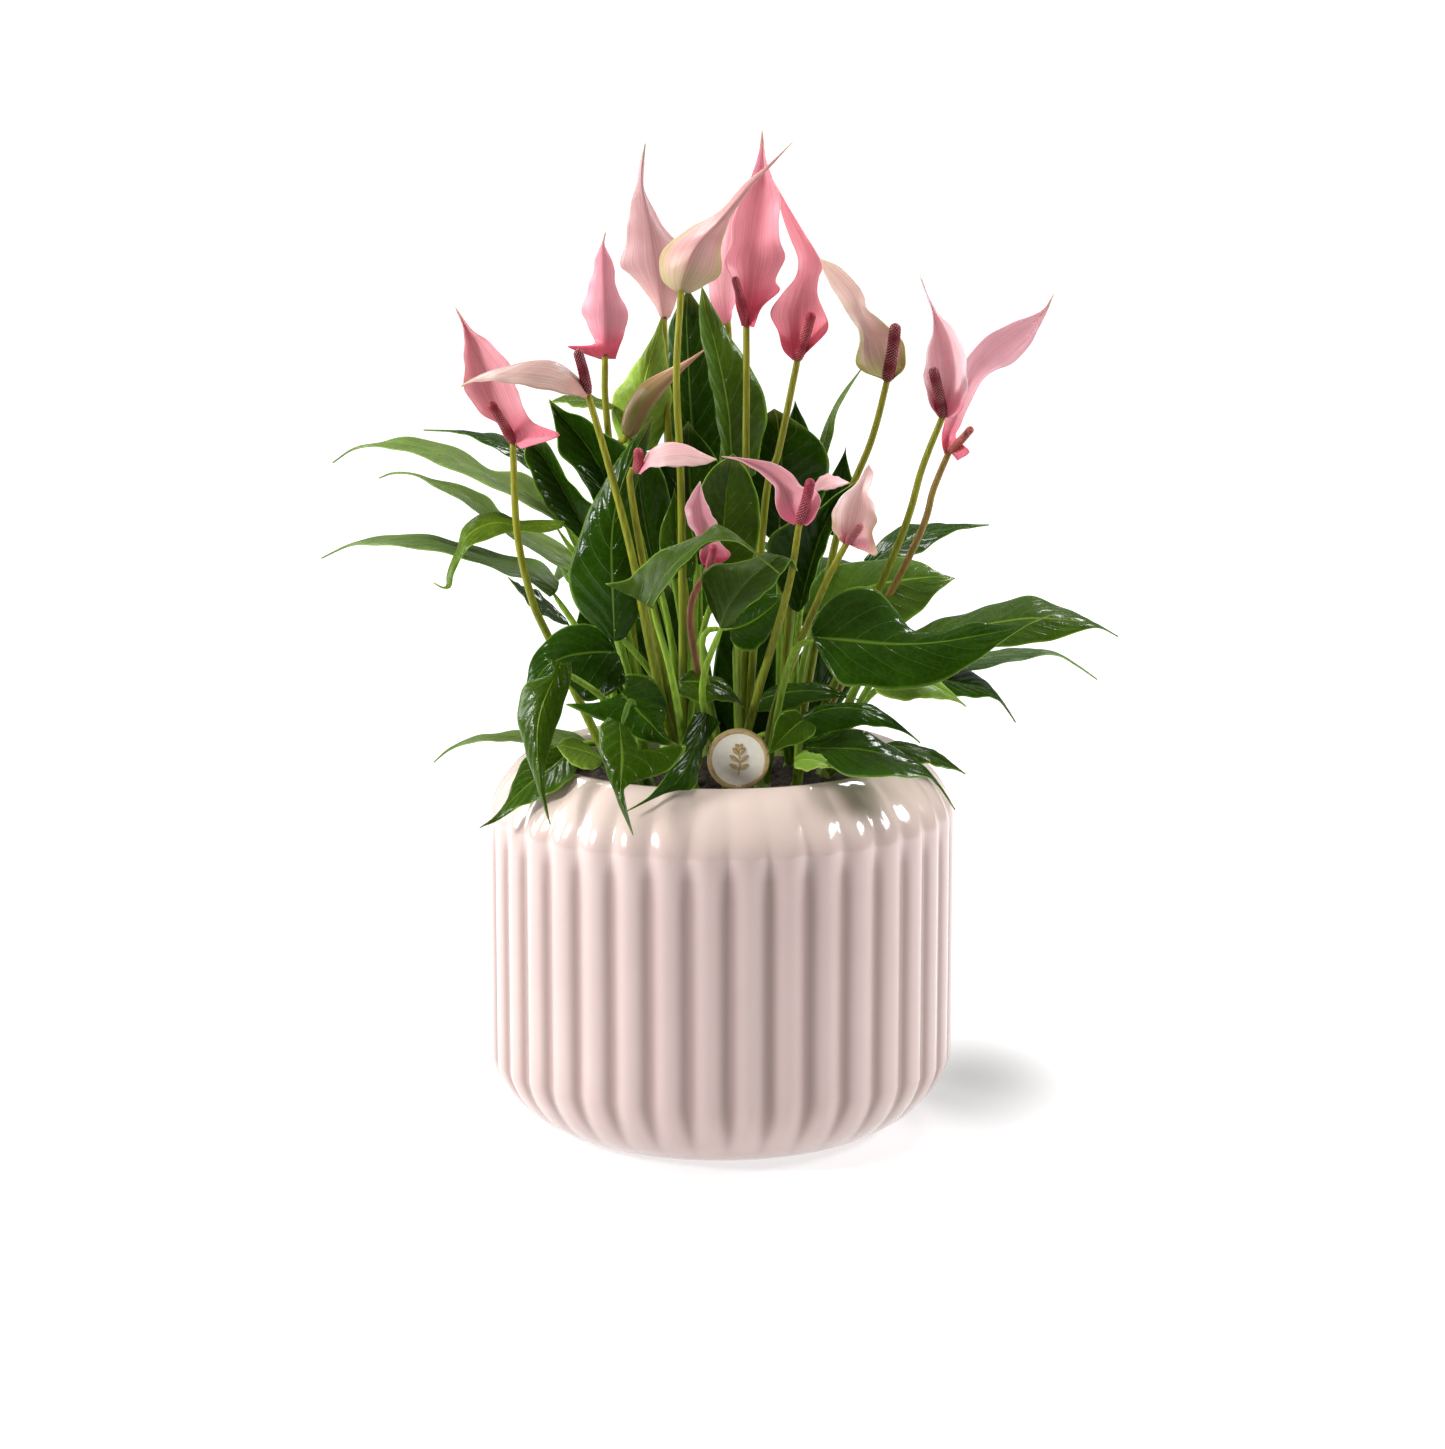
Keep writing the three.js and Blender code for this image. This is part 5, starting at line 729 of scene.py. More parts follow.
    [[114, 346.3, 31], [120.5, 342, 34], [126, 335.5, 31]],
    [[123.5, 352, 32], [128.5, 348.3, 34.5], [132.3, 342.5, 32]],
    [[132, 355, 33], [134.5, 353.5, 34], [136.3, 350, 33]],
    [[138.5, 358.5, 34], [139, 358, 34.5], [139.6, 356.8, 34]],
    [[142.7, 365, 35]],
  ],
  "F12": [
    [[-37.5, 288, -50], [-36, 287.5, -52], [-34.5, 287, -55]],
    [[-34, 291, -46], [-33.2, 291, -53], [-32, 289.5, -60]],
    [[-30.5, 296.5, -44], [-29.5, 297, -54], [-27, 290.3, -64]],
    [[-24, 299.3, -44], [-22.5, 300.2, -55], [-20, 290.4, -66]],
    [[-15.5, 298.6, -47], [-14.5, 299.2, -56], [-12.5, 290.6, -64]],
    [[-8.5, 295.5, -51], [-8, 296, -57], [-7, 291.2, -61]],
    [[-1.8, 293.3, -58]],
  ],
  "F13": [
    [[31.5, 265, -63], [34, 265.5, -62], [37, 264.5, -64]],
    [[27, 268, -64], [32.3, 269, -60], [41, 268.5, -66]],
    [[23.7, 273, -63], [30.5, 273.5, -58], [43, 275, -67]],
    [[24, 279, -61], [28.8, 278.5, -56.5], [40.5, 280.3, -64]],
    [[22.5, 282.5, -60], [26.5, 283, -56], [34.5, 282, -60]],
    [[18.5, 286.5, -58], [22.5, 287.3, -55.5], [30, 288, -58]],
    [[13, 290.2, -57], [16.5, 290.8, -55], [21, 292.2, -57]],
    [[7.5, 293.2, -56], [9, 293.3, -55], [11, 293.8, -56]],
    [[0.5, 294.8, -54]],
  ],
  "F14": [
    [[53, 257, -48], [54.5, 257, -46], [60, 254.5, -52]],
    [[51, 259, -50], [56, 259.5, -45], [67.5, 251.5, -54]],
    [[48.7, 263, -50], [57.5, 264, -43], [65.8, 260.5, -50]],
    [[48.1, 268, -50], [58.7, 269, -42.5], [67.4, 267, -50]],
    [[50, 274.5, -48], [59.7, 275, -42], [66.5, 273, -48]],
    [[54.5, 279.5, -45], [60.6, 280, -42], [63.8, 279, -45]],
    [[59, 283.5, -43], [62, 284.5, -41.5], [65.3, 284, -43]],
    [[61.5, 288, -42], [63.5, 288, -41.5], [66, 287.5, -42]],
    [[63.8, 291.5, -42]],
  ],
  "F15": [
    [[-8, 248, -31], [-5, 247, -30], [-1, 247.5, -32]],
    [[-9, 251, -32], [-5.3, 251, -30], [4.2, 252, -34]],
    [[-8.5, 255, -32], [-6, 256, -29.5], [-0.5, 258, -33]],
    [[-10.5, 260, -33], [-7, 262, -29], [-1, 264, -33]],
    [[-14, 266, -34], [-8.3, 269, -28.5], [-3.5, 269, -33]],
    [[-15.3, 271.5, -33], [-9, 274, -28.5], [-6, 274, -32]],
    [[-13, 277.5, -31], [-9.5, 279, -29], [-7.8, 279, -30]],
    [[-8.8, 284, -30]],
  ],
  "F17": [
    [[0, 350.5, 50], [3, 352, 50], [4.5, 354, 50]],
    [[-3, 358, 52], [2.5, 358, 50], [5, 358, 52]],
    [[-5, 366, 55], [2, 366, 50], [8, 366, 55]],
    [[-6, 375, 56], [2, 376, 50], [10, 376, 56]],
    [[-4, 385, 55], [3, 386, 51], [10, 386, 55]],
    [[0, 394, 54], [4.5, 395, 52], [9, 395, 54]],
    [[4, 402, 54], [6, 402, 53], [8, 402, 54]],
    [[8.5, 410, 55]],
  ],
  "F18": [
    [[38, 279, 24], [38, 278, 22], [38.5, 277, 20]],
    [[41, 283.5, 26], [42, 281, 22], [42.5, 279.8, 18]],
    [[45, 287, 27], [46.5, 283.5, 20.5], [47, 280.3, 16]],
    [[50, 286, 23], [51, 284, 17], [51, 281.5, 13]],
    [[55.8, 283.2, 11]],
  ],
}

# The rolled bud: name, crown, base, middle and tip, greatest radius, stem.
BUD = ["16", "P", [-40.5, 304, 8], [-30, 322, 7], [-7.3, 340.5, 3], 5.4, [[-42, 285, 22]]]

# The tag: centre of its disc, as seen.
TAG_CENTRE = [7.7, 161.6, -63]

# Half outlines as [place on midrib, edge along, edge out], from the notch at the stem to near the tip.
OUTLINES = {
  "leaf": [
    [0.0, -0.07, 0.3],
    [0.06, -0.07, 0.74],
    [0.2, 0.15, 1.0],
    [0.43, 0.46, 0.82],
    [0.66, 0.7, 0.42],
    [0.86, 0.89, 0.11],
  ],
  "wide": [
    [0.0, -0.05, 0.32],
    [0.06, -0.03, 0.76],
    [0.24, 0.22, 1.0],
    [0.46, 0.48, 0.92],
    [0.68, 0.7, 0.6],
    [0.87, 0.89, 0.2],
  ],
  "long": [
    [0.0, 0.0, 0.3],
    [0.1, 0.08, 0.74],
    [0.28, 0.27, 1.0],
    [0.5, 0.52, 0.84],
    [0.7, 0.72, 0.48],
    [0.87, 0.89, 0.16],
  ],
}

# Colours are linear red, green and blue. A leaf has one for its upper face and one for its lower face,
# each with its roughness.
TONES = {
    "dark": [[0.013, 0.040, 0.0015], 0.14, [0.07, 0.13, 0.02], 0.5],
    "mid": [[0.025, 0.058, 0.002], 0.18, [0.1, 0.17, 0.03], 0.5],
    "pale": [[0.020, 0.055, 0.004], 0.25, [0.088, 0.145, 0.025], 0.45],
    "under": [[0.03, 0.07, 0.005], 0.28, [0.031, 0.064, 0.004], 0.42],
    "grey": [[0.07, 0.12, 0.035], 0.3, [0.15, 0.2, 0.08], 0.5],
    "bright": [[0.062, 0.108, 0.006], 0.26, [0.12, 0.22, 0.02], 0.45],
    "lime": [[0.20, 0.32, 0.035], 0.34, [0.22, 0.30, 0.05], 0.45],
    "fresh": [[0.042, 0.088, 0.006], 0.2, [0.1, 0.17, 0.03], 0.5],
    "young": [[0.13, 0.22, 0.025], 0.35, [0.24, 0.36, 0.06], 0.45],
}

# Tone of a leaf, and which face shows to the front. The leaves that aren't named have the plain look.
PLAIN_LEAF = ["dark", "upper"]
LEAF_LOOKS = {
    "L1": ["pale", "lower"],
    "L2": ["pale", "lower"],
    "L3": ["bright", "upper"],
    "L4": ["pale", "lower"],
    "L9": ["bright", "upper"],
    "L10": ["lime", "upper"],
    "L11b": ["fresh", "upper"],
    "L14": ["pale", "lower"],
    "L17": ["under", "lower"],
    "L18": ["under", "lower"],
    "L20": ["mid", "upper"],
    "L21": ["mid", "upper"],
    "L25": ["fresh", "upper"],
    "L27": ["mid", "upper"],
    "L28": ["grey", "upper"],
    "L30": ["young", "upper"],
    "L35": ["mid", "upper"],
    "L37": ["mid", "upper"],
    "L38": ["young", "upper"],
    "L39": ["mid", "upper"],
    "L41": ["mid", "upper"],
    "L44": ["mid", "upper"],
    "L45": ["mid", "upper"],
    "L46": ["pale", "lower"],
    "L47": ["young", "upper"],
}

# Spathes: colour of the front, of the back, at the stem and at the tip.
SHEATH_LOOKS = {
    "01": [[0.70, 0.31, 0.35], [0.66, 0.37, 0.36], [0.68, 0.15, 0.21], [0.55, 0.33, 0.22]],
    "02": [[0.60, 0.27, 0.28], [0.42, 0.275, 0.235], [0.42, 0.22, 0.17], [0.40, 0.34, 0.20]],
    "03": [[0.62, 0.25, 0.30], [0.60, 0.25, 0.30], [0.66, 0.08, 0.14], [0.58, 0.30, 0.28]],
    "04": [[0.54, 0.27, 0.29], [0.48, 0.275, 0.275], [0.62, 0.36, 0.33], [0.36, 0.34, 0.20]],
    "05": [[0.53, 0.245, 0.255], [0.47, 0.25, 0.235], [0.38, 0.32, 0.17], [0.40, 0.37, 0.24]],
    "06": [[0.84, 0.325, 0.39], [0.80, 0.40, 0.44], [0.66, 0.07, 0.13], [0.45, 0.30, 0.20]],
    "07": [[0.70, 0.25, 0.29], [0.76, 0.38, 0.38], [0.62, 0.09, 0.14], [0.52, 0.36, 0.27]],
    "08": [[0.64, 0.485, 0.42], [0.64, 0.51, 0.44], [0.42, 0.44, 0.16], [0.66, 0.55, 0.42]],
    # F09's colours are made lighter to stand in for the light that its blade, turned away from the lamps,
    # doesn't get: painted light.
    "09": [[0.97, 0.62, 0.66], [0.90, 0.56, 0.60], [0.68, 0.18, 0.25], [0.42, 0.32, 0.22]],
    "10": [[0.69, 0.39, 0.44], [0.68, 0.39, 0.44], [0.70, 0.13, 0.21], [0.45, 0.30, 0.22]],
    "12": [[0.64, 0.35, 0.36], [0.62, 0.38, 0.37], [0.72, 0.20, 0.28], [0.66, 0.46, 0.38]],
    "13": [[0.64, 0.30, 0.34], [0.66, 0.37, 0.39], [0.70, 0.15, 0.24], [0.55, 0.30, 0.30]],
    "14": [[0.96, 0.69, 0.65], [0.94, 0.68, 0.63], [0.72, 0.25, 0.33], [0.66, 0.45, 0.40]],
    "15": [[0.80, 0.40, 0.46], [0.80, 0.48, 0.50], [0.62, 0.05, 0.12], [0.66, 0.40, 0.40]],
    "17": [[0.80, 0.42, 0.46], [0.80, 0.50, 0.52], [0.75, 0.25, 0.33], [0.66, 0.45, 0.40]],
    "18": [[0.80, 0.42, 0.44], [0.80, 0.55, 0.53], [0.75, 0.40, 0.40], [0.66, 0.45, 0.40]],
}
# How strongly the veins show on some spathes, and the colour of some rims.
VEINED = {"02": 1.3, "04": 1.3, "05": 1.9, "08": 1.6, "14": 1.8}
RIM_LOOKS = {"05": [0.36, 0.32, 0.13], "08": [0.30, 0.34, 0.06], "14": [0.60, 0.45, 0.26]}
# Flower stalks, from the spathe down.
STALK_LOOKS = {
    "10": [[0.22, 0.14, 0.035], [0.30, 0.20, 0.05]],
    "15": [[0.30, 0.10, 0.07], [0.25, 0.20, 0.05]],
}
STALK_COLOURS = [[0.228, 0.214, 0.016], [0.142, 0.20, 0.011]]
# Leaf stalks, from the crown up.
PETIOLE_COLOURS = [[0.13, 0.23, 0.015], [0.21, 0.34, 0.03]]
PETIOLE_LOOKS = {"L41": [[0.13, 0.23, 0.015], [0.04, 0.09, 0.008]]}
# Spadices: plain colour, specks, and the ones that differ.
SPADIX_COLOUR = [0.15, 0.008, 0.018]
SPADIX_SPECK = [0.74, 0.38, 0.36]
SPADIX_LOOKS = {
    "01": [0.24, 0.016, 0.028],
    "03": [0.24, 0.016, 0.035],
    "06": [0.30, 0.020, 0.040],
    "07": [0.30, 0.018, 0.034],
    "10": [0.42, 0.10, 0.08],
    "12": [0.38, 0.045, 0.07],
    "13": [0.28, 0.025, 0.05],
    "14": [0.40, 0.10, 0.11],
    "15": [0.42, 0.05, 0.09],
}
# The bud's colour at its base, towards its tip, and in its streaks.
BUD_COLOURS = [[0.15, 0.16, 0.03], [0.46, 0.28, 0.17], [0.26, 0.09, 0.05]]
# Spathes that show their back to the front.
BACKS_SHOWN = ["02", "03", "04", "05", "12"]
LEAF_TIP_COLOUR = [0.16, 0.2, 0.04]
CROWN_TINTS = [[0.10, 0.14, 0.03], [0.2, 0.28, 0.06]]

# Glaze on the pot's body, on its shoulder, lighter as painted light from above, and in its flutes, darker as
# pooled glaze deepened by painted shade, then soil, tag, gold rim and floor.
GLAZE_COLOURS = [[0.57, 0.43, 0.405], [0.60, 0.46, 0.43]]
SHOULDER_PAINTED_LIGHT = [0.71, 0.57, 0.505]
GLAZE_GROOVE_AND_SHADE = [0.27, 0.17, 0.15]
SOIL_COLOURS = [[0.009, 0.006, 0.004], [0.045, 0.028, 0.018]]
TAG_COLOURS = [[0.78, 0.74, 0.63], [0.84, 0.80, 0.70]]
GOLD_COLOURS = [[0.40, 0.29, 0.12], [0.50, 0.38, 0.17]]
FLOOR_COLOURS = [[0.40, 0.40, 0.40], [0.41, 0.41, 0.41]]

# Plain tints kept in the meshes of pieces whose look doesn't read them.
POT_TINT = [0.8, 0.66, 0.63]
SOIL_TINT = [0.03, 0.018, 0.012]
TAG_TINT = [0.8, 0.76, 0.66]
SPRIG_TINT = [0.5, 0.4, 0.2]


def seen(place):
    """The real point behind a place that is read as [across, height, behind] from the eye."""
    scale = 1 + place[2] / EYE_DISTANCE
    height = EYE_HEIGHT + (place[1] - EYE_HEIGHT) * scale
    return np.array([place[0] * scale, place[2], height], float)


def unit(v):
    return v / np.maximum(np.linalg.norm(v, axis=-1, keepdims=True), 1e-9)


def smooth(a, b, x):
    """0 below a, 1 above b, and an even rise between."""
    t = np.clip((x - a) / (b - a), 0, 1)
    return t * t * (3 - 2 * t)


def mix(one, other, share):
    share = np.asarray(share)[..., None]
    return np.asarray(one) * (1 - share) + np.asarray(other) * share


def full_turn(sides):
    return np.linspace(0, 2 * math.pi, sides, endpoint=False)


def run_lengths(points):
    """How far along a line of points each of them lies."""
    steps = np.linalg.norm(np.diff(points, axis=0), axis=1)
    return np.concatenate([[0], np.cumsum(steps)])


class Pile:
    """Vertices, faces and their colours for one piece."""

    def __init__(self):
        self.points = []
        self.faces = []
        self.tints = []
        self.rough = []
        self.veins = []
        self.coords = []
        self.slots = []
        self.count = 0

    def add_faces(self, faces, slot):
        self.faces.append(faces)
        self.slots.append(np.full(len(faces), slot))

    def add(self, points, faces, tints, rough, veins, coords, slot):
        faces = np.asarray(faces, int)
        self.add_faces(np.where(faces < 0, -1, faces + self.count), slot)
        self.points.append(points)
        self.tints.append(np.broadcast_to(tints, (len(points), 3)))
        self.rough.append(np.broadcast_to(rough, (len(points),)))
        self.veins.append(np.broadcast_to(veins, (len(points),)))
        self.coords.append(coords)
        self.count += len(points)

    def build(self, name, materials):
        points = np.concatenate(self.points) / MM_PER_M
        slots = np.concatenate(self.slots)
        starts = []
        loops = []
        total = 0
        for face in (face for block in self.faces for face in block):
            corners = [int(c) for c in face if c >= 0]
            starts.append(total)
            loops.extend(corners)
            total += len(corners)
        mesh = bpy.data.meshes.new(name)
        mesh.vertices.add(len(points))
        mesh.vertices.foreach_set("co", points.ravel())
        mesh.loops.add(total)
        mesh.loops.foreach_set("vertex_index", loops)
        mesh.polygons.add(len(starts))
        mesh.polygons.foreach_set("loop_start", starts)
        mesh.polygons.foreach_set("material_index", slots.astype(int))
        mesh.update(calc_edges=True)
        mesh.validate()
        tint = mesh.color_attributes.new("tint", "FLOAT_COLOR", "POINT")
        flat = np.ones((len(points), 4))
        flat[:, :3] = np.concatenate(self.tints)
        tint.data.foreach_set("color", flat.ravel())
        for label, values in (("rough", self.rough), ("veins", self.veins)):
            layer = mesh.attributes.new(label, "FLOAT", "POINT")
            layer.data.foreach_set("value", np.concatenate(values))
        layer = mesh.uv_layers.new(name="blade")
        order = np.zeros(len(mesh.loops), int)
        mesh.loops.foreach_get("vertex_index", order)
        layer.data.foreach_set("uv", np.concatenate(self.coords)[order].ravel())
        for material in materials:
            mesh.materials.append(material)
        mesh.shade_smooth()
        thing = bpy.data.objects.new(name, mesh)
        bpy.context.scene.collection.objects.link(thing)
        return thing


def grid_faces(rows, columns, turned):
    i, j = np.meshgrid(np.arange(rows - 1), np.arange(columns - 1), indexing="ij")
    a = (i * columns + j).ravel()
    faces = np.stack([a, a + 1, a + columns + 1, a + columns], 1)
    return faces[:, ::-1] if turned else faces


def band_faces(rings, sides):
    """Faces that join each ring of points to the next."""
    i, j = np.meshgrid(np.arange(rings - 1), np.arange(sides), indexing="ij")
    a = (i * sides + j).ravel()
    b = (i * sides + (j + 1) % sides).ravel()
    return np.stack([a, b, b + sides, a + sides], 1)


def fan_faces(centre, first, sides, turned):
    """Triangles from a centre to the ring that starts at first. A fourth corner of -1 is left out."""
    near = first + np.arange(sides)
    far = first + (np.arange(sides) + 1) % sides
    if turned:
        near, far = far, near
    return np.stack([np.full(sides, centre), near, far, np.full(sides, -1)], 1)


def on_rings(angle, radius, height):
    """Points on level rings round the pot's axis."""
    x = np.sin(angle) * radius
    y = -np.cos(angle) * radius
    return np.stack([x, y, np.broadcast_to(height, x.shape)], -1)


def curve_through(rows, count):
    """Even samples of a smooth curve through the given rows."""
    rows = np.asarray(rows, float)
    first = rows[0] * 2 - rows[1]
    last = rows[-1] * 2 - rows[-2]
    pad = np.vstack([first, rows, last])
    at = np.linspace(0, len(rows) - 1, count)
    k = np.minimum(at.astype(int), len(rows) - 2)
    t = (at - k)[:, None]
    p0, p1, p2, p3 = pad[k], pad[k + 1], pad[k + 2], pad[k + 3]
    straight = p2 - p0
    square = 2 * p0 - 5 * p1 + 4 * p2 - p3
    cube = 3 * p1 - p0 - 3 * p2 + p3
    return 0.5 * (2 * p1 + straight * t + square * t * t + cube * t ** 3)


def even_curve(places, count):
    """Samples an equal distance apart on a smooth curve through the places."""
    fine = curve_through(places, CURVE_SAMPLES)
    length = run_lengths(fine)
    at = np.linspace(0, length[-1], count)
    return np.stack([np.interp(at, length, fine[:, k]) for k in range(3)], 1)


def across_blade(columns):
    """Places from one edge to the other, -1 to 1, closer together at the edges."""
    v = np.linspace(-1, 1, columns)
    return np.sign(v) * np.abs(v) ** EDGE_EASE


def quilting(along, out, reach, full, groove_full, quilt):
    """Soft pads between the side veins, and a groove along the midrib."""
    lines = (along - VEIN_SLANT * out) * VEINS_ALONG
    pad = quilt * (0.5 - np.abs((lines % 1) - 0.5)) * 2
    pad = pad * smooth(0.06, 0.2, out) * (1 - smooth(0.8, 1.0, out)) * full
    groove = -GROOVE_DEPTH * np.exp(-((reach / GROOVE_WIDTH) ** 2)) * (1 - smooth(0.75, 1.0, along))
    return pad + groove * groove_full * quilt


class Blade:
    """A thin blade spanned by its midrib and its two widest places."""

    def __init__(self, base, middle, tip, left, right, form, wave):
        self.start = seen(base)
        self.end = seen(tip)
        self.control = seen(middle) * 2 - self.start * 0.5 - self.end * 0.5
        self.length = np.linalg.norm(self.end - self.start)
        widest = self.rib(np.array([BLADE_WIDEST_AT]))[0]
        self.sides = [seen(left) - widest, seen(right) - widest]
        self.form = form
        self.wave = wave

    def rib(self, t):
        inside = np.clip(t, 0, 1)[..., None]
        first = (1 - inside) ** 2 * self.start
        second = 2 * inside * (1 - inside) * self.control
        point = first + second + inside ** 2 * self.end
        return point + self.tangent(t) * ((t[..., None] - inside) * self.length)

    def tangent(self, t):
        inside = np.clip(t, 0, 1)[..., None]
        return unit(2 * (1 - inside) * (self.control - self.start) + 2 * inside * (self.end - self.control))

    def facing(self, t):
        return unit(np.cross(self.tangent(t), self.sides[0] - self.sides[1]))

    def outline(self, rows):
        points = curve_through(OUTLINES[self.form] + [[1.0, 1.0, 0.0]], rows)
        points[:, 2] = np.maximum(points[:, 2], BLADE_LEAST_REACH)
        return points

    def sheet(self, rows, columns, frill, quilt, phase):
        edge = self.outline(rows)
        spread = edge[:, 2:3]
        v = across_blade(columns)
        out = np.abs(v)[None, :]
        along = edge[:, 0:1] + (edge[:, 1:2] - edge[:, 0:1]) * out
        reach = spread * out
        side = np.where((v < 0)[None, :, None], self.sides[0], self.sides[1])
        point = self.rib(along) + side * reach[..., None]
        phases = np.where(v < 0, RIPPLE_PHASES[0], RIPPLE_PHASES[1])[None, :]
        ripple = np.sin(along * RIPPLES_ALONG + phases) * self.wave * reach * reach
        size = np.linalg.norm(side, axis=-1)
        arch = BLADE_ARCH * size * np.sin(math.pi * out) * spread
        ruffle = frill * np.sin(along * RUFFLES_ALONG + phase + v[None, :]) * out ** 3 * reach
        relief = quilting(along, out, out * size * spread, spread, 1.0, quilt)
        lift = ripple + arch + ruffle
        return point + self.facing(along) * lift[..., None], relief, along, out * np.ones_like(along), v


class Sheet:
    """A thin blade drawn by rows of left edge, midrib and right edge, closed by its tip."""

    def __init__(self, name):
        rows = [row * 3 if len(row) == 1 else row for row in ROWS[name]]
        self.lines = np.array([[seen(place) for place in row] for row in rows])
        self.start = self.lines[0, 1]
        self.join = self.lines[0, 1] * 0.6 + self.lines[1, 1] * 0.4
        self.length = np.linalg.norm(np.diff(self.lines[:, 1], axis=0), axis=1).sum()

    def sample(self, rows):
        fine = curve_through(self.lines.reshape(len(self.lines), 9), CURVE_SAMPLES)
        moves = np.diff(fine.reshape(CURVE_SAMPLES, 3, 3), axis=0)
        steps = np.linalg.norm(moves, axis=2).mean(axis=1)
        length = np.concatenate([[0], np.cumsum(steps)])
        at = np.linspace(0, length[-1], rows)
        lines = np.stack([np.interp(at, length, fine[:, k]) for k in range(9)], 1).reshape(rows, 3, 3)
        left, rib, right = lines[:, 0], lines[:, 1], lines[:, 2]
        over = unit(right - left)
        over[-2:] = over[-3]
        lack = np.maximum(SHEET_LEAST_WIDTH - np.linalg.norm(right - left, axis=1), 0)[:, None] / 2
        return left - over * lack, rib, right + over * lack

    def sheet(self, rows, columns, frill, quilt, phase):
        left, rib, right = self.sample(rows)
        v = across_blade(columns)[None, :, None]
        side = np.where(v < 0, left[:, None], right[:, None]) - rib[:, None]
        keel = np.sqrt(v * v + KEEL_ROUNDING) - math.sqrt(KEEL_ROUNDING)
        keeled = rib[:, None] + side * keel / keel.max()
        bow = (left + right) / 2 - rib
        bowed = rib[:, None] + (right - left)[:, None] * v / 2 + bow[:, None] * v * v
        point = keeled * (1 - BOWED_SHARE) + bowed * BOWED_SHARE
        run = run_lengths(rib)
        out = np.abs(v[..., 0]) * np.ones((rows, 1))
        along = (run / run[-1])[:, None] * np.ones_like(out)
        size = np.linalg.norm(side, axis=-1)
        full = smooth(FULL_RELIEF[0], FULL_RELIEF[1], size)
        ruffle = frill * np.sin(along * RUFFLES_ALONG + phase + v[..., 0]) * out ** 3 * full
        relief = quilting(along, out, out * size, full, full, quilt)
        point = point + sheet_normals(point) * ruffle[..., None]
        return point, relief, along, out, v[0, :, 0]


def sheet_normals(points):
    down = np.gradient(points, axis=0)
    over = np.gradient(points, axis=1)
    return unit(np.cross(down, over))


def add_blade(pile, points, relief, along, v, thickness, front, back):
    """Both faces of a blade and its edge. front and back give tint, roughness and vein strength."""
    rows, columns, _ = points.shape
    normals = sheet_normals(points)
    shape = 1 - EDGE_THINNING * np.abs(v)[None, :] ** 6 * np.ones((rows, 1))
    half = (normals * (thickness / 2 * shape)[..., None])
    lift = normals * relief[..., None] * front[3]
    aside = np.broadcast_to((v + 1) / 2, (rows, columns))
    coords = np.stack([aside, np.clip(along, 0, 1)], -1).reshape(-1, 2)
    count = rows * columns
    for places, turned, look in ((points + half + lift, False, front), (points - half + lift, True, back)):
        faces = grid_faces(rows, columns, turned)
        pile.add(places.reshape(-1, 3), faces, look[0].reshape(-1, 3), look[1], look[2], coords, 0)
    ring = list(range(columns))
    ring += [i * columns + columns - 1 for i in range(1, rows)]
    ring += [(rows - 1) * columns + j for j in range(columns - 2, -1, -1)]
    ring += [i * columns for i in range(rows - 2, 0, -1)]
    ring = np.array(ring) + pile.count - 2 * count
    after = np.roll(ring, -1)
    pile.add_faces(np.stack([ring, ring + count, after + count, after], 1), 0)


def add_tube(pile, places, radii, sides, steps, tints, rough, slot):
    """A round tube along a smooth curve, closed at both ends."""
    path = even_curve(places, steps)
    t = np.linspace(0, 1, steps)
    tangent = unit(np.gradient(path, axis=0))
    across = np.array([0.0, 1.0, 0.0])
    if abs(tangent[0][1]) > 0.9:
        across = np.array([1.0, 0.0, 0.0])
    rings = []
    angle = full_turn(sides)
    for k in range(steps):
        across = unit(across - tangent[k] * np.dot(across, tangent[k]))
        other = np.cross(tangent[k], across)
        ring = np.cos(angle)[:, None] * across + np.sin(angle)[:, None] * other
        rings.append(path[k] + ring * np.broadcast_to(radii(t[k], angle), angle.shape)[:, None])
    points = np.vstack([np.array(rings).reshape(-1, 3), path[0], path[-1]])
    end = steps * sides
    low = fan_faces(end, 0, sides, True)
    high = fan_faces(end + 1, end - sides, sides, False)
    colours = mix(np.array(tints[0])[None, :], np.array(tints[1])[None, :], t)
    colours = np.vstack([np.repeat(colours, sides, axis=0), colours[0], colours[-1]])
    around = np.append(np.tile(angle / (2 * math.pi), steps), [0, 0])
    coords = np.stack([around, np.append(np.repeat(t, sides), [0, 1])], 1)
    pile.add(points, np.vstack([band_faces(steps, sides), low, high]), colours, rough, 0.0, coords, slot)


def stem_taper(t):
    return 1.25 - 0.4 * t


def petiole_radius(t, angle):
    return PETIOLE_RADIUS * stem_taper(t) * (1 - 0.75 * smooth(0.88, 1.0, t))


def stalk_radius(t, angle):
    return STALK_RADIUS * stem_taper(t)


def crown_radius(t, angle):
    return CROWN_RADIUS * (1 - 0.25 * t - 0.35 * smooth(0.85, 1.0, t))


def crown_foot(name, height):
    across, behind = dict(CROWNS)[name]
    return np.array([across, behind, height], float)


def stem_places(name, top, places):
    path = [crown_foot(name, CROWN_TOP - STEM_START_DEPTH)]
    fixed = [seen(place) for place in places][::-1]
    if not fixed:
        rise = path[0] * 0.6 + top * 0.4
        rise[2] = CROWN_TOP + (top[2] - CROWN_TOP) * 0.6
        fixed = [rise]
    return path + fixed + [top]


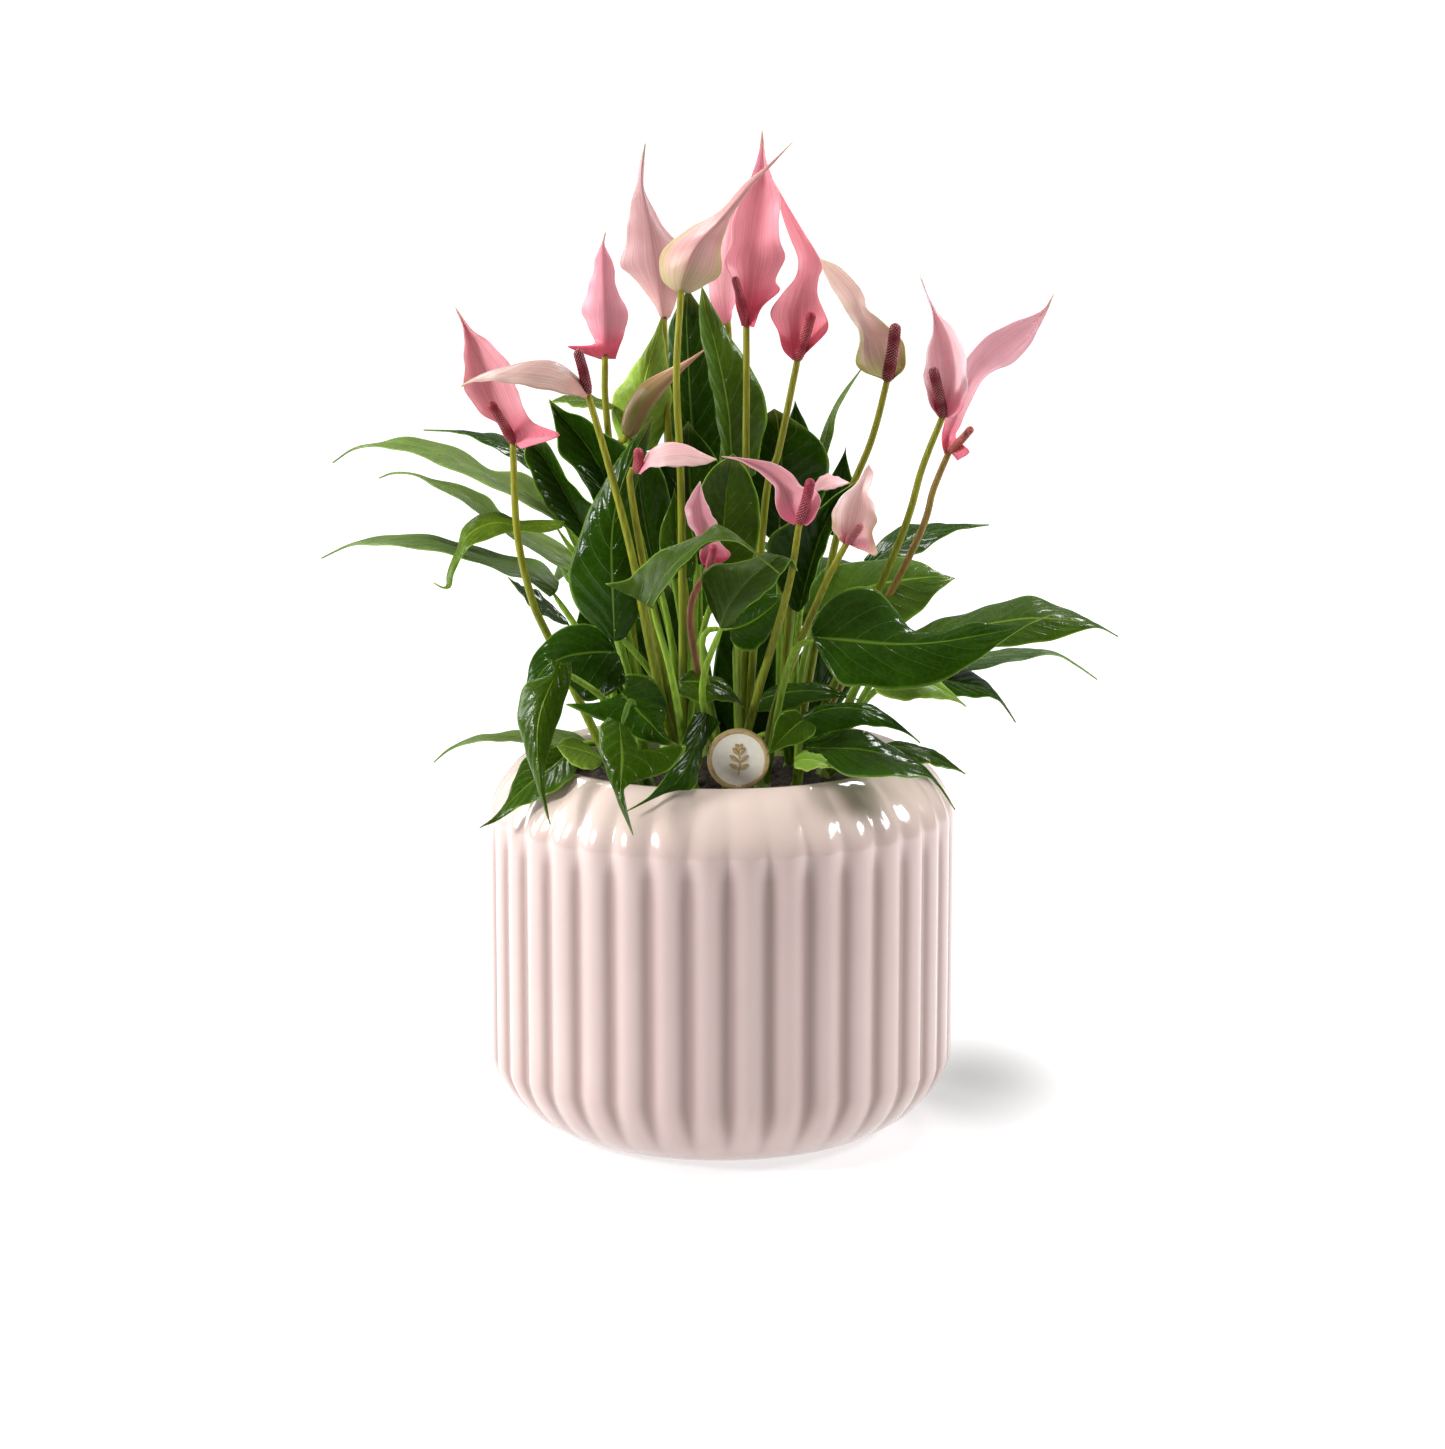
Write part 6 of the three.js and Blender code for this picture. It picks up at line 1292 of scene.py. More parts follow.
def leaf_faces(name, along, out, seed):
    tone, shown = LEAF_LOOKS.get(name, PLAIN_LEAF)
    upper, upper_rough, lower, lower_rough = TONES[tone]
    rng = np.random.default_rng(seed)
    shade = 1 + 0.14 * (rng.random() - 0.5)
    warm = 1 + 0.12 * (rng.random() - 0.5)
    tip = smooth(0.86, 1.0, along)
    faces = []
    for colour, rough, strength in ((upper, upper_rough, 1.0), (lower, lower_rough, 0.45)):
        tint = np.array(colour) * shade * np.array([warm, 1.0, 1.0])
        edge = np.minimum(tint * 2.2 + [0.08, 0.11, 0.015], 0.5)
        field = mix(np.broadcast_to(tint, along.shape + (3,)), tint * 1.5, 0.35 * out ** 2)
        field = mix(field, LEAF_TIP_COLOUR, 0.6 * tip)
        field = mix(field, edge, 0.85 * smooth(0.975, 1.0, out))
        faces.append([field, rough, strength, 1.0])
    return faces, shown


def front_is_outside(points, normals):
    """True where the face on the normals' side is seen from the front."""
    eye = np.array([EYE_ASIDE, -EYE_DISTANCE, EYE_HEIGHT])
    rows, columns, _ = points.shape
    part = (slice(rows // 5, rows * 3 // 5), slice(1, columns - 1))
    towards = unit(eye - points[part])
    return float(np.mean(np.sum(towards * normals[part], axis=-1))) > 0


def add_leaf(pile, name, shape, home, join, places, seed):
    rows, columns = SMALL_LEAF_GRID if shape.length < SMALL_LEAF else LARGE_LEAF_GRID
    points, relief, along, out, v = shape.sheet(rows, columns, LEAF_FRILL, LEAF_QUILT, seed * 1.7)
    faces, shown = leaf_faces(name, along, out, seed)
    outside = front_is_outside(points, sheet_normals(points))
    upper_outside = outside if shown == "upper" else not outside
    front, back = (faces[0], faces[1]) if upper_outside else (faces[1], faces[0])
    front = front[:3] + [1.0 if upper_outside else -1.0]
    add_blade(pile, points, relief, along, v, LEAF_THICKNESS, front, back)
    tints = PETIOLE_LOOKS.get(name, PETIOLE_COLOURS)
    add_tube(pile, stem_places(home, join, places), petiole_radius, 10, 26, tints, 0.38, 1)


def sheath_faces(number, along, out):
    front, back, root, tip = SHEATH_LOOKS[number]
    faces = []
    for colour in (front, back):
        edge = np.minimum(np.array(colour) * [1.05, 1.35, 1.3], 0.85)
        field = np.broadcast_to(np.array(colour), along.shape + (3,))
        field = mix(field, edge, 0.35 * smooth(0.5, 1.0, out))
        field = mix(field, root, 0.9 * (1 - smooth(0.03, 0.3, along)))
        field = mix(field, tip, 0.9 * smooth(0.84, 0.98, along))
        if number in RIM_LOOKS:
            rim = 0.8 * smooth(0.66, 0.95, out) * (1 - smooth(0.28, 0.55, along))
            field = mix(field, RIM_LOOKS[number], rim)
        faces.append([field, 0.36, VEINED.get(number, 1.0), 1.0])
    return faces


def add_sheath(pile, number, seed):
    rows, columns = SHEATH_GRID
    shape = Sheet("F" + number)
    points, relief, along, out, v = shape.sheet(rows, columns, SHEATH_FRILL, SHEATH_QUILT, seed * 2.1)
    faces = sheath_faces(number, along, out)
    outside = front_is_outside(points, sheet_normals(points))
    front, back = (faces[0], faces[1]) if outside else (faces[1], faces[0])
    if number in BACKS_SHOWN:
        front, back = back, front
    add_blade(pile, points, relief * SHEATH_RELIEF, along, v, SHEATH_THICKNESS, front, back)


def add_stalk(pile, number, home, top, places):
    """A flower stalk, set a little into what it carries."""
    path = stem_places(home, top, places)
    path[-1] = path[-1] + unit(path[-1] - path[-2]) * STALK_SINK
    tints = STALK_LOOKS.get(number, STALK_COLOURS)
    add_tube(pile, path, stalk_radius, 12, 44, tints[::-1], 0.36, 1)


def spadix_piece(number, crest, radius, look):
    """A blunt spike with florets in crossing rows, each with a pale middle, and painted shade in the gaps
    between them.
    """
    start = Sheet("F" + number).start
    end = seen(crest)
    start = start + unit(end - start) * SPADIX_LIFT
    sway = (start + end) / 2 + np.array([SPADIX_SWAY, 0, 0])
    length = np.linalg.norm(end - start)
    rings = max(int(length / SPADIX_STEP), 12)
    rows_up = length / FLORET_PITCH
    blunt = 1 - radius / length

    def florets(t, angle):
        turn = angle * FLORETS_AROUND / 2 + math.pi * rows_up * t
        other = angle * FLORETS_AROUND / 2 - math.pi * rows_up * t
        return np.abs(np.sin(turn)) * np.abs(np.sin(other))

    def swell(t, angle):
        cap = math.sqrt(max(0.03, 1 - max(0, (t - blunt) / (1 - blunt)) ** 2))
        beads = 0.84 + 0.24 * florets(t, angle) ** 0.7
        return radius * min(1, 0.78 + 1.6 * t) * (1.06 - 0.12 * t) * cap * beads

    pile = Pile()
    base = SPADIX_LOOKS.get(number, SPADIX_COLOUR)
    add_tube(pile, [start, sway, end], swell, SPADIX_SIDES, rings, [base, base], 0.5, 0)
    t = np.repeat(np.linspace(0, 1, rings), SPADIX_SIDES)
    bead = florets(t, np.tile(full_turn(SPADIX_SIDES), rings))
    tints = mix(np.broadcast_to(base, (len(t), 3)), SPADIX_SPECK, 0.75 * smooth(0.86, 0.99, bead))
    # The gaps between the florets are darkened: painted shade.
    tints = mix(tints, np.array(base) * 0.4, 0.85 * (1 - smooth(0.05, 0.5, bead)))
    pile.tints[0] = np.vstack([tints, tints[0], tints[-1]])
    return pile.build("spadix_fine_" + number, [look])


def finished(piece, node):
    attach(piece, "root")
    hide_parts(node)


def pot_profile():
    """Radius, height and share of the flutes, from under the foot, over the mouth, to the floor inside."""
    rows = [[0.0, 0.0, 0.0], [POT_FOOT_RADIUS - 20, 0.0, 0.0], [POT_FOOT_RADIUS - 0.6, 0.0, 0.0]]
    for degrees in np.linspace(0, 90, FOOT_ROWS):
        t = math.radians(degrees)
        out = math.sin(t) ** (2 / FOOT_CURVE)
        up = 1 - math.cos(t) ** (2 / FOOT_CURVE)
        rows.append([POT_FOOT_RADIUS + (POT_RADIUS - POT_FOOT_RADIUS) * out, POT_FOOT_HEIGHT * up, out * out])
    for height in np.linspace(POT_FOOT_HEIGHT, POT_SHOULDER_START, WALL_ROWS)[1:-1]:
        rows.append([POT_RADIUS, height, 1.0])
    for degrees in np.linspace(0, 90, SHOULDER_ROWS):
        t = math.radians(degrees)
        out = max(math.cos(t), 0) ** (2 / SHOULDER_CURVE)
        up = math.sin(t) ** (2 / SHOULDER_CURVE)
        radius = POT_CREST_RADIUS + (POT_RADIUS - POT_CREST_RADIUS) * out
        height = POT_SHOULDER_START + (POT_HEIGHT - POT_SHOULDER_START) * up
        rows.append([radius, height, 0.45 * min(1, out * 2.5) + 0.55 * out ** 5])
    mouth = POT_HEIGHT - LIP_HEIGHT
    for degrees in (25, 50, 70, 88):
        t = math.radians(degrees)
        inward = (POT_CREST_RADIUS - POT_MOUTH_RADIUS) * math.sin(t)
        rows.append([POT_CREST_RADIUS - inward, mouth + LIP_HEIGHT * math.cos(t), 0.0])
    wide = POT_RADIUS - FLUTE_DEPTH - POT_WALL
    rows += [[POT_MOUTH_RADIUS, mouth - 2, 0.0], [POT_MOUTH_RADIUS, SOIL_EDGE, 0.0]]
    rows += [[wide, POT_SHOULDER_START - 12, 0.0], [wide, POT_FOOT_HEIGHT + 4, 0.0]]
    rows += [[wide - CAVITY_SLOPE, POT_FLOOR, 0.0], [0.0, POT_FLOOR, 0.0]]
    return np.array(rows)


def make_pot(look):
    inner = pot_profile()[1:-1]
    height, fluted = inner[:, 1:2], inner[:, 2:3]
    rings = len(inner)
    sides = FLUTES * FLUTE_SAMPLES
    angle = full_turn(sides)
    swell = np.sin((angle - FLUTE_TURN) * FLUTES / 2) ** 2
    swell = np.sqrt(swell + FLUTE_ROUNDING) / math.sqrt(1 + FLUTE_ROUNDING)
    radius = inner[:, 0:1] - FLUTE_DEPTH * fluted * (1 - swell[None, :])
    points = np.vstack([on_rings(angle, radius, height).reshape(-1, 3), [0, 0, 0], [0, 0, POT_FLOOR]])
    end = rings * sides
    foot = fan_faces(end, 0, sides, True)
    floor = fan_faces(end + 1, end - sides, sides, False)
    # Darker deep in each groove: pooled glaze deepened by painted shade, carried in the veins layer.
    fade = 1 - 0.88 * smooth(GROOVE_SHADE_FADE[0], GROOVE_SHADE_FADE[1], height)
    pooled_and_shaded = np.append(((1 - swell[None, :]) * fluted * fade).ravel(), [0, 0])
    around = np.append(np.tile(angle / (2 * math.pi), rings), [0, 0])
    coords = np.stack([around, points[:, 2] / POT_HEIGHT], 1)
    pile = Pile()
    faces = np.vstack([band_faces(rings, sides), foot, floor])
    pile.add(points, faces, POT_TINT, 0.12, pooled_and_shaded, coords, 0)
    finished(pile.build("pot_fine", [look]), "pot")


def bumps(x, y, scale, seed):
    """Waves in all directions, added up."""
    rng = np.random.default_rng(seed)
    total = np.zeros_like(x)
    for _ in range(26):
        turn = rng.random() * 2 * math.pi
        wave = scale * (0.5 + rng.random())
        shift = rng.random() * 6.28
        total += np.sin((x * math.cos(turn) + y * math.sin(turn)) * wave + shift)
    return total / 5


def make_soil(look):
    rings, sides = SOIL_GRID
    angle = full_turn(sides)
    radius = np.linspace(0.5, POT_MOUTH_RADIUS - 0.6, rings)
    grid_r, grid_a = np.meshgrid(radius, angle, indexing="ij")
    x = np.sin(grid_a) * grid_r
    y = -np.cos(grid_a) * grid_r
    share = grid_r / POT_MOUTH_RADIUS
    mound = SOIL_CENTRE - (SOIL_CENTRE - SOIL_EDGE - 0.6) * share ** 2
    crumb = 0.7 * bumps(x, y, 0.9, 5) + 0.5 * bumps(x, y, 2.2, 6) + 0.9 * np.abs(bumps(x, y, 0.35, 7))
    z = mound + np.clip(crumb, -1.2, 2.2) * (1 - smooth(0.93, 1.0, share))
    wide = POT_RADIUS - FLUTE_DEPTH - POT_WALL - 0.8
    floor = POT_FLOOR + 0.6
    parts = [np.stack([x, y, z], -1).reshape(-1, 3)]
    lower = ((wide, POT_SHOULDER_START - 12.5), (wide, POT_FOOT_HEIGHT + 4), (wide - CAVITY_SLOPE, floor))
    for reach, height in lower:
        parts.append(on_rings(angle, reach, height))
    points = np.vstack(parts + [[[0, 0, SOIL_CENTRE]], [[0, 0, floor]]])
    total = rings + len(lower)
    end = total * sides
    cap = fan_faces(end, 0, sides, False)
    under = fan_faces(end + 1, end - sides, sides, True)
    faces = np.vstack([band_faces(total, sides)[:, ::-1], cap, under])
    pile = Pile()
    pile.add(points, faces, SOIL_TINT, 0.9, 0.0, points[:, :2] / 200 + 0.5, 0)
    finished(pile.build("soil_fine", [look]), "soil")


def pick_radius(t, angle):
    return 0.62 + 0.98 * np.abs(np.sin(angle))


def sprig_stem_radius(t, angle):
    return 0.32


def sprig_leaf_radius(t, angle):
    return 0.12 + 0.85 * math.sin(math.pi * t) ** 0.8 * (0.25 + 0.75 * np.abs(np.sin(angle)))


def make_tag(cream, gold):
    centre = seen(TAG_CENTRE)
    angle = full_turn(TAG_SIDES)
    half = TAG_THICKNESS / 2
    inside = TAG_RADIUS - TAG_RIM
    profile = [
        [0.3, -half + 0.4, 0], [inside - 0.5, -half + 0.4, 0],
        [inside - 0.2, -half + 0.3, 1], [inside, -half, 1],
        [TAG_RADIUS - 0.3, -half, 1], [TAG_RADIUS, -half + 0.3, 1],
        [TAG_RADIUS, half - 0.3, 1], [TAG_RADIUS - 0.3, half, 1], [0.3, half, 0],
    ]
    parts = []
    for r, depth, _ in profile:
        x = np.cos(angle) * r + centre[0]
        z = np.sin(angle) * r + centre[2]
        parts.append(np.stack([x, np.full(TAG_SIDES, centre[1] + depth), z], 1))
    rings = len(profile)
    faces = band_faces(rings, TAG_SIDES)
    pile = Pile()
    for i in range(rings - 1):
        golden = profile[i][2] + profile[i + 1][2] >= 1 and i < rings - 2
        pile.add_faces(faces[i * TAG_SIDES:(i + 1) * TAG_SIDES], 1 if golden else 0)
    front = [centre[0], centre[1] - half + 0.4, centre[2]]
    back = [centre[0], centre[1] + half, centre[2]]
    points = np.vstack(parts + [front, back])
    end = rings * TAG_SIDES
    caps = [fan_faces(end, 0, TAG_SIDES, True), fan_faces(end + 1, end - TAG_SIDES, TAG_SIDES, False)]
    coords = np.stack([(points[:, k] - centre[k]) / 30 + 0.5 for k in (0, 2)], 1)
    pile.add(points, np.vstack(caps), TAG_TINT, 0.4, 0.0, coords, 0)
    add_sprig(pile, centre, half)
    foot = np.array([centre[0], centre[1] + 0.1, PICK_BOTTOM])
    head = np.array([centre[0], centre[1] + 0.1, centre[2] - TAG_RADIUS + 2])
    add_tube(pile, [foot, (foot + head) / 2, head], pick_radius, 16, 8, [TAG_TINT] * 2, 0.4, 0)
    finished(pile.build("tag_fine", [cream, gold]), "tag")


def add_sprig(pile, centre, half):
    """A small raised sprig with leaves in pairs, in the middle of the tag."""
    face = centre[1] - half + 0.35
    stem = [[0, -6.5], [0.6, -1], [0, 6.5]]
    path = [np.array([centre[0] + x, face, centre[2] + z]) for x, z in stem]
    add_tube(pile, path, sprig_stem_radius, 8, 20, [SPRIG_TINT] * 2, 0.35, 1)
    for height, reach, lean in SPRIG_LEAVES:
        for side in (-1, 1):
            start = np.array([centre[0] + 0.3, face, centre[2] + height])
            end = start + np.array([side * reach * math.cos(lean), 0, reach * math.sin(lean)])
            places = [start, (start + end) / 2, end]
            add_tube(pile, places, sprig_leaf_radius, 12, 12, [SPRIG_TINT] * 2, 0.35, 1)


def new_material(name):
    material = bpy.data.materials.new(name)
    material.use_nodes = True
    tree = material.node_tree
    return material, tree, tree.nodes["Principled BSDF"]


def node(tree, kind, **settings):
    made = tree.nodes.new(kind)
    for key, value in settings.items():
        setattr(made, key, value)
    return made


def set_sockets(made, values):
    for name, value in values.items():
        made.inputs[name].default_value = value


def attribute(tree, name):
    return node(tree, "ShaderNodeAttribute", attribute_name=name)


def ramp(tree, value, low, high, out_low=0.0, out_high=1.0):
    made = node(tree, "ShaderNodeMapRange", interpolation_type="SMOOTHSTEP")
    set_sockets(made, {"From Min": low, "From Max": high, "To Min": out_low, "To Max": out_high})
    tree.links.new(value, made.inputs["Value"])
    return made.outputs["Result"]


def maths(tree, operation, first, second=None):
    made = node(tree, "ShaderNodeMath", operation=operation)
    for socket, value in zip(made.inputs, (first, second)):
        if value is None:
            continue
        if isinstance(value, (int, float)):
            socket.default_value = value
        else:
            tree.links.new(value, socket)
    return made.outputs[0]


def blend_colour(tree, share, one, other):
    made = node(tree, "ShaderNodeMix", data_type="RGBA", blend_type="MIX")
    for socket, value in ((made.inputs[0], share), (made.inputs[6], one), (made.inputs[7], other)):
        if isinstance(value, (list, tuple)):
            socket.default_value = list(value) + [1.0]
        else:
            tree.links.new(value, socket)
    return made.outputs[2]


def noise(tree, scale, detail=3.0, roughness=0.55):
    place = node(tree, "ShaderNodeTexCoord")
    made = node(tree, "ShaderNodeTexNoise")
    set_sockets(made, {"Scale": scale, "Detail": detail, "Roughness": roughness})
    tree.links.new(place.outputs["Object"], made.inputs["Vector"])
    return made.outputs["Fac"]


def uneven(tree, field, low=0.0, high=1.0):
    """A noise field spread between two levels."""
    return ramp(tree, field, 0.3, 0.7, low, high)


def bump(tree, shader, height, distance, strength):
    made = node(tree, "ShaderNodeBump")
    set_sockets(made, {"Strength": strength, "Distance": distance})
    tree.links.new(height, made.inputs["Height"])
    tree.links.new(made.outputs["Normal"], shader.inputs["Normal"])


def tinted(tree, tint, shade):
    """The piece's own tint, lighter and darker by the shade."""
    made = node(tree, "ShaderNodeVectorMath", operation="SCALE")
    tree.links.new(tint, made.inputs[0])
    tree.links.new(shade, made.inputs["Scale"])
    return made.outputs[0]


def piece_map(tree):
    return node(tree, "ShaderNodeUVMap", uv_map="blade").outputs["UV"]


def map_fields(tree):
    """Places across and along, from the piece's own map."""
    split = node(tree, "ShaderNodeSeparateXYZ")
    tree.links.new(piece_map(tree), split.inputs[0])
    return split.outputs[0], split.outputs[1]


def blade_fields(tree):
    """How far out from the midrib and how far along, from the blade's own map."""
    aside, along = map_fields(tree)
    signed = maths(tree, "SUBTRACT", maths(tree, "MULTIPLY", aside, 2.0), 1.0)
    return maths(tree, "ABSOLUTE", signed), along


def line_mask(tree, phase, width):
    part = maths(tree, "FRACT", phase)
    away = maths(tree, "ABSOLUTE", maths(tree, "SUBTRACT", part, 0.5))
    return ramp(tree, away, 0.0, width, 1.0, 0.0)


def leaf_material():
    material, tree, shader = new_material("leaf_look")
    tint = attribute(tree, "tint").outputs["Color"]
    rough = attribute(tree, "rough").outputs["Fac"]
    strength = attribute(tree, "veins").outputs["Fac"]
    out, along = blade_fields(tree)
    bent = maths(tree, "MULTIPLY", maths(tree, "POWER", out, 1.15), VEIN_SLANT)
    slant = maths(tree, "SUBTRACT", along, bent)
    side = line_mask(tree, maths(tree, "MULTIPLY", slant, float(VEINS_ALONG)), 0.05)
    inner = maths(tree, "MULTIPLY", side, ramp(tree, out, 0.55, 0.98, 1.0, 0.0))
    rib = ramp(tree, out, 0.0, 0.07, 1.0, 0.0)
    net = node(tree, "ShaderNodeTexVoronoi", feature="DISTANCE_TO_EDGE")
    set_sockets(net, {"Scale": 260.0})
    place = node(tree, "ShaderNodeTexCoord")
    tree.links.new(place.outputs["Object"], net.inputs["Vector"])
    mesh = ramp(tree, net.outputs["Distance"], 0.0, 0.12, 1.0, 0.0)
    lines = maths(tree, "MAXIMUM", maths(tree, "MULTIPLY", inner, 0.3), rib)
    share = maths(tree, "MULTIPLY", lines, strength)
    mottle = uneven(tree, noise(tree, 55.0), 0.82, 1.18)
    fine = uneven(tree, noise(tree, 420.0), 0.94, 1.06)
    base = tinted(tree, tint, maths(tree, "MULTIPLY", mottle, fine))
    light = node(tree, "ShaderNodeVectorMath", operation="MULTIPLY_ADD")
    tree.links.new(tint, light.inputs[0])
    light.inputs[1].default_value = (2.6, 2.2, 1.6)
    light.inputs[2].default_value = (0.05, 0.075, 0.01)
    colour = blend_colour(tree, share, base, light.outputs[0])
    colour = blend_colour(tree, maths(tree, "MULTIPLY", mesh, 0.07), colour, light.outputs[0])
    tree.links.new(colour, shader.inputs["Base Color"])
    patches = uneven(tree, noise(tree, 160.0), 0.85, 1.2)
    tree.links.new(maths(tree, "MULTIPLY", rough, patches), shader.inputs["Roughness"])
    swells = maths(tree, "MULTIPLY", noise(tree, 90.0), 0.2)
    height = maths(tree, "SUBTRACT", swells, maths(tree, "MULTIPLY", lines, 0.8))
    height = maths(tree, "SUBTRACT", height, maths(tree, "MULTIPLY", mesh, 0.04))
    bump(tree, shader, height, 0.0009, 0.7)
    set_sockets(shader, {
        "Subsurface Weight": 0.12,
        "Subsurface Radius": (0.4, 1.0, 0.2),
        "Subsurface Scale": 0.0015,
        "Specular IOR Level": 0.13,
    })
    return material


def stem_material():
    material, tree, shader = new_material("stem_look")
    place = node(tree, "ShaderNodeTexCoord")
    stretch = node(tree, "ShaderNodeMapping")
    set_sockets(stretch, {"Scale": (900.0, 900.0, 60.0)})
    streak = node(tree, "ShaderNodeTexNoise")
    set_sockets(streak, {"Scale": 1.0})
    tree.links.new(place.outputs["Object"], stretch.inputs["Vector"])
    tree.links.new(stretch.outputs["Vector"], streak.inputs["Vector"])
    shade = uneven(tree, streak.outputs["Fac"], 0.8, 1.2)
    colour = tinted(tree, attribute(tree, "tint").outputs["Color"], shade)
    tree.links.new(colour, shader.inputs["Base Color"])
    bump(tree, shader, streak.outputs["Fac"], 0.0002, 0.5)
    set_sockets(shader, {
        "Roughness": 0.42,
        "Specular IOR Level": 0.16,
        "Subsurface Weight": 0.15,
        "Subsurface Radius": (0.6, 1.0, 0.2),
        "Subsurface Scale": 0.0015,
    })
    return material


def spathe_material():
    """Faint veins along the blade. The bump fades out before the tip, where it would show as grain."""
    material, tree, shader = new_material("spathe_look")
    tint = attribute(tree, "tint").outputs["Color"]
    out, along = blade_fields(tree)
    lines = line_mask(tree, maths(tree, "MULTIPLY", out, 4.0), 0.1)
    fine = line_mask(tree, maths(tree, "MULTIPLY", out, 13.0), 0.3)
    rib = ramp(tree, out, 0.0, 0.05, 1.0, 0.0)
    veins = maths(tree, "MAXIMUM", rib, maths(tree, "MULTIPLY", lines, 0.6))
    streak = node(tree, "ShaderNodeTexNoise")
    set_sockets(streak, {"Scale": 1.0, "Detail": 3.0})
    stretch = node(tree, "ShaderNodeMapping")
    set_sockets(stretch, {"Scale": (34.0, 1.6, 1.0)})
    tree.links.new(piece_map(tree), stretch.inputs["Vector"])
    tree.links.new(stretch.outputs["Vector"], streak.inputs["Vector"])
    broad = uneven(tree, noise(tree, 45.0), 0.94, 1.06)
    mottle = maths(tree, "MULTIPLY", broad, uneven(tree, streak.outputs["Fac"], 0.86, 1.12))
    base = tinted(tree, tint, mottle)
    deep = node(tree, "ShaderNodeVectorMath", operation="MULTIPLY")
    tree.links.new(tint, deep.inputs[0])
    deep.inputs[1].default_value = (0.9, 0.68, 0.72)
    strength = maths(tree, "MULTIPLY", attribute(tree, "veins").outputs["Fac"], 0.5)
    colour = blend_colour(tree, maths(tree, "MULTIPLY", veins, strength), base, deep.outputs[0])
    colour = blend_colour(tree, maths(tree, "MULTIPLY", fine, 0.22), colour, deep.outputs[0])
    tree.links.new(colour, shader.inputs["Base Color"])
    height = maths(tree, "SUBTRACT", noise(tree, 120.0), maths(tree, "MULTIPLY", veins, 0.8))
    height = maths(tree, "SUBTRACT", height, maths(tree, "MULTIPLY", fine, 0.25))
    height = maths(tree, "MULTIPLY", height, ramp(tree, along, 0.4, 0.75, 1.0, 0.0))
    bump(tree, shader, height, 0.0002, 0.3)
    set_sockets(shader, {
        "Roughness": 0.38,
        "Specular IOR Level": 0.3,
        "Subsurface Weight": 0.25,
        "Subsurface Radius": (1.0, 0.4, 0.35),
        "Subsurface Scale": 0.002,
    })
    return material


def spadix_material():
    material, tree, shader = new_material("spadix_look")
    shade = uneven(tree, noise(tree, 900.0), 0.75, 1.3)
    colour = tinted(tree, attribute(tree, "tint").outputs["Color"], shade)
    tree.links.new(colour, shader.inputs["Base Color"])
    bump(tree, shader, noise(tree, 1500.0), 0.0002, 0.6)
    set_sockets(shader, {"Roughness": 0.45, "Specular IOR Level": 0.22})
    return material


def pot_material():
    material, tree, shader = new_material("pot_look")
    pooled_and_shaded = attribute(tree, "veins").outputs["Fac"]
    cloud = uneven(tree, noise(tree, 14.0, 2.0))
    _, height = map_fields(tree)
    colour = blend_colour(tree, cloud, GLAZE_COLOURS[0], GLAZE_COLOURS[1])
    # The shoulder is made lighter towards the top: painted light from above.
    colour = blend_colour(tree, ramp(tree, height, 0.82, 0.93), colour, SHOULDER_PAINTED_LIGHT)
    # Darker in the grooves: pooled glaze, deepened by painted shade.
    colour = blend_colour(tree, ramp(tree, pooled_and_shaded, 0.05, 0.8, 0.0, 0.85), colour, GLAZE_GROOVE_AND_SHADE)
    tree.links.new(colour, shader.inputs["Base Color"])
    bump(tree, shader, noise(tree, 35.0, 2.0), 0.0004, 0.35)
    set_sockets(shader, {
        "Roughness": 0.16,
        "Coat Weight": 0.5,
        "Coat Roughness": 0.05,
        "Subsurface Weight": 0.05,
        "Subsurface Radius": (1.0, 0.6, 0.5),
        "Subsurface Scale": 0.003,
    })
    return material


def soil_material():
    material, tree, shader = new_material("soil_look")
    coarse = ramp(tree, noise(tree, 260.0, 6.0, 0.7), 0.35, 0.65)
    colour = blend_colour(tree, coarse, SOIL_COLOURS[0], SOIL_COLOURS[1])
    tree.links.new(colour, shader.inputs["Base Color"])
    bump(tree, shader, noise(tree, 500.0, 6.0, 0.7), 0.0012, 1.0)
    set_sockets(shader, {"Roughness": 0.92})
    return material


def tag_material(name, scale, colours, sockets):
    material, tree, shader = new_material(name)
    colour = blend_colour(tree, uneven(tree, noise(tree, scale)), colours[0], colours[1])
    tree.links.new(colour, shader.inputs["Base Color"])
    bump(tree, shader, noise(tree, 900.0), 0.0001, 0.4)
    set_sockets(shader, sockets)
    return material


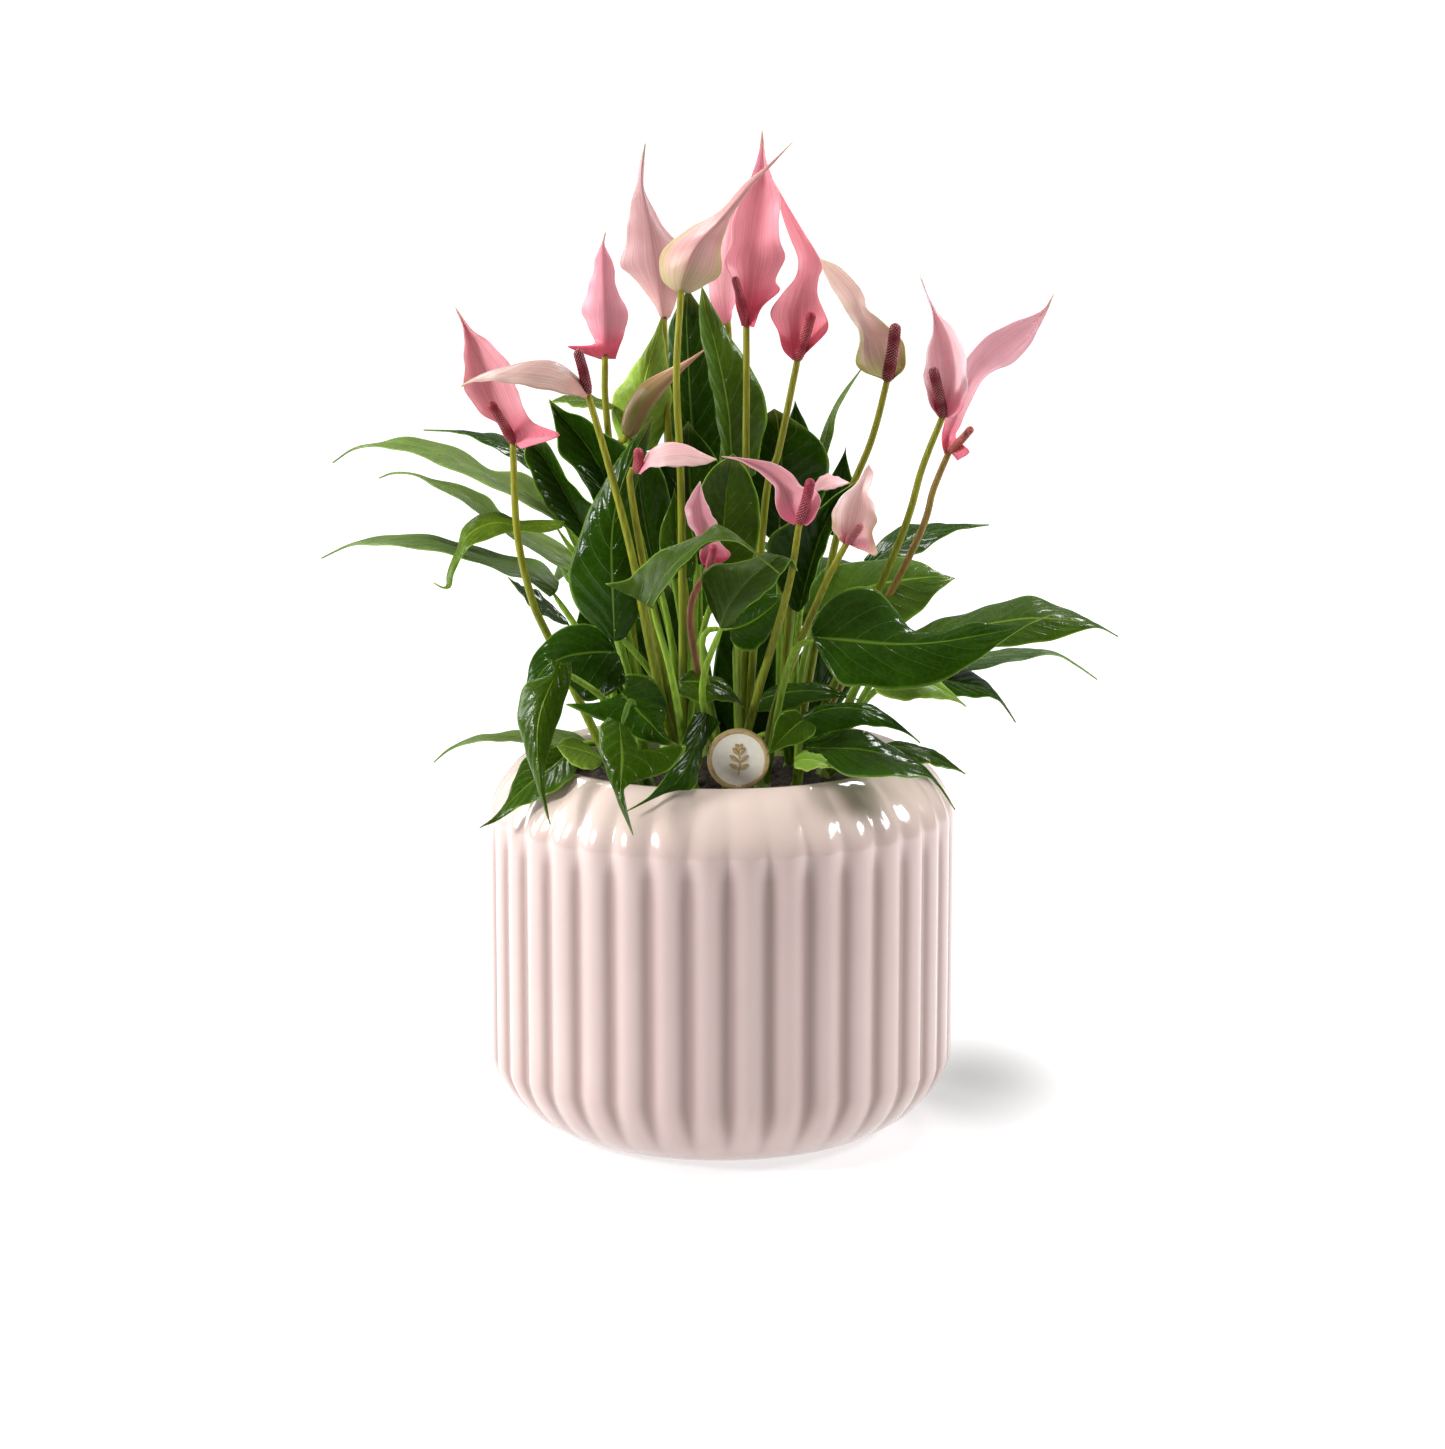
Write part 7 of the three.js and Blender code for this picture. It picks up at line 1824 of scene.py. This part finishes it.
def floor_material():
    """Pale and matt, with a glow that is weaker far in front and in a soft patch beside the pot, which is a
    painted shadow.
    """
    material, tree, shader = new_material("floor_look")
    place = node(tree, "ShaderNodeTexCoord")
    split = node(tree, "ShaderNodeSeparateXYZ")
    tree.links.new(place.outputs["Object"], split.inputs[0])
    # A soft patch of weaker glow behind the pot's right side: a painted shadow.
    squares = []
    for axis in (0, 1):
        shifted = maths(tree, "SUBTRACT", split.outputs[axis], SHADOW_PATCH_MIDDLE[axis])
        part = maths(tree, "DIVIDE", shifted, SHADOW_PATCH_REACH[axis])
        squares.append(maths(tree, "MULTIPLY", part, part))
    away = maths(tree, "SQRT", maths(tree, "ADD", squares[0], squares[1]))
    shadow_patch = ramp(tree, away, 0.0, 1.5, FLOOR_GLOW_IN_SHADOW_PATCH, 1.0)
    length = node(tree, "ShaderNodeVectorMath", operation="LENGTH")
    tree.links.new(place.outputs["Object"], length.inputs[0])
    level = ramp(tree, length.outputs["Value"], 0.5, 1.8, FLOOR_GLOW, FLOOR_GLOW_FAR)
    near = ramp(tree, split.outputs[1], -1.3, -0.4, FLOOR_GLOW_FRONT, 1.0)
    glow = maths(tree, "MULTIPLY", maths(tree, "MULTIPLY", shadow_patch, near), level)
    colour = blend_colour(tree, uneven(tree, noise(tree, 3.0)), FLOOR_COLOURS[0], FLOOR_COLOURS[1])
    tree.links.new(colour, shader.inputs["Base Color"])
    tree.links.new(glow, shader.inputs["Emission Strength"])
    white = (1.0, 1.0, 1.0, 1.0)
    set_sockets(shader, {"Emission Color": white, "Roughness": 0.9, "Specular IOR Level": 0.1})
    return material


def make_camera():
    bpy.context.scene.view_settings.view_transform = "Standard"
    data = bpy.data.cameras.new("camera")
    data.lens = LENS
    data.sensor_width = 36
    data.clip_end = 90
    camera = bpy.data.objects.new("camera", data)
    camera.location = (EYE_ASIDE / MM_PER_M, -EYE_DISTANCE / MM_PER_M, EYE_HEIGHT / MM_PER_M)
    camera.rotation_euler = (math.pi / 2 - EYE_PITCH, 0, 0)
    bpy.context.scene.collection.objects.link(camera)
    bpy.context.scene.camera = camera


def area_light(name, place, target, width, height, power):
    data = bpy.data.lights.new(name, "AREA")
    data.shape = "RECTANGLE"
    data.size = width
    data.size_y = height
    data.energy = power
    light = bpy.data.objects.new(name, data)
    light.location = place
    away = np.array(place) - np.array(target)
    flat = math.hypot(away[0], away[1])
    light.rotation_euler = (math.atan2(flat, away[2]), 0, math.atan2(away[0], -away[1]))
    light.visible_glossy = name not in LAMPS_WITHOUT_SHINE
    bpy.context.scene.collection.objects.link(light)


def make_world():
    """A white sky, weaker at the horizon than overhead, and weakest in front."""
    world = bpy.data.worlds.new("studio")
    bpy.context.scene.world = world
    world.use_nodes = True
    tree = world.node_tree
    place = node(tree, "ShaderNodeTexCoord")
    split = node(tree, "ShaderNodeSeparateXYZ")
    tree.links.new(place.outputs["Generated"], split.inputs[0])
    height = ramp(tree, split.outputs[2], 0.05, 0.45, WORLD_HORIZON, WORLD_OVERHEAD)
    strength = maths(tree, "MULTIPLY", height, ramp(tree, split.outputs[1], -0.75, 0.0, WORLD_FRONT, 1.0))
    background = tree.nodes["Background"]
    background.inputs[0].default_value = (1.0, 1.0, 1.0, 1.0)
    tree.links.new(strength, background.inputs[1])


def make_stage():
    size = FLOOR_HALF
    mesh = bpy.data.meshes.new("floor")
    corners = [(-size, -size, 0), (size, -size, 0), (size, size, 0), (-size, size, 0)]
    mesh.from_pydata(corners, [], [(0, 1, 2, 3)])
    mesh.materials.append(floor_material())
    floor = bpy.data.objects.new("floor", mesh)
    bpy.context.scene.collection.objects.link(floor)
    make_world()
    for name, place, width, height, power in LAMPS:
        area_light(name, place, LAMP_TARGET, width, height, power)


def make_shoot(crown, leaf_look, stem_look):
    """One crown with its leaves and the stalks of its flowers."""
    green = Pile()
    foot = crown_foot(crown, CROWN_BOTTOM)
    head = crown_foot(crown, CROWN_TOP)
    add_tube(green, [foot, (foot + head) / 2, head], crown_radius, 20, 24, CROWN_TINTS, 0.5, 1)
    for seed, leaf in enumerate(LEAVES, 1):
        name, home, form, base, middle, tip, left, right, wave, places = leaf
        if home == crown:
            blade = Blade(base, middle, tip, left, right, form, wave)
            join = blade.start * 0.9 + seen(middle) * 0.1
            add_leaf(green, name, blade, home, join, places, seed)
    for seed, (name, home, places) in enumerate(FRONT_LEAVES, FIRST_FRONT_SEED):
        if home == crown:
            sheet = Sheet(name)
            add_leaf(green, name, sheet, home, sheet.join, places, seed)
    for number, home, _, _, places in FLOWERS:
        if home == crown:
            add_stalk(green, number, home, Sheet("F" + number).start, places)
    _, home, base, _, _, _, places = BUD
    if home == crown:
        path = stem_places(home, seen(base), places)
        add_tube(green, path, stalk_radius, 12, 44, STALK_COLOURS[::-1], 0.36, 1)
    finished(green.build("shoot_fine_" + crown, [leaf_look, stem_look]), "shoot_" + crown)


def make_flower(seed, number, crest, radius, spathe_look, spadix_look):
    pink = Pile()
    add_sheath(pink, number, seed)
    finished(pink.build("spathe_fine_" + number, [spathe_look]), "spathe_" + number)
    finished(spadix_piece(number, crest, radius, spadix_look), "spadix_" + number)


def bud_swell(t, angle):
    size = 0.4 + BUD[5] * np.interp(t, BUD_SWELL[0], BUD_SWELL[1])
    fold = 0.12 * np.cos(angle - 2.2 * t) + 0.05 * np.cos(3 * angle + 5 * t)
    return size * (0.92 + fold)


def make_bud(look):
    """The rolled spathe, greenish at its base, with darker streaks."""
    number, _, base, middle, tip, _, _ = BUD
    places = [seen(base), seen(middle), seen(tip)]
    pile = Pile()
    add_tube(pile, places, bud_swell, BUD_SIDES, BUD_STEPS, BUD_COLOURS[:2], 0.4, 0)
    turns = np.append(np.tile(full_turn(BUD_SIDES), BUD_STEPS), [0, 0])
    along = np.append(np.repeat(np.linspace(0, 1, BUD_STEPS), BUD_SIDES), [0, 1])
    streaks = 0.5 + 0.5 * np.sin(8 * turns + 1.5 * np.sin(3 * turns))
    ripe = mix(BUD_COLOURS[0], BUD_COLOURS[1], smooth(0.25, 0.85, along))
    pile.tints[0] = mix(ripe, BUD_COLOURS[2], 0.65 * streaks)
    finished(pile.build("spathe_fine_" + number, [look]), "spathe_" + number)


make_camera()
make_stage()

leaves = leaf_material()
stems = stem_material()
spathes = spathe_material()
spadices = spadix_material()

make_pot(pot_material())
make_soil(soil_material())
paper = tag_material("tag_look", 300.0, TAG_COLOURS, {"Roughness": 0.35})
metal = tag_material("tag_gold_look", 500.0, GOLD_COLOURS, {"Roughness": 0.4, "Metallic": 0.25})
make_tag(paper, metal)

for crown_name, _ in CROWNS:
    make_shoot(crown_name, leaves, stems)

for flower_seed, (flower, _, crest_place, spike, _) in enumerate(FLOWERS, 1):
    make_flower(flower_seed, flower, crest_place, spike, spathes, spadices)

make_bud(spathes)
